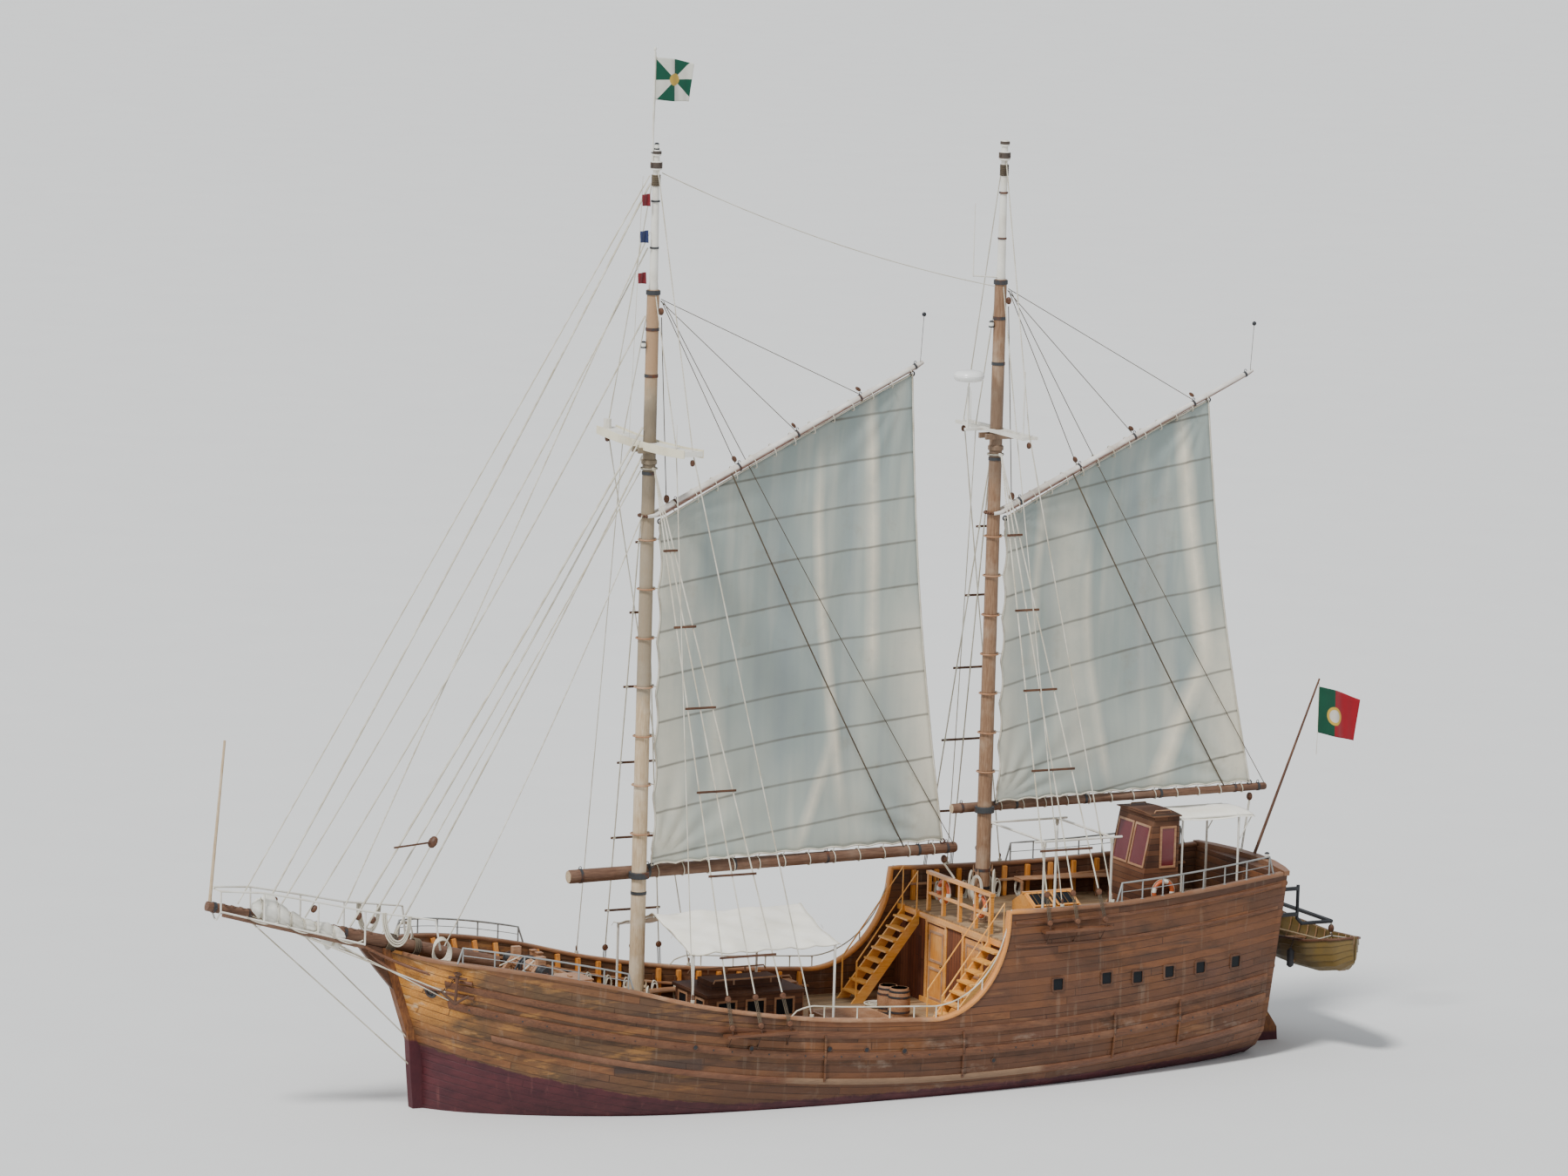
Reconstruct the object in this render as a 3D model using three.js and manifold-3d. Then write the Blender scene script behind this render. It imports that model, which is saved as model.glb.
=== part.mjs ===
// Two-masted, gaff-rigged wooden ship of the caravel kind, afloat with both sails set.
// Millimetres. +X is the bow, +Y is port, +Z is up. The origin is amidships on the waterline.
import * as THREE from 'three';
import { mergeVertices } from 'three/addons/utils/BufferGeometryUtils.js';
import Module from 'manifold-3d';

const wasm = await Module();
wasm.setup();

// Driving dimensions
const GAP = 0.5;                   // between fixed pieces that touch
const PAST = 300;                  // how far a cutting solid runs past what it cuts
const KEEL_HALF = 60;              // half breadth of the planking at the keel
const WAIST_Z = 1150;              // waist deck, which is also the top of the solid hull
const QUARTERDECK_Z = 3200;
const DECK_THICK = 120;
const SIDE_THICK = 130;            // bulwark and castle side
const STEM_RAKE = 0.33;            // forward for each unit up, above the waist deck
const FOREFOOT = { x: 7300, reach: 2030, depth: 1350 };
const TRANSOM_X = -10450;          // at the waist deck's height, on the corner
const TRANSOM_RAKE = 0.09;         // aft for each unit up
const TRANSOM_CAMBER = 420;        // how far the middle stands aft of the corners
const TRANSOM_THICK = 110;
const CASTLE_FRONT_X = -3400;
const SWEEP_FOOT_X = -1500;        // where the castle's curved front meets the waist rail
const SWEEP_FOOT_Z = 1700;
const SWEEP_HEAD_Z = 3915;
const FORECASTLE_X = 5100;
const FORECASTLE_Z = 2250;
const FORECASTLE_RISE = 0.113;
const BULKHEAD_X = -3560;
const BULKHEAD_THICK = 100;
const DOOR = { inner: 450, outer: 1250, height: 1800, thick: 45, gap: 8 };
const RAIL = { thick: 75, overOut: 35, overIn: 30 };
const FORE_X = 4250;               // the masts' axes
const MAIN_X = -4200;
const MAST_RADIUS = 170;
const MAST_HEAD_RADIUS = 135;
const TOPMAST_RADIUS = 95;
const HOUNDS_Z = 14100;            // spreader height, the same on both masts
const LOWER_HEAD_Z = 17450;
const FORE_TRUCK_Z = 20450;
const MAIN_TRUCK_Z = 20500;
const FLAGSTAFF_Z = 22650;
const HOOP = { clearance: 26, thick: 30, tall: 34, count: 7, sides: 8 };
const BOWSPRIT = { x0: 7600, x1: 14360, slope: 0.247, zAtStem: 3660, xStem: 10200, r0: 165, r1: 105 };
const RUDDER_X = -11090;
const PROPELLER = { x: -9850, z: -1180, radius: 470, hub: 100 };

// Hull sections. x: station; half: half breadth at the waist deck's height; lean: outward for each
// unit above that deck; full: fullness of the section below it; keel: lowest line of the planking.
const STATIONS = [
  { x: -10450, half: 1800, lean: 0.066, full: 3.2, keel: -350 },
  { x: -9000, half: 2220, lean: 0.02, full: 2.7, keel: -690 },
  { x: -7000, half: 2610, lean: -0.025, full: 2.5, keel: -1090 },
  { x: -5000, half: 2860, lean: -0.045, full: 2.9, keel: -1310 },
  { x: -2500, half: 3000, lean: -0.045, full: 3.4, keel: -1350 },
  { x: 500, half: 3050, lean: -0.01, full: 3.6, keel: -1350 },
  { x: 3000, half: 2990, lean: 0.02, full: 3.3, keel: -1350 },
  { x: 5000, half: 2800, lean: 0.08, full: 2.8, keel: -1350 },
  { x: 6500, half: 2420, lean: 0.13, full: 2.3, keel: -1350 },
  { x: 7700, half: 1890, lean: 0.175, full: 1.9, keel: -1350 },
  { x: 8600, half: 1260, lean: 0.2, full: 1.6, keel: -1350 },
  { x: 9080, half: 700, lean: 0.19, full: 1.4, keel: -1350 },
  { x: 9380, half: 150, lean: 0.01, full: 1.2, keel: -1350 },
];
const BOW_X = STATIONS.at(-1).x;
const SECTION_LEVELS = [0, 0.07, 0.2, 0.38, 0.6, 0.8, 1];

// Rail height forward of the castle's curved front.
const WAIST_SHEER = [
  { x: -1500, z: 1700 },
  { x: 1500, z: 1920 },
  { x: 4000, z: 2330 },
  { x: 6000, z: 2860 },
  { x: 8000, z: 3270 },
  { x: 10200, z: 3530 },
];

// Materials
const paint = (color, roughness = 0.6, metalness = 0) =>
  new THREE.MeshStandardMaterial({ color, roughness, metalness });
const VARNISHED = paint(0x8c5537, 0.5);
const ORANGE_WOOD = paint(0xc07a3a, 0.45);
const PALE_WOOD = paint(0xbea582, 0.7);
const DARK_WOOD = paint(0x6e4632, 0.65);
const DECK_WOOD = paint(0x9c7a55, 0.8);
const ANTIFOULING = paint(0x5f282d, 0.8);
const CANVAS = paint(0xa5a8a0, 0.9);
const CREAM_CLOTH = paint(0xf5f0e1, 0.85);
const WHITE_PAINT = paint(0xe8e6df, 0.5);
const ROPE = paint(0xb8b2a2, 0.9);
const STEEL = paint(0x3c3f42, 0.5, 0.8);
const BRONZE = paint(0x9a7440, 0.4, 0.9);
const GREEN_FLAG = paint(0x14634a, 0.85);
const RED_FLAG = paint(0xb01f24, 0.85);
const YELLOW_PAINT = paint(0xc99a2c, 0.5);

const ship = new THREE.Group();

function add(name, geometry, material) {
  const mesh = new THREE.Mesh(geometry, material);
  mesh.name = name;
  ship.add(mesh);
}

// Solids: conversion, join and cut
function toSolid(geometry) {
  const bare = geometry.index ? geometry.toNonIndexed() : geometry.clone();
  bare.deleteAttribute('normal');
  bare.deleteAttribute('uv');
  const merged = mergeVertices(bare, 1e-3);
  const index = [];
  for (let i = 0; i < merged.index.count; i += 3) {
    const [a, b, c] = [0, 1, 2].map((k) => merged.index.getX(i + k));
    if (a !== b && b !== c && c !== a) index.push(a, b, c);
  }
  return new wasm.Manifold(new wasm.Mesh({
    numProp: 3,
    vertProperties: new Float32Array(merged.attributes.position.array),
    triVerts: new Uint32Array(index),
  }));
}

function toGeometry(solid) {
  const mesh = solid.getMesh();
  const geometry = new THREE.BufferGeometry();
  geometry.setAttribute('position', new THREE.BufferAttribute(new Float32Array(mesh.vertProperties), 3));
  geometry.setIndex(new THREE.BufferAttribute(new Uint32Array(mesh.triVerts), 1));
  return geometry;
}

const join = (...geometries) => toGeometry(geometries.map(toSolid).reduce((all, next) => all.add(next)));
const cut = (geometry, ...tools) =>
  toGeometry(tools.map(toSolid).reduce((rest, tool) => rest.subtract(tool), toSolid(geometry)));

// Basic shapes
const point = (x, y, z) => new THREE.Vector3(x, y, z);

function box(x0, x1, y0, y1, z0, z1) {
  return new THREE.BoxGeometry(x1 - x0, y1 - y0, z1 - z0)
    .translate((x0 + x1) / 2, (y0 + y1) / 2, (z0 + z1) / 2);
}

// A round bar between two points, tapering from one radius to the other.
function bar(from, to, radius, sides = 6, endRadius = radius) {
  const along = to.clone().sub(from);
  const turn = new THREE.Quaternion().setFromUnitVectors(point(0, 1, 0), along.clone().normalize());
  return new THREE.CylinderGeometry(endRadius, radius, along.length(), sides)
    .applyQuaternion(turn)
    .translate(...from.clone().add(to).multiplyScalar(0.5).toArray());
}

// A round tube bent through the points, with a flat end at each.
function pipe(points, radius, sides = 6) {
  const rings = points.map((at, i) => {
    const ahead = points[Math.min(i + 1, points.length - 1)].clone().sub(at).normalize();
    const behind = at.clone().sub(points[Math.max(i - 1, 0)]).normalize();
    const along = ahead.add(behind).normalize();
    const across = point(0, 0, 1).cross(along);
    if (across.length() < 0.2) across.copy(point(0, 1, 0).cross(along));
    across.normalize();
    const up = along.clone().cross(across);
    return { at, across, up };
  });
  for (let i = 1; i < rings.length; i += 1) {
    const { across, up } = rings[i];
    const before = rings[i - 1].across;
    const angle = Math.atan2(before.dot(up), before.dot(across));
    rings[i].across = across.clone().multiplyScalar(Math.cos(angle)).addScaledVector(up, Math.sin(angle));
    rings[i].up = up.clone().multiplyScalar(Math.cos(angle)).addScaledVector(across, -Math.sin(angle));
  }
  const positions = rings.flatMap(({ at, across, up }) => Array.from({ length: sides }, (_, k) => {
    const angle = 2 * Math.PI * k / sides;
    return at.clone().addScaledVector(across, radius * Math.cos(angle))
      .addScaledVector(up, radius * Math.sin(angle)).toArray();
  }).flat());
  const index = [];
  for (let i = 0; i + 1 < rings.length; i += 1) {
    for (let k = 0; k < sides; k += 1) {
      const [a, b] = [i * sides + k, i * sides + (k + 1) % sides];
      index.push(a, b, b + sides, a, b + sides, a + sides);
    }
  }
  const last = (rings.length - 1) * sides;
  for (let k = 1; k + 1 < sides; k += 1) index.push(0, k + 1, k, last, last + k, last + k + 1);
  return closedGeometry(positions, index);
}

// An outline in X and Z, given as [x, z] pairs, thickened from y0 to y1.
function plate(outline, y0, y1) {
  const shape = new THREE.Shape(outline.map(([x, z]) => new THREE.Vector2(x, z)));
  return new THREE.ExtrudeGeometry(shape, { depth: y1 - y0, bevelEnabled: false })
    .rotateX(Math.PI / 2)
    .translate(0, y1, 0);
}

// A flat ring around an upright axis.
function ring(x, y, z, inner, outer, tall, sides = 12) {
  const section = [[inner, 0], [outer, 0], [outer, tall], [inner, tall], [inner, 0]];
  return new THREE.LatheGeometry(section.map(([r, h]) => new THREE.Vector2(r, h)), sides)
    .rotateX(Math.PI / 2)
    .translate(x, y, z);
}

// A solid through a row of stations. Each station has two lines of points, one on each side.
function ladder(stations) {
  const rungs = stations[0].left.length;
  const size = rungs * 2;
  const positions = stations.flatMap(({ left, right }) => [...left, ...right.slice().reverse()])
    .flatMap((p) => p.toArray());
  const index = [];
  const quad = (a, b, c, d) => index.push(a, b, c, a, c, d);
  for (let s = 0; s + 1 < stations.length; s += 1) {
    for (let k = 0; k < size; k += 1) {
      const next = (k + 1) % size;
      quad(s * size + k, s * size + next, (s + 1) * size + next, (s + 1) * size + k);
    }
  }
  const last = (stations.length - 1) * size;
  for (let k = 0; k + 1 < rungs; k += 1) {
    const [l0, l1, r0, r1] = [k, k + 1, size - 1 - k, size - 2 - k];
    quad(l0, r0, r1, l1);
    quad(last + l0, last + l1, last + r1, last + r0);
  }
  return closedGeometry(positions, index);
}

// Turns the faces outward where they were listed inside out.
function closedGeometry(positions, index) {
  const at = (i) => point(positions[3 * i], positions[3 * i + 1], positions[3 * i + 2]);
  let sixVolumes = 0;
  for (let i = 0; i < index.length; i += 3) {
    sixVolumes += at(index[i]).dot(at(index[i + 1]).cross(at(index[i + 2])));
  }
  const geometry = new THREE.BufferGeometry();
  geometry.setAttribute('position', new THREE.BufferAttribute(new Float32Array(positions), 3));
  geometry.setIndex(sixVolumes > 0 ? index : index.slice().reverse());
  return geometry;
}

// Hull form
// Smooth curve through a table's column, with the slope at each row from its neighbours.
function column(table, key, x) {
  const i = Math.min(Math.max(table.findLastIndex((row) => row.x <= x), 0), table.length - 2);
  const slope = (k) => {
    const [a, b] = [table[Math.max(k - 1, 0)], table[Math.min(k + 1, table.length - 1)]];
    return (b[key] - a[key]) / (b.x - a.x);
  };
  const [p, q] = [table[i], table[i + 1]];
  const span = q.x - p.x;
  const t = (x - p.x) / span;
  return p[key] * (1 + 2 * t) * (1 - t) ** 2 + q[key] * t * t * (3 - 2 * t)
    + slope(i) * span * t * (1 - t) ** 2 - slope(i + 1) * span * t * t * (1 - t);
}

// Where the planking ends at the stem: an elliptical forefoot below water, raked above the waist deck.
function stemX(z) {
  if (z >= WAIST_Z) return BOW_X + STEM_RAKE * (z - WAIST_Z);
  if (z >= 0) return FOREFOOT.x + FOREFOOT.reach + (BOW_X - FOREFOOT.x - FOREFOOT.reach) * z / WAIST_Z;
  return FOREFOOT.x + FOREFOOT.reach * Math.sqrt(Math.max(1 - (z / FOREFOOT.depth) ** 2, 0));
}

const transomX = (z) => TRANSOM_X - TRANSOM_RAKE * (z - WAIST_Z);

// The end stations follow the stem's and the transom's slope.
function stationX(x, z) {
  const bow = Math.max((x - 3000) / (BOW_X - 3000), 0) ** 2;
  const stern = Math.max((x + 8000) / (TRANSOM_X + 8000), 0) ** 2;
  return x + bow * (stemX(z) - stemX(WAIST_Z)) + stern * (transomX(z) - TRANSOM_X);
}

const castleRailZ = (x) => 3880 + 10.5 * ((x + 5200) / 1000) ** 2;

function railZ(x) {
  if (x <= CASTLE_FRONT_X) return castleRailZ(x);
  if (x >= SWEEP_FOOT_X) return column(WAIST_SHEER, 'z', x);
  const reach = (x - SWEEP_FOOT_X) / (CASTLE_FRONT_X - SWEEP_FOOT_X);
  return SWEEP_HEAD_Z - (SWEEP_HEAD_Z - SWEEP_FOOT_Z) * Math.sqrt(1 - reach ** 2);
}

// Half breadth of the outside at a station, below and above the waist deck.
function halfBelow(x, level) {
  const half = column(STATIONS, 'half', x);
  return KEEL_HALF + (half - KEEL_HALF) * (1 - (1 - level) ** column(STATIONS, 'full', x));
}

const halfAbove = (x, z) => column(STATIONS, 'half', x) + column(STATIONS, 'lean', x) * (z - WAIST_Z);

function outside(x, z, side, inward = 0) {
  const y = Math.max(halfAbove(x, z) - inward, 15);
  return point(stationX(x, z), side * y, z);
}

function sectionLine(x, side, grow, toRail) {
  const keel = column(STATIONS, 'keel', x);
  const line = SECTION_LEVELS.map((level) => {
    const z = keel + level * (WAIST_Z - keel);
    return point(stationX(x, z), side * (halfBelow(x, level) + grow), level === 0 ? z - grow : z);
  });
  if (toRail) line.push(outside(x, railZ(x) + 400, side, -grow));
  return line;
}

function hullForm(grow = 0, toRail = false) {
  const rows = STATIONS.map(({ x }) => ({
    left: sectionLine(x, 1, grow, toRail),
    right: sectionLine(x, -1, grow, toRail),
  }));
  if (grow) {
    const end = rows.at(-1);
    [...end.left, ...end.right].forEach((p) => { p.x += grow; });
  }
  return ladder(rows);
}

// Hull and backbone
const keelDepth = -1950;
const stemFace = [[7350, keelDepth], [8450, -1620], [9180, -950], [9540, -150], [9620, 700], [9680, 1480],
  [9990, 2420], [10290, 3330], [10330, 3600]];
const insideHull = [[9900, 3600], [8900, 1500], [8300, -300], [6800, -1100], [-5000, -1100], [-8000, -700]];
const apertureEdge = [[-9450, -500], [-9450, -1560], [-9600, -1710], [-10230, -1710], [-10330, -1610]];
const sternpost = [[-10330, -200], [-10980, -200], [-10980, keelDepth]];
const backboneOutline = [...stemFace, ...insideHull, ...apertureEdge, ...sternpost];
const bowspritZ = (x) => BOWSPRIT.zAtStem + BOWSPRIT.slope * (x - BOWSPRIT.xStem);
const bowspritAt = (x, y = 0, up = 0) => point(x, y, bowspritZ(x) + up);
const bowspritClearance = bar(bowspritAt(8000), bowspritAt(11500), BOWSPRIT.r0 + 15, 16);

add('hull', hullForm(), VARNISHED);
const transomBlock = box(-11500, -10300, -200, 200, -232, 4600);
add('backbone', cut(plate(backboneOutline, -120, 120), hullForm(GAP, true), bowspritClearance, transomBlock),
  ANTIFOULING);

// Topsides: castle sides with their curved front, bulwarks and cap rails
const sweepXs = [0.2, 0.4, 0.55, 0.7, 0.82, 0.91, 0.97]
  .map((reach) => SWEEP_FOOT_X + reach * (CASTLE_FRONT_X - SWEEP_FOOT_X));
const castleXs = [-10450, -9600, -8600, -7400, -6200, -5000, -4100, CASTLE_FRONT_X,
  ...sweepXs.toReversed(), SWEEP_FOOT_X - 1];
const bulwarkXs = [SWEEP_FOOT_X + 1, 0, 1500, 3000, 4200, 5100, 6000, 6900, 7700, 8300, 8800, 9080, 9240,
  BOW_X];

function sideShell(xs, side, inner = 0, outer = 0) {
  return ladder(xs.map((x) => {
    const low = WAIST_Z + GAP;
    const top = railZ(x);
    const levels = [low, (low + top) / 2, top];
    return {
      left: levels.map((z) => outside(x, z, side, -outer)),
      right: levels.map((z) => outside(x, z, side, SIDE_THICK + inner)),
    };
  }));
}

// What stands between the sides is made too wide and then trimmed to them.
const trimToSides = (geometry) => cut(geometry, ...[1, -1].flatMap((side) =>
  [sideShell(castleXs, side, GAP), sideShell(bulwarkXs, side, GAP)]));

// The cap rail lies on the shell's top edge and turns with it.
function capRail(xs, side) {
  const edge = xs.map((x) => new THREE.Vector2(x, railZ(x)));
  const normal = (i) => {
    const ahead = edge[Math.min(i + 1, edge.length - 1)].clone().sub(edge[i]).normalize();
    const behind = edge[i].clone().sub(edge[Math.max(i - 1, 0)]).normalize();
    const along = ahead.add(behind).normalize();
    return new THREE.Vector2(-along.y, along.x);
  };
  return ladder(edge.map((at, i) => {
    const up = normal(i);
    const layer = (height, inward) => {
      const p = outside(at.x, at.y, side, inward);
      return point(p.x + up.x * height, p.y, p.z + up.y * height);
    };
    return {
      left: [layer(GAP, -RAIL.overOut), layer(RAIL.thick, -RAIL.overOut)],
      right: [layer(GAP, SIDE_THICK + RAIL.overIn), layer(RAIL.thick, SIDE_THICK + RAIL.overIn)],
    };
  }));
}

for (const [label, side] of [['port', 1], ['starboard', -1]]) {
  add(`castle_side_${label}`, sideShell(castleXs, side), VARNISHED);
  add(`bulwark_${label}`, cut(sideShell(bulwarkXs, side), bowspritClearance), VARNISHED);
  add(`cap_rail_${label}`, capRail([...castleXs, ...bulwarkXs.slice(0, -2)], side), ORANGE_WOOD);
}

// Transom, rounded in plan, with the taffrail on it
function transomRow(share, levels, thick, over) {
  const out = (z, half) => {
    const back = transomX(z) - GAP - thick - TRANSOM_CAMBER * (1 - share ** 2);
    return point(back - over, share * half, z);
  };
  const inner = (z, half) => point(transomX(z) - GAP + over, share * half, z);
  return {
    left: levels.map(({ z, half }) => out(z, half)),
    right: levels.map(({ z, half }) => inner(z, half)),
  };
}
const transomKeel = STATIONS[0].keel;
const transomTopZ = castleRailZ(TRANSOM_X);
const transomLevels = [0.08, 0.2, 0.4, 0.65, 1].map((level) => ({
  z: transomKeel + level * (WAIST_Z - transomKeel),
  half: halfBelow(TRANSOM_X, level),
}));
transomLevels.push({ z: transomTopZ, half: halfAbove(TRANSOM_X, transomTopZ) });
const SHARES = [-1, -0.75, -0.4, 0, 0.4, 0.75, 1];
const transomForm = (thick) => ladder(SHARES.map((share) => transomRow(share, transomLevels, thick, 0)));
add('transom', transomForm(TRANSOM_THICK), VARNISHED);
const TAFFRAIL = { thick: 100, over: 30, broad: 230, sideOver: 40 };
const taffrailLevels = [GAP, TAFFRAIL.thick].map((up) => ({
  z: transomTopZ + up,
  half: halfAbove(TRANSOM_X, transomTopZ) + TAFFRAIL.sideOver,
}));
const capRailEnd = transomX(transomTopZ) - 8;
add('taffrail', ladder(SHARES.map((share) => {
  const row = transomRow(share, taffrailLevels, TRANSOM_THICK, TAFFRAIL.over);
  const innerEdge = Math.min(row.left[0].x + TAFFRAIL.broad, capRailEnd);
  return { left: row.left, right: row.right.map((p) => point(innerEdge, p.y, p.z)) };
})), ORANGE_WOOD);

// Decks
const forecastleZ = (x) => FORECASTLE_Z + FORECASTLE_RISE * (x - FORECASTLE_X);
function deckSlab(xs, lowZ, highZ) {
  return ladder(xs.map((x) => {
    const row = (side) => [lowZ(x), highZ(x)].map((z) => outside(x, z, side, SIDE_THICK / 2));
    return { left: row(1), right: row(-1) };
  }));
}
const bitts = box(7750, 8050, -150, 150, 2400, bowspritZ(7750) - BOWSPRIT.r0 - 12);
const forecastle = deckSlab([FORECASTLE_X, 6000, 6900, 7700, 8300, 8800], () => WAIST_Z + GAP, forecastleZ);
add('forecastle', join(trimToSides(forecastle), bitts), DECK_WOOD);

const mastHole = (x) => bar(point(x, 0, 900), point(x, 0, 4000), MAST_RADIUS + 15, 16);
const quarterdeck = deckSlab([-10430, -9600, -8600, -7400, -6200, -5000, -4100, BULKHEAD_X],
  () => QUARTERDECK_Z - DECK_THICK, () => QUARTERDECK_Z);
add('quarterdeck', cut(trimToSides(quarterdeck), mastHole(MAIN_X)), DECK_WOOD);

// Cabin front with two doorways, and its doors
const doorway = (side) => {
  const [y0, y1] = side > 0 ? [DOOR.inner, DOOR.outer] : [-DOOR.outer, -DOOR.inner];
  return box(BULKHEAD_X - PAST, BULKHEAD_X + PAST, y0, y1, WAIST_Z - PAST, WAIST_Z + DOOR.height);
};
const bulkhead = ladder([BULKHEAD_X - BULKHEAD_THICK, BULKHEAD_X].map((x) => {
  const row = (side) => [WAIST_Z + GAP, QUARTERDECK_Z - DECK_THICK - GAP]
    .map((z) => outside(x, z, side, SIDE_THICK / 2));
  return { left: row(1), right: row(-1) };
}));
add('cabin_front', cut(trimToSides(bulkhead), doorway(1), doorway(-1)), DARK_WOOD);
for (const [label, side] of [['port', 1], ['starboard', -1]]) {
  const leaf = box(BULKHEAD_X - DOOR.thick, BULKHEAD_X, DOOR.inner + DOOR.gap, DOOR.outer - DOOR.gap,
    WAIST_Z + DOOR.gap, WAIST_Z + DOOR.height - DOOR.gap);
  const knobFoot = point(BULKHEAD_X - 5, DOOR.inner + 110, WAIST_Z + 900);
  const knob = bar(knobFoot, knobFoot.clone().add(point(65, 0, 0)), 28, 8);
  const door = join(leaf, knob);
  add(`cabin_door_${label}`, side > 0 ? door : toGeometry(toSolid(door).mirror([0, 1, 0])), ORANGE_WOOD);
}

// Breast rail across the quarterdeck's front, open at both stairs
const breastPosts = [-1450, -750, 0, 750, 1450].map((y) =>
  box(-3700, -3620, y - 35, y + 35, QUARTERDECK_Z + GAP, QUARTERDECK_Z + 850));
add('breast_rail', join(
  box(-3720, -3600, -1500, 1500, QUARTERDECK_Z + 830, QUARTERDECK_Z + 900),
  box(-3690, -3630, -1450, 1450, QUARTERDECK_Z + 380, QUARTERDECK_Z + 440),
  ...breastPosts), ORANGE_WOOD);

// Stairs from the waist to the quarterdeck, one at each side
const STAIR = { foot: -1950, head: -3540, inner: 1650, outer: 2380, steps: 8 };
for (const [label, side] of [['port', 1], ['starboard', -1]]) {
  const rise = (QUARTERDECK_Z - WAIST_Z) / (STAIR.steps + 1);
  const run = (STAIR.foot - STAIR.head) / (STAIR.steps + 1);
  const band = (inner, outer) => (side > 0 ? [inner, outer] : [-outer, -inner]);
  const string = (inner, outer) => plate([
    [STAIR.foot + 60, WAIST_Z + GAP], [STAIR.foot - 240, WAIST_Z + GAP],
    [STAIR.head, QUARTERDECK_Z - 330], [STAIR.head, QUARTERDECK_Z - 20],
  ], ...band(inner, outer));
  const treads = Array.from({ length: STAIR.steps }, (_, i) => {
    const x = STAIR.foot - run * (i + 1);
    const z = WAIST_Z + rise * (i + 1);
    return box(x - 120, x + 110, ...band(STAIR.inner + 20, STAIR.outer - 20), z - 40, z);
  });
  const handrail = [STAIR.inner + 25, STAIR.outer - 25].map((y) => pipe([
    point(STAIR.foot - 60, side * y, WAIST_Z + 150),
    point(STAIR.foot - 60, side * y, WAIST_Z + 950),
    point(STAIR.head + 60, side * y, QUARTERDECK_Z + 850),
    point(STAIR.head + 60, side * y, QUARTERDECK_Z - 200),
  ], 22));
  add(`stair_${label}`, join(string(STAIR.inner, STAIR.inner + 50), string(STAIR.outer - 50, STAIR.outer),
    ...treads, ...handrail), ORANGE_WOOD);
}

// Waist: companion house, awning and its frame
add('companion_house', join(
  box(600, 2900, -800, 800, WAIST_Z + GAP, 2100),
  box(540, 2960, -860, 860, 2080, 2150),
  box(900, 2600, -350, 350, 2140, 2330)), DARK_WOOD);
const AWNING = { x0: 300, x1: 3900, half: 1900, ridge: 3850, eave: 3310, thick: 14 };
const awningSide = (x) => [[-AWNING.half, AWNING.eave], [-1000, 3560], [0, AWNING.ridge], [1000, 3560],
  [AWNING.half, AWNING.eave]].map(([y, z]) => point(x, y, z));
add('awning', ladder([AWNING.x0, AWNING.x1].map((x) => ({
  left: awningSide(x),
  right: awningSide(x).map((p) => p.clone().setZ(p.z + AWNING.thick)),
}))), CREAM_CLOTH);
const frameXs = [AWNING.x0 + 90, AWNING.x1 - 90];
const frameParts = frameXs.flatMap((x) => [1, -1].flatMap((side) => {
  const eave = point(x, side * (AWNING.half - 40), AWNING.eave - 20);
  return [
    bar(point(x, side * (AWNING.half - 40), WAIST_Z + GAP), eave.clone().add(point(0, 0, 20)), 28),
    bar(eave, point(x, side * 1000, 3515), 24),
    bar(point(x, side * 1000, 3515), point(x, 0, AWNING.ridge - 45), 24),
  ];
}));
add('awning_frame', join(...frameParts,
  bar(point(frameXs[0] - 60, 0, AWNING.ridge - 55), point(frameXs[1] + 60, 0, AWNING.ridge - 55), 30)),
WHITE_PAINT);

// Bowsprit, pulpit, jackstaff, furled headsail and anchors
add('bowsprit',
  bar(bowspritAt(BOWSPRIT.x0), bowspritAt(BOWSPRIT.x1), BOWSPRIT.r0, 12, BOWSPRIT.r1), DARK_WOOD);
// x: along the bowsprit; half: half breadth; low and high: side bar and handrail above the spar's axis
const PULPIT = [
  { x: 14150, half: 270, low: -40, high: 400 },
  { x: 13200, half: 380, low: -60, high: 560 },
  { x: 12000, half: 480, low: -80, high: 600 },
  { x: 10950, half: 560, low: -100, high: 620 },
];
const pulpitPoint = ({ x, half }, side, up) => bowspritAt(x, side * half, up);
const pulpitSides = [1, -1].flatMap((side) => [
  pipe(PULPIT.map((row) => pulpitPoint(row, side, row.low)), 26),
  pipe([...PULPIT.map((row) => pulpitPoint(row, side, row.high)),
    point(9450, side * 860, 4230), point(9350, side * 900, 3580)], 24),
  ...PULPIT.map((row) => bar(pulpitPoint(row, side, row.low), pulpitPoint(row, side, row.high), 20)),
]);
const pulpitCross = PULPIT.map((row) => pipe([
  pulpitPoint(row, 1, row.low), bowspritAt(row.x, 60, -240), bowspritAt(row.x, -60, -240),
  pulpitPoint(row, -1, row.low)], 22));
add('pulpit', join(...pulpitSides, ...pulpitCross,
  bar(pulpitPoint(PULPIT[0], 1, 400), pulpitPoint(PULPIT[0], -1, 400), 22)), WHITE_PAINT);
add('jackstaff', bar(bowspritAt(14290, 0, BOWSPRIT.r1 + 12), point(14010, 0, 8200), 38, 8, 28), PALE_WOOD);

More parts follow.
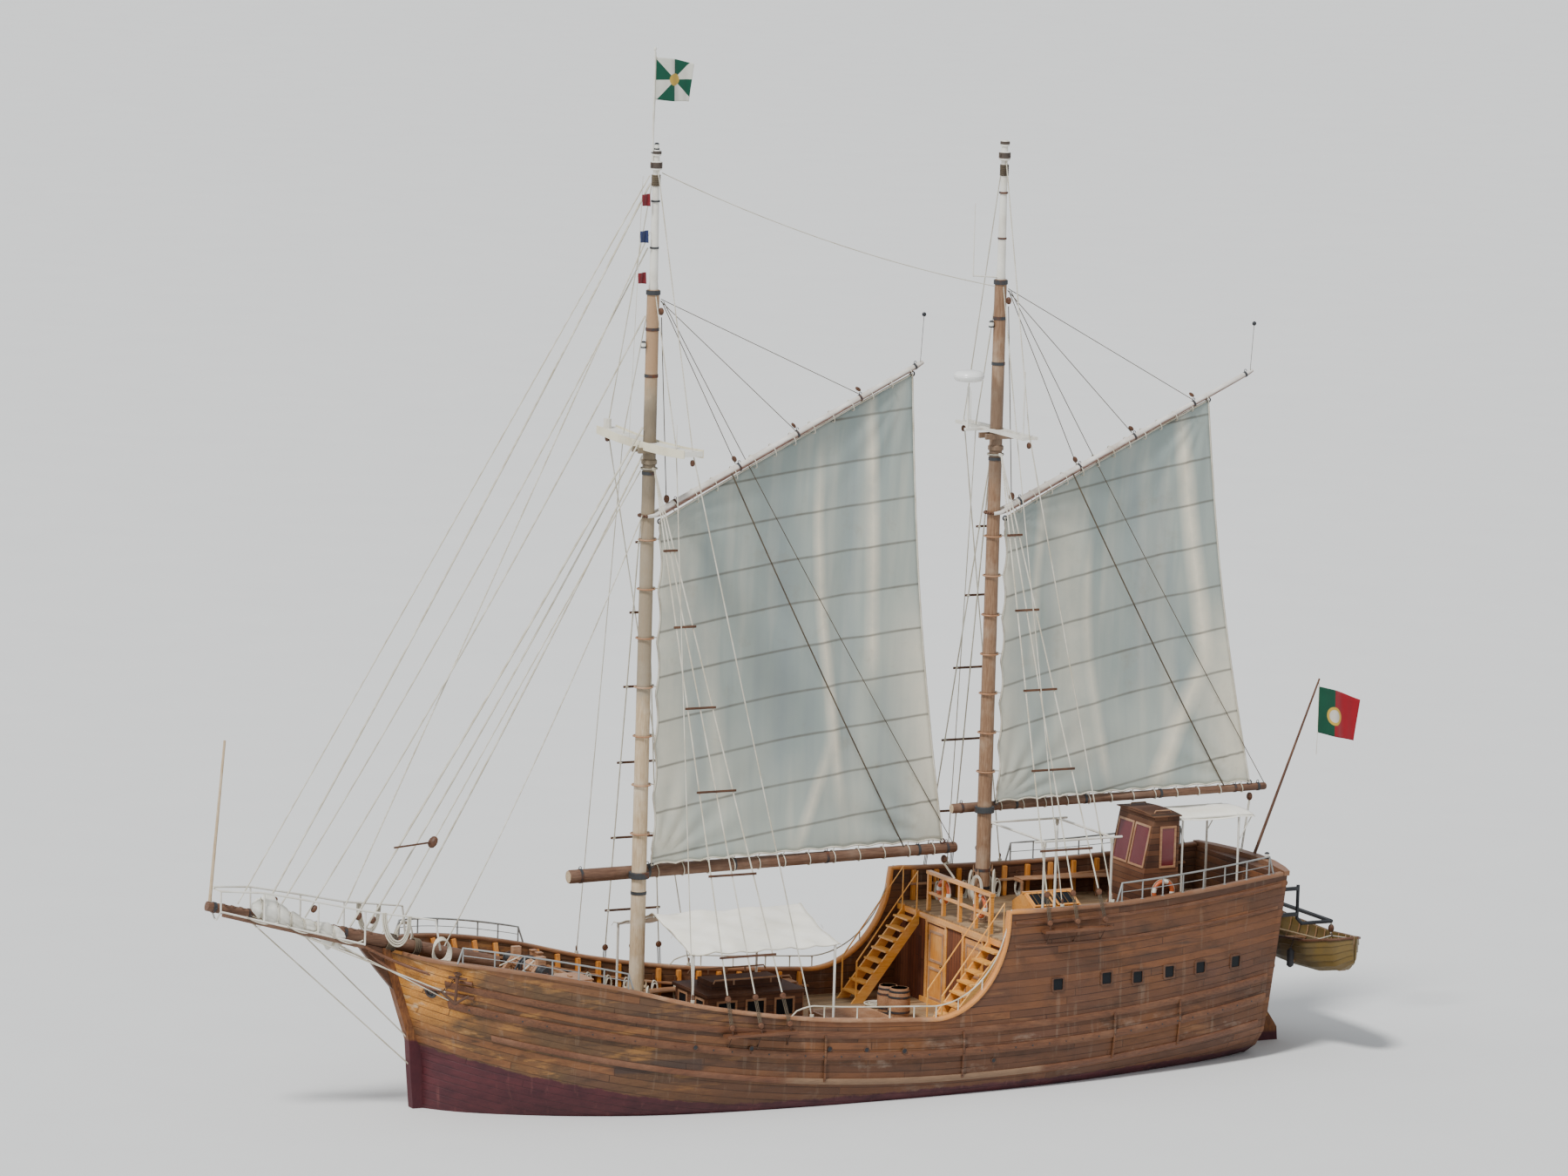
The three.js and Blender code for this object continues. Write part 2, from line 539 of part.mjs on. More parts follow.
// x, y, up: centre along the bowsprit; wide and tall: half sizes of the bundle there
const BUNDLE = [
  { x: 11330, y: 310, up: -40, wide: 90, tall: 90 },
  { x: 11480, y: 310, up: -80, wide: 145, tall: 240 },
  { x: 11750, y: 305, up: -90, wide: 145, tall: 280 },
  { x: 11930, y: 300, up: 30, wide: 140, tall: 130 },
  { x: 12080, y: 300, up: 40, wide: 135, tall: 140 },
  { x: 12400, y: 285, up: 20, wide: 120, tall: 200 },
  { x: 12700, y: 270, up: 110, wide: 110, tall: 230 },
  { x: 12950, y: 255, up: 215, wide: 102, tall: 320 },
  { x: 13130, y: 250, up: 225, wide: 96, tall: 310 },
  { x: 13300, y: 240, up: 200, wide: 90, tall: 200 },
  { x: 13420, y: 235, up: 190, wide: 60, tall: 80 },
];
add('furled_headsail', ladder(BUNDLE.map(({ x, y, up, wide, tall }) => {
  const arc = (side) => [-80, -30, 30, 80].map((degrees) => {
    const angle = THREE.MathUtils.degToRad(degrees);
    return bowspritAt(x, y + side * wide * Math.cos(angle), up + tall * Math.sin(angle));
  });
  return { left: arc(1), right: arc(-1) };
})), CREAM_CLOTH);

// Each anchor hangs with its ring up below a cathead, in a plane that lies along the bow planks.
const ANCHOR = { station: 8680, ring: 3190, off: 150 };
// along, up: millimetres from the ring, towards the stem and upwards
const ANCHOR_BARS = [
  { part: 'shank', from: [0, 10], to: [50, -640], radius: 36, endRadius: 36 },
  { part: 'stock', from: [-200, -75], to: [200, -45], radius: 28, endRadius: 28 },
  { part: 'aft arm', from: [60, -620], to: [-250, -430], radius: 38, endRadius: 24 },
  { part: 'fore arm', from: [40, -620], to: [330, -390], radius: 38, endRadius: 24 },
];
const CATHEAD = { inner: -40, outer: 190, radius: 46 };
for (const [label, side] of [['port', 1], ['starboard', -1]]) {
  const foot = outside(ANCHOR.station, ANCHOR.ring, side);
  const plank = outside(ANCHOR.station + 100, ANCHOR.ring, side).sub(foot).normalize();
  const at = (along, out, up) => point(foot.x + plank.x * along - side * plank.y * out,
    foot.y + plank.y * along + side * plank.x * out, foot.z + up);
  const bars = ANCHOR_BARS.map(({ from, to, radius, endRadius }) =>
    bar(at(from[0], ANCHOR.off, from[1]), at(to[0], ANCHOR.off, to[1]), radius, 8, endRadius));
  const cathead = bar(at(0, CATHEAD.inner, 0), at(0, CATHEAD.outer, 0), CATHEAD.radius);
  add(`anchor_${label}`, cut(join(...bars, cathead), sideShell(bulwarkXs, side, 0, GAP)), STEEL);
}

// Masts, topmasts and spreaders
const mastGeometry = (x) => join(
  bar(point(x, 0, WAIST_Z + GAP), point(x, 0, LOWER_HEAD_Z), MAST_RADIUS, 12, MAST_HEAD_RADIUS),
  ring(x, 0, HOUNDS_Z - 420, 100, MAST_RADIUS + 12, 110),
  ring(x, 0, LOWER_HEAD_Z - 110, 100, MAST_HEAD_RADIUS + 22, 100));
add('foremast', mastGeometry(FORE_X), PALE_WOOD);
add('mainmast', mastGeometry(MAIN_X), ORANGE_WOOD);
const topmast = (x, top) => join(
  bar(point(x, 0, LOWER_HEAD_Z + GAP), point(x, 0, top - 120), TOPMAST_RADIUS, 10, 70),
  bar(point(x, 0, top - 420), point(x, 0, top - 240), 130, 10),
  bar(point(x, 0, top - 130), point(x, 0, top), 105, 10, 60));
add('fore_topmast', join(topmast(FORE_X, FORE_TRUCK_Z),
  bar(point(FORE_X + 95, 0, FORE_TRUCK_Z - 380), point(FORE_X + 95, 0, FLAGSTAFF_Z), 22)), WHITE_PAINT);
add('main_topmast', topmast(MAIN_X, MAIN_TRUCK_Z), WHITE_PAINT);

const mastBore = (x) => bar(point(x, 0, HOUNDS_Z - 600), point(x, 0, HOUNDS_Z + 900), MAST_RADIUS - 8, 16);
const foreSpreaderSide = (x) => [[-2130, 20], [-1200, -30], [0, -50], [1200, -30], [2130, 20]]
  .map(([y, up]) => point(x, y, HOUNDS_Z + up));
const foreSpreader = ladder([FORE_X - 210, FORE_X + 210].map((x) => ({
  left: foreSpreaderSide(x),
  right: foreSpreaderSide(x).map((p) => p.clone().setZ(p.z + 110)),
})));
add('fore_spreader', cut(join(foreSpreader,
  bar(point(FORE_X + 60, -1960, HOUNDS_Z + 60), point(FORE_X + 60, -1960, HOUNDS_Z + 330), 90, 8)),
mastBore(FORE_X)), WHITE_PAINT);
add('main_spreader', cut(join(
  box(MAIN_X - 190, MAIN_X - 110, -1550, 1550, HOUNDS_Z, HOUNDS_Z + 70),
  box(MAIN_X + 110, MAIN_X + 190, -1550, 1550, HOUNDS_Z, HOUNDS_Z + 70),
  ...[-1500, -180, 120, 1440].map((y) => box(MAIN_X - 190, MAIN_X + 190, y, y + 60, HOUNDS_Z, HOUNDS_Z + 60)),
  box(MAIN_X + 150, MAIN_X + 620, -330, -250, HOUNDS_Z, HOUNDS_Z + 60),
  bar(point(MAIN_X + 560, -290, HOUNDS_Z + 30), point(MAIN_X + 560, -290, HOUNDS_Z + 960), 30),
  bar(point(MAIN_X + 150, 1500, HOUNDS_Z + 30), point(MAIN_X + 150, 1500, HOUNDS_Z + 1500), 16)),
mastBore(MAIN_X)), WHITE_PAINT);
add('radar_dome', new THREE.CylinderGeometry(300, 340, 250, 16)
  .rotateX(Math.PI / 2).translate(MAIN_X + 560, -290, HOUNDS_Z + 1090), WHITE_PAINT);

// Sails with their gaffs and booms. Each rig swings about its mast.
const FORE_RIG = {
  mast: FORE_X,
  boom: { fore: [5770, -360, 4720], aft: [-3700, -360, 4820], radius: 150, endRadius: 120 },
  gaff: { throat: [4110, 0, 12600], peak: [-2330, 0, 15690], radius: 95, endRadius: 60 },
  sail: { tack: [3960, 0, 4930], clew: [-3330, -300, 4990], peak: [-2080, 0, 15440],
    throat: [3960, 0, 12440] },
  belly: -330,
};
const MAIN_RIG = {
  mast: MAIN_X,
  boom: { fore: [-3550, -330, 5690], aft: [-11560, -330, 5760], radius: 110, endRadius: 85 },
  gaff: { throat: [-4340, 0, 12330], peak: [-10650, 0, 15250], radius: 90, endRadius: 55 },
  sail: { tack: [-4490, 0, 5830], clew: [-11120, -290, 5870], peak: [-9540, 0, 14620],
    throat: [-4490, 0, 12170] },
  belly: -300,
};
const SAIL = { thick: 12, columns: 4, rows: 2, hollow: 170, edgeBelly: 0.35 };

// A point of the sail's middle surface: across from luff to leech, up from foot to head, both 0 to 1.
function sailPoint({ sail, belly }, across, up) {
  const corner = (name) => point(...sail[name]);
  const foot = corner('tack').lerp(corner('clew'), across);
  const head = corner('throat').lerp(corner('peak'), across);
  const p = foot.lerp(head, up);
  const bellyHere = SAIL.edgeBelly + (1 - SAIL.edgeBelly) * 4 * up * (1 - up);
  p.y += belly * 4 * across * (1 - across) * bellyHere;
  p.x += SAIL.hollow * across ** 3 * Math.sin(Math.PI * up);
  return p;
}

function sailSheet(rig) {
  const shares = (count) => Array.from({ length: count + 1 }, (_, i) => i / count);
  return ladder(shares(SAIL.columns).map((across) => {
    const line = (offset) => shares(SAIL.rows).map((up) => {
      const p = sailPoint(rig, across, up);
      p.y += offset;
      return p;
    });
    return { left: line(SAIL.thick / 2), right: line(-SAIL.thick / 2) };
  }));
}

const mastRadiusAt = (z) =>
  MAST_RADIUS + (MAST_HEAD_RADIUS - MAST_RADIUS) * (z - WAIST_Z) / (LOWER_HEAD_Z - WAIST_Z);

function hoops(rig) {
  const [low, high] = [rig.sail.tack[2] + 700, rig.sail.throat[2] - 400];
  return Array.from({ length: HOOP.count }, (_, i) => {
    const z = low + (high - low) * i / (HOOP.count - 1);
    const inner = mastRadiusAt(z) + HOOP.clearance;
    const reach = rig.mast - rig.sail.tack[0] + 12;
    return join(ring(rig.mast, 0, z, inner, inner + HOOP.thick, HOOP.tall, HOOP.sides),
      box(rig.mast - reach, rig.mast - inner - 4, -14, 14, z, z + HOOP.tall));
  });
}

const collar = (rig, z, tall) => ring(rig.mast, 0, z, mastRadiusAt(z) + 8, mastRadiusAt(z) + 62, tall);

for (const [label, rig] of [['fore', FORE_RIG], ['main', MAIN_RIG]]) {
  const { boom, gaff } = rig;
  const along = (rig.mast - boom.fore[0]) / (boom.aft[0] - boom.fore[0]);
  const boomZ = boom.fore[2] + along * (boom.aft[2] - boom.fore[2]);
  const lug = box(rig.mast - 70, rig.mast + 70, boom.fore[1], -mastRadiusAt(boomZ) - 20,
    boomZ - 50, boomZ + 50);
  add(`${label}_boom`, join(
    bar(point(...boom.fore), point(...boom.aft), boom.radius, 10, boom.endRadius),
    collar(rig, boomZ - 70, 140), lug), DARK_WOOD);
  const jaw = box(rig.mast - 420, rig.mast - mastRadiusAt(gaff.throat[2]) - 20, -70, 70,
    gaff.throat[2] - 60, gaff.throat[2] + 80);
  const gaffStart = point(...gaff.throat).add(point(-130, 0, 30));
  add(`${label}_gaff`, join(
    bar(gaffStart, point(...gaff.peak), gaff.radius, 8, gaff.endRadius),
    collar(rig, gaff.throat[2] - 60, 140), jaw), PALE_WOOD);
  add(`${label}_sail`, join(sailSheet(rig), ...hoops(rig)), CANVAS);
}

// Standing rigging: stays to the bowsprit and shrouds to a channel on each side
const STAY_RADIUS = 16;
const STAYS = [
  { name: 'forestay_outer', x: 13650, mastZ: 19900, mastRadius: 140 },
  { name: 'forestay_inner', x: 11350, mastZ: 18700, mastRadius: 100 },
  { name: 'forestay_lower', x: 10300, mastZ: 13560, mastRadius: 185 },
];
for (const { name, x, mastZ, mastRadius } of STAYS) {
  const foot = bowspritAt(x, 0, BOWSPRIT.r0 + 8);
  add(name, bar(foot, point(FORE_X + mastRadius + 12, 0, mastZ), STAY_RADIUS), ROPE);
}
// feet: where the shrouds land, aft of the mast; z: the channel's height; half: its inner edge
const SHROUDS = [
  { mast: 'fore', x: FORE_X, feet: [3500, 2800, 2100], z: 1780 },
  { mast: 'main', x: MAIN_X, feet: [-4300, -5000, -5700], z: 3520 },
];
for (const { mast, x, feet, z } of SHROUDS) {
  for (const [label, side] of [['port', 1], ['starboard', -1]]) {
    const [ahead, abaft] = [feet[0] + 150, feet.at(-1) - 150];
    const inner = Math.max(...[z - 60, z].flatMap((h) => [halfAbove(ahead, h), halfAbove(abaft, h)])) + 6;
    const [y0, y1] = side > 0 ? [inner, inner + 230] : [-inner - 230, -inner];
    const topY = side * (MAST_RADIUS + 60);
    const top = point(x - 20, topY, HOUNDS_Z - 500);
    const legs = feet.map((footX) => bar(point(footX, side * (inner + 170), z), top, STAY_RADIUS));
    const deadeyes = feet.map((footX) => {
      const foot = point(footX, side * (inner + 170), z);
      return bar(foot.clone().lerp(top, 0.012), foot.clone().lerp(top, 0.075), 45, 8);
    });
    add(`${mast}_shrouds_${label}`, join(
      box(abaft, ahead, y0, y1, z - 60, z),
      box(x - 80, x + 40, topY - 45, topY + 45, HOUNDS_Z - 620, HOUNDS_Z - 440),
      ...legs, ...deadeyes), ROPE);
  }
}

// Skylight on the quarterdeck, and a frame for an awning around it
const SKYLIGHT = { aft: -6450, fore: -5250, half: 500, wall: 300, ridge: 560, ridgeHalf: 45 };
add('skylight', ladder([SKYLIGHT.aft, SKYLIGHT.fore].map((x) => {
  const slope = (side) => [[SKYLIGHT.half, GAP], [SKYLIGHT.half, SKYLIGHT.wall], [SKYLIGHT.ridgeHalf, SKYLIGHT.ridge]]
    .map(([y, up]) => point(x, side * y, QUARTERDECK_Z + up));
  return { left: slope(1), right: slope(-1) };
})), ORANGE_WOOD);
const FRAME = { aft: -6750, fore: -5050, half: 1250, top: 5140, over: 250, post: 28, rail: 26 };
add('quarterdeck_frame', join(
  ...[FRAME.aft, FRAME.fore].flatMap((x) => [-FRAME.half, FRAME.half].map((y) =>
    bar(point(x, y, QUARTERDECK_Z + GAP), point(x, y, FRAME.top), FRAME.post))),
  ...[FRAME.aft, FRAME.fore].map((x) =>
    bar(point(x, -FRAME.half, FRAME.top), point(x, FRAME.half, FRAME.top), FRAME.rail)),
  ...[-FRAME.half, FRAME.half].map((y) =>
    bar(point(FRAME.aft - FRAME.over, y, FRAME.top), point(FRAME.fore + FRAME.over, y, FRAME.top), FRAME.rail))),
WHITE_PAINT);

// Helm shelter, pedestal and wheel on the quarterdeck
const SHELTER = { front: -7850, knee: 4150, brow: -8100, back: -8720, half: 790, top: 5420, wall: 45 };
// Its side, from the foot up the upright and the raked part of the front to the roof.
const shelterSide = (back, foot, inset) => [
  [back, foot], [SHELTER.front - inset, foot], [SHELTER.front - inset, SHELTER.knee],
  [SHELTER.brow - inset, SHELTER.top - inset], [back, SHELTER.top - inset],
];
const shelterForm = plate(shelterSide(SHELTER.back, QUARTERDECK_Z + GAP, 0), -SHELTER.half, SHELTER.half);
const shelterRoom = plate(shelterSide(SHELTER.back - PAST, QUARTERDECK_Z - PAST, SHELTER.wall),
  SHELTER.wall - SHELTER.half, SHELTER.half - SHELTER.wall);
const PANE = { low: 4300, high: 5180, sideAft: -8610, sideFore: -8260, frontInner: 60, frontOuter: 680 };
const sidePanes = box(PANE.sideAft, PANE.sideFore, -SHELTER.half - PAST, SHELTER.half + PAST, PANE.low, PANE.high);
const frontPanes = [[-PANE.frontOuter, -PANE.frontInner], [PANE.frontInner, PANE.frontOuter]].map(([y0, y1]) =>
  box(SHELTER.brow - PAST, SHELTER.front + PAST, y0, y1, PANE.low, PANE.high));
add('helm_shelter', cut(shelterForm, shelterRoom, sidePanes, ...frontPanes), DARK_WOOD);
const WHEEL = { x: -8560, z: 4200, radius: 420, grip: 560, spokes: 8 };
add('helm_pedestal', join(
  box(-8480, -8180, -220, 220, QUARTERDECK_Z + GAP, 4050),
  box(-8500, -8160, -260, 260, 4040, 4420)), DARK_WOOD);
const wheelRim = ring(0, 0, -30, WHEEL.radius - 50, WHEEL.radius + 15, 60, 16);
const wheelSpokes = Array.from({ length: WHEEL.spokes }, (_, i) => {
  const angle = (i / WHEEL.spokes) * 2 * Math.PI;
  return bar(point(0, 0, 0), point(WHEEL.grip * Math.cos(angle), WHEEL.grip * Math.sin(angle), 0), 20, 4);
});
add('helm_wheel', join(wheelRim, ...wheelSpokes, bar(point(0, 0, -45), point(0, 0, 53), 75, 12))
  .rotateY(Math.PI / 2).translate(WHEEL.x, 0, WHEEL.z), ORANGE_WOOD);

// Aft awning, ensign staff and both flags
const aftPosts = [-8860, -10300].flatMap((x) => [-700, 700].map((y) => [x, y]));
add('aft_awning', join(
  box(-10700, -8760, -760, 760, 5350, 5372),
  ...aftPosts.map(([x, y]) => bar(point(x, y, QUARTERDECK_Z + GAP), point(x, y, 5360), 26))), CREAM_CLOTH);
add('ensign_staff', bar(point(-11150, 0, transomTopZ + 120), point(-12680, 0, 8200), 38, 8, 22), DARK_WOOD);
const FLAG_THICK = 10;
function flag(hoist, fly, tall, waves) {
  const steps = [0, 0.25, 0.5, 0.75, 1];
  return ladder(steps.map((share) => {
    const base = hoist.clone().addScaledVector(fly, share);
    const wave = waves * Math.sin(share * 2 * Math.PI);
    const line = (offset) => [0, -tall].map((down) => point(base.x, base.y + wave + offset, base.z + down));
    return { left: line(FLAG_THICK / 2), right: line(-FLAG_THICK / 2) };
  }));
}
add('ensign', flag(point(-12680, 0, 8020), point(-1080, 0, -260), 1050, 90), RED_FLAG);
add('masthead_flag', flag(point(FORE_X + 65, 0, 22420), point(-900, 0, -60), 900, 80), GREEN_FLAG);

// Tender hung across the stern from two davits
const TENDER = { x: -12230, y: 350, half: 2350, beam: 720, bottom: 1800, sheer: 2450 };
// along: share of the half length; wide: share of the beam; rise: keel's rise; lift: gunwale's rise
const TENDER_ROWS = [
  { along: -1, wide: 0.62, rise: 190, lift: 240 },
  { along: -0.55, wide: 0.92, rise: 60, lift: 90 },
  { along: 0, wide: 1, rise: 0, lift: 40 },
  { along: 0.5, wide: 0.88, rise: 40, lift: 130 },
  { along: 0.82, wide: 0.5, rise: 180, lift: 260 },
  { along: 1, wide: 0.06, rise: 420, lift: 360 },
];
function tenderForm(inset, raise) {
  return ladder(TENDER_ROWS.map(({ along, wide, rise, lift }) => {
    const half = Math.max(TENDER.beam * wide - inset, 12);
    const low = TENDER.bottom + rise + inset;
    const high = TENDER.sheer + lift + raise;
    const y = TENDER.y + along * (TENDER.half - inset);
    const line = (side) => [[0.28, low], [0.75, low + 0.35 * (high - low)], [1, high]]
      .map(([share, z]) => point(TENDER.x + side * share * half, y, z));
    return { left: line(1), right: line(-1) };
  }));
}
const thwart = (y) => box(TENDER.x - 640, TENDER.x + 640, y - 110, y + 110, 2180, 2215);
add('tender', join(cut(tenderForm(0, 0), tenderForm(45, 200)), thwart(-500), thwart(900)), YELLOW_PAINT);
const DAVIT = { x: -11330, low: 2980, high: 3860, reachX: -12230, hook: 2720, radius: 45 };
const davits = [-1450, 1650].map((y) => join(
  pipe([point(DAVIT.x, y, DAVIT.high), point(DAVIT.x, y, DAVIT.low + 130), point(DAVIT.x - 130, y, DAVIT.low),
    point(DAVIT.reachX, y, DAVIT.low)], DAVIT.radius),
  ...[DAVIT.low + 220, DAVIT.high - 80].map((z) => box(DAVIT.x - 20, -10800, y - 40, y + 40, z - 40, z + 40)),
  bar(point(DAVIT.reachX, y, DAVIT.low), point(DAVIT.reachX, y, DAVIT.hook), 14)));
const davitSpar = bar(point(DAVIT.reachX, -1450, DAVIT.low), point(DAVIT.reachX, 1650, DAVIT.low), 50);
add('tender_davits', cut(join(...davits, davitSpar), transomForm(TRANSOM_THICK + GAP)), STEEL);

// Rudder and propeller
const rudderBlade = plate([
  [RUDDER_X + 10, -1850], [RUDDER_X - 820, -1850], [RUDDER_X - 900, -1500], [RUDDER_X - 760, 300],
  [RUDDER_X - 420, 800], [RUDDER_X + 10, 900]], -65, 65);
add('rudder', join(rudderBlade, bar(point(RUDDER_X, 0, -1880), point(RUDDER_X, 0, 1050), 85, 12)), DARK_WOOD);
const blade = (turn) => new THREE.BoxGeometry(60, 330, PROPELLER.radius - 60)
  .translate(0, 0, (PROPELLER.radius + 60) / 2)
  .rotateZ(THREE.MathUtils.degToRad(32))
  .rotateX(turn);
add('propeller', join(
  bar(point(-180, 0, 0), point(380, 0, 0), PROPELLER.hub, 12, PROPELLER.hub - 20),
  ...[0, 1, 2].map((i) => blade(i * 2 * Math.PI / 3)))
  .translate(PROPELLER.x, 0, PROPELLER.z), BRONZE);

export default ship;
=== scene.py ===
"""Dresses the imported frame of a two-masted, gaff-rigged wooden ship, afloat with both sails set.

Metres, in the frame of the CAD model: +X is the bow, +Y is port, +Z is up, and the origin is
amidships on the waterline. The values named like those of the CAD source repeat them in metres.
"""
import math
from collections import namedtuple

import bpy
from mathutils import Matrix, Vector, noise
from mathutils.bvhtree import BVHTree


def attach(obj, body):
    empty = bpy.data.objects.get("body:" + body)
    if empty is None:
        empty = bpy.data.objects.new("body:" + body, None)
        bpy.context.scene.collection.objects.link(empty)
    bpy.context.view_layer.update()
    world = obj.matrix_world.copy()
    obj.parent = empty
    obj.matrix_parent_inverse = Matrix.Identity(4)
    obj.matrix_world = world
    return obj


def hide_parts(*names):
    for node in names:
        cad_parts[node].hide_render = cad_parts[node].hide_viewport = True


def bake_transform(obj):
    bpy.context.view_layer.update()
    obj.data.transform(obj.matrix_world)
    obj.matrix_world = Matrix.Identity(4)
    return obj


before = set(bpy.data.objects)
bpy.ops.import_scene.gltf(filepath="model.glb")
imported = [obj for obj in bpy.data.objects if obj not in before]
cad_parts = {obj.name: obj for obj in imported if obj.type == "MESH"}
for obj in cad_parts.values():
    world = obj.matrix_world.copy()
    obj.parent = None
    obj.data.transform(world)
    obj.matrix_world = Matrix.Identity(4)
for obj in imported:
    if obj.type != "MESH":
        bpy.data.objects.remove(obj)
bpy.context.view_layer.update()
AHEAD, PORT, UP = Vector((1, 0, 0)), Vector((0, 1, 0)), Vector((0, 0, 1))

# Driving dimensions
KEEL_HALF = 0.06
WAIST_Z = 1.15
QUARTERDECK_Z = 3.2
SIDE_THICK = 0.13
STEM_RAKE = 0.33
BOWSPRIT_FOOT_X, BOWSPRIT_FOOT_Z, BOWSPRIT_RISE = 10.2, 3.66, 0.247
FOREFOOT_X, FOREFOOT_REACH, FOREFOOT_DEPTH = 7.3, 2.03, 1.35
TRANSOM_X = -10.45
TRANSOM_RAKE = 0.09
CASTLE_FRONT_X = -3.4
SWEEP_FOOT_X, SWEEP_FOOT_Z, SWEEP_HEAD_Z = -1.5, 1.7, 3.915
FORECASTLE_X, FORECASTLE_Z, FORECASTLE_RISE = 5.1, 2.25, 0.113
DOOR_INNER, DOOR_OUTER, DOOR_HEIGHT = 0.45, 1.25, 1.8
FORE_X, MAIN_X = 4.25, -4.2
MAST_RADIUS, MAST_HEAD_RADIUS, TOPMAST_RADIUS = 0.17, 0.135, 0.095
HOUNDS_Z, LOWER_HEAD_Z = 14.1, 17.45
FORE_TRUCK_Z, MAIN_TRUCK_Z, FLAGSTAFF_Z = 20.45, 20.5, 22.65
RUDDER_X = -11.09

# Hull sections. half: half breadth at the waist deck's height; lean: outward for each unit above
# that deck; full: fullness of the section below it; keel: lowest line of the planking.
Station = namedtuple("Station", "x half lean full keel")
STATIONS = [
    Station(-10.45, 1.8, 0.066, 3.2, -0.35),
    Station(-9.0, 2.22, 0.02, 2.7, -0.69),
    Station(-7.0, 2.61, -0.025, 2.5, -1.09),
    Station(-5.0, 2.86, -0.045, 2.9, -1.31),
    Station(-2.5, 3.0, -0.045, 3.4, -1.35),
    Station(0.5, 3.05, -0.01, 3.6, -1.35),
    Station(3.0, 2.99, 0.02, 3.3, -1.35),
    Station(5.0, 2.8, 0.08, 2.8, -1.35),
    Station(6.5, 2.42, 0.13, 2.3, -1.35),
    Station(7.7, 1.89, 0.175, 1.9, -1.35),
    Station(8.6, 1.26, 0.2, 1.6, -1.35),
    Station(9.08, 0.7, 0.19, 1.4, -1.35),
    Station(9.38, 0.15, 0.01, 1.2, -1.35),
]
BOW_X = STATIONS[-1].x
RAKED_BOW_FROM_X, RAKED_STERN_FROM_X = 3.0, -8.0
CASTLE_RAIL_Z, CASTLE_RAIL_CURVE, CASTLE_RAIL_LOWEST_X = 3.88, 0.0105, -5.2
PLANK_LOWEST_X, PLANK_CURVE_AHEAD, PLANK_CURVE_ABAFT = -2.5, 0.0115, 0.007
Sheer = namedtuple("Sheer", "x z")
WAIST_SHEER = [
    Sheer(SWEEP_FOOT_X, SWEEP_FOOT_Z), Sheer(1.5, 1.92), Sheer(4.0, 2.33),
    Sheer(6.0, 2.86), Sheer(8.0, 3.27), Sheer(10.2, 3.53),
]
SIDES = {"port": 1, "starboard": -1}


# Hull form
def column(table, key, x):
    """The smooth curve through a table's column, with the slope at each row from its neighbours."""
    rows = [row.x for row in table]
    i = min(max(sum(1 for r in rows if r <= x) - 1, 0), len(table) - 2)

    def slope(k):
        a, b = table[max(k - 1, 0)], table[min(k + 1, len(table) - 1)]
        return (getattr(b, key) - getattr(a, key)) / (b.x - a.x)

    p, q = table[i], table[i + 1]
    span = q.x - p.x
    t = (x - p.x) / span
    return (getattr(p, key) * (1 + 2 * t) * (1 - t) ** 2 + getattr(q, key) * t * t * (3 - 2 * t)
            + slope(i) * span * t * (1 - t) ** 2 - slope(i + 1) * span * t * t * (1 - t))


def stem_x(z):
    if z >= WAIST_Z:
        return BOW_X + STEM_RAKE * (z - WAIST_Z)
    if z >= 0:
        return FOREFOOT_X + FOREFOOT_REACH + (BOW_X - FOREFOOT_X - FOREFOOT_REACH) * z / WAIST_Z
    return FOREFOOT_X + FOREFOOT_REACH * math.sqrt(max(1 - (z / FOREFOOT_DEPTH) ** 2, 0))


def transom_x(z):
    return TRANSOM_X - TRANSOM_RAKE * (z - WAIST_Z)


def station_x(x, z):
    bow = max((x - RAKED_BOW_FROM_X) / (BOW_X - RAKED_BOW_FROM_X), 0) ** 2
    stern = max((x - RAKED_STERN_FROM_X) / (TRANSOM_X - RAKED_STERN_FROM_X), 0) ** 2
    return x + bow * (stem_x(z) - stem_x(WAIST_Z)) + stern * (transom_x(z) - TRANSOM_X)


def castle_rail_z(x):
    return CASTLE_RAIL_Z + CASTLE_RAIL_CURVE * (x - CASTLE_RAIL_LOWEST_X) ** 2


def rail_z(x):
    if x <= CASTLE_FRONT_X:
        return castle_rail_z(x)
    if x >= SWEEP_FOOT_X:
        return column(WAIST_SHEER, "z", x)
    reach = (x - SWEEP_FOOT_X) / (CASTLE_FRONT_X - SWEEP_FOOT_X)
    return SWEEP_HEAD_Z - (SWEEP_HEAD_Z - SWEEP_FOOT_Z) * math.sqrt(1 - min(reach, 1) ** 2)


def half_at(x, z):
    """Half breadth of the planking's outside."""
    half = column(STATIONS, "half", x)
    if z >= WAIST_Z:
        return half + column(STATIONS, "lean", x) * (z - WAIST_Z)
    keel = column(STATIONS, "keel", x)
    level = max((z - keel) / (WAIST_Z - keel), 0)
    return KEEL_HALF + (half - KEEL_HALF) * (1 - (1 - level) ** column(STATIONS, "full", x))


def outside(x, z, side, inward=0.0):
    return Vector((station_x(x, z), side * max(half_at(x, z) - inward, 0.015), z))


def outward(x, z, side):
    """The planking's outward normal."""
    step = 0.02
    along = outside(x + step, z, side) - outside(x - step, z, side)
    up = outside(x, z + step, side) - outside(x, z - step, side)
    normal = along.cross(up).normalized()
    return normal if normal.y * side > 0 else -normal


def forecastle_z(x):
    return FORECASTLE_Z + FORECASTLE_RISE * (x - FORECASTLE_X)


def plank_rise(x):
    """How far a plank's line has risen at x, over its lowest place."""
    curve = PLANK_CURVE_AHEAD if x > PLANK_LOWEST_X else PLANK_CURVE_ABAFT
    return curve * (x - PLANK_LOWEST_X) ** 2


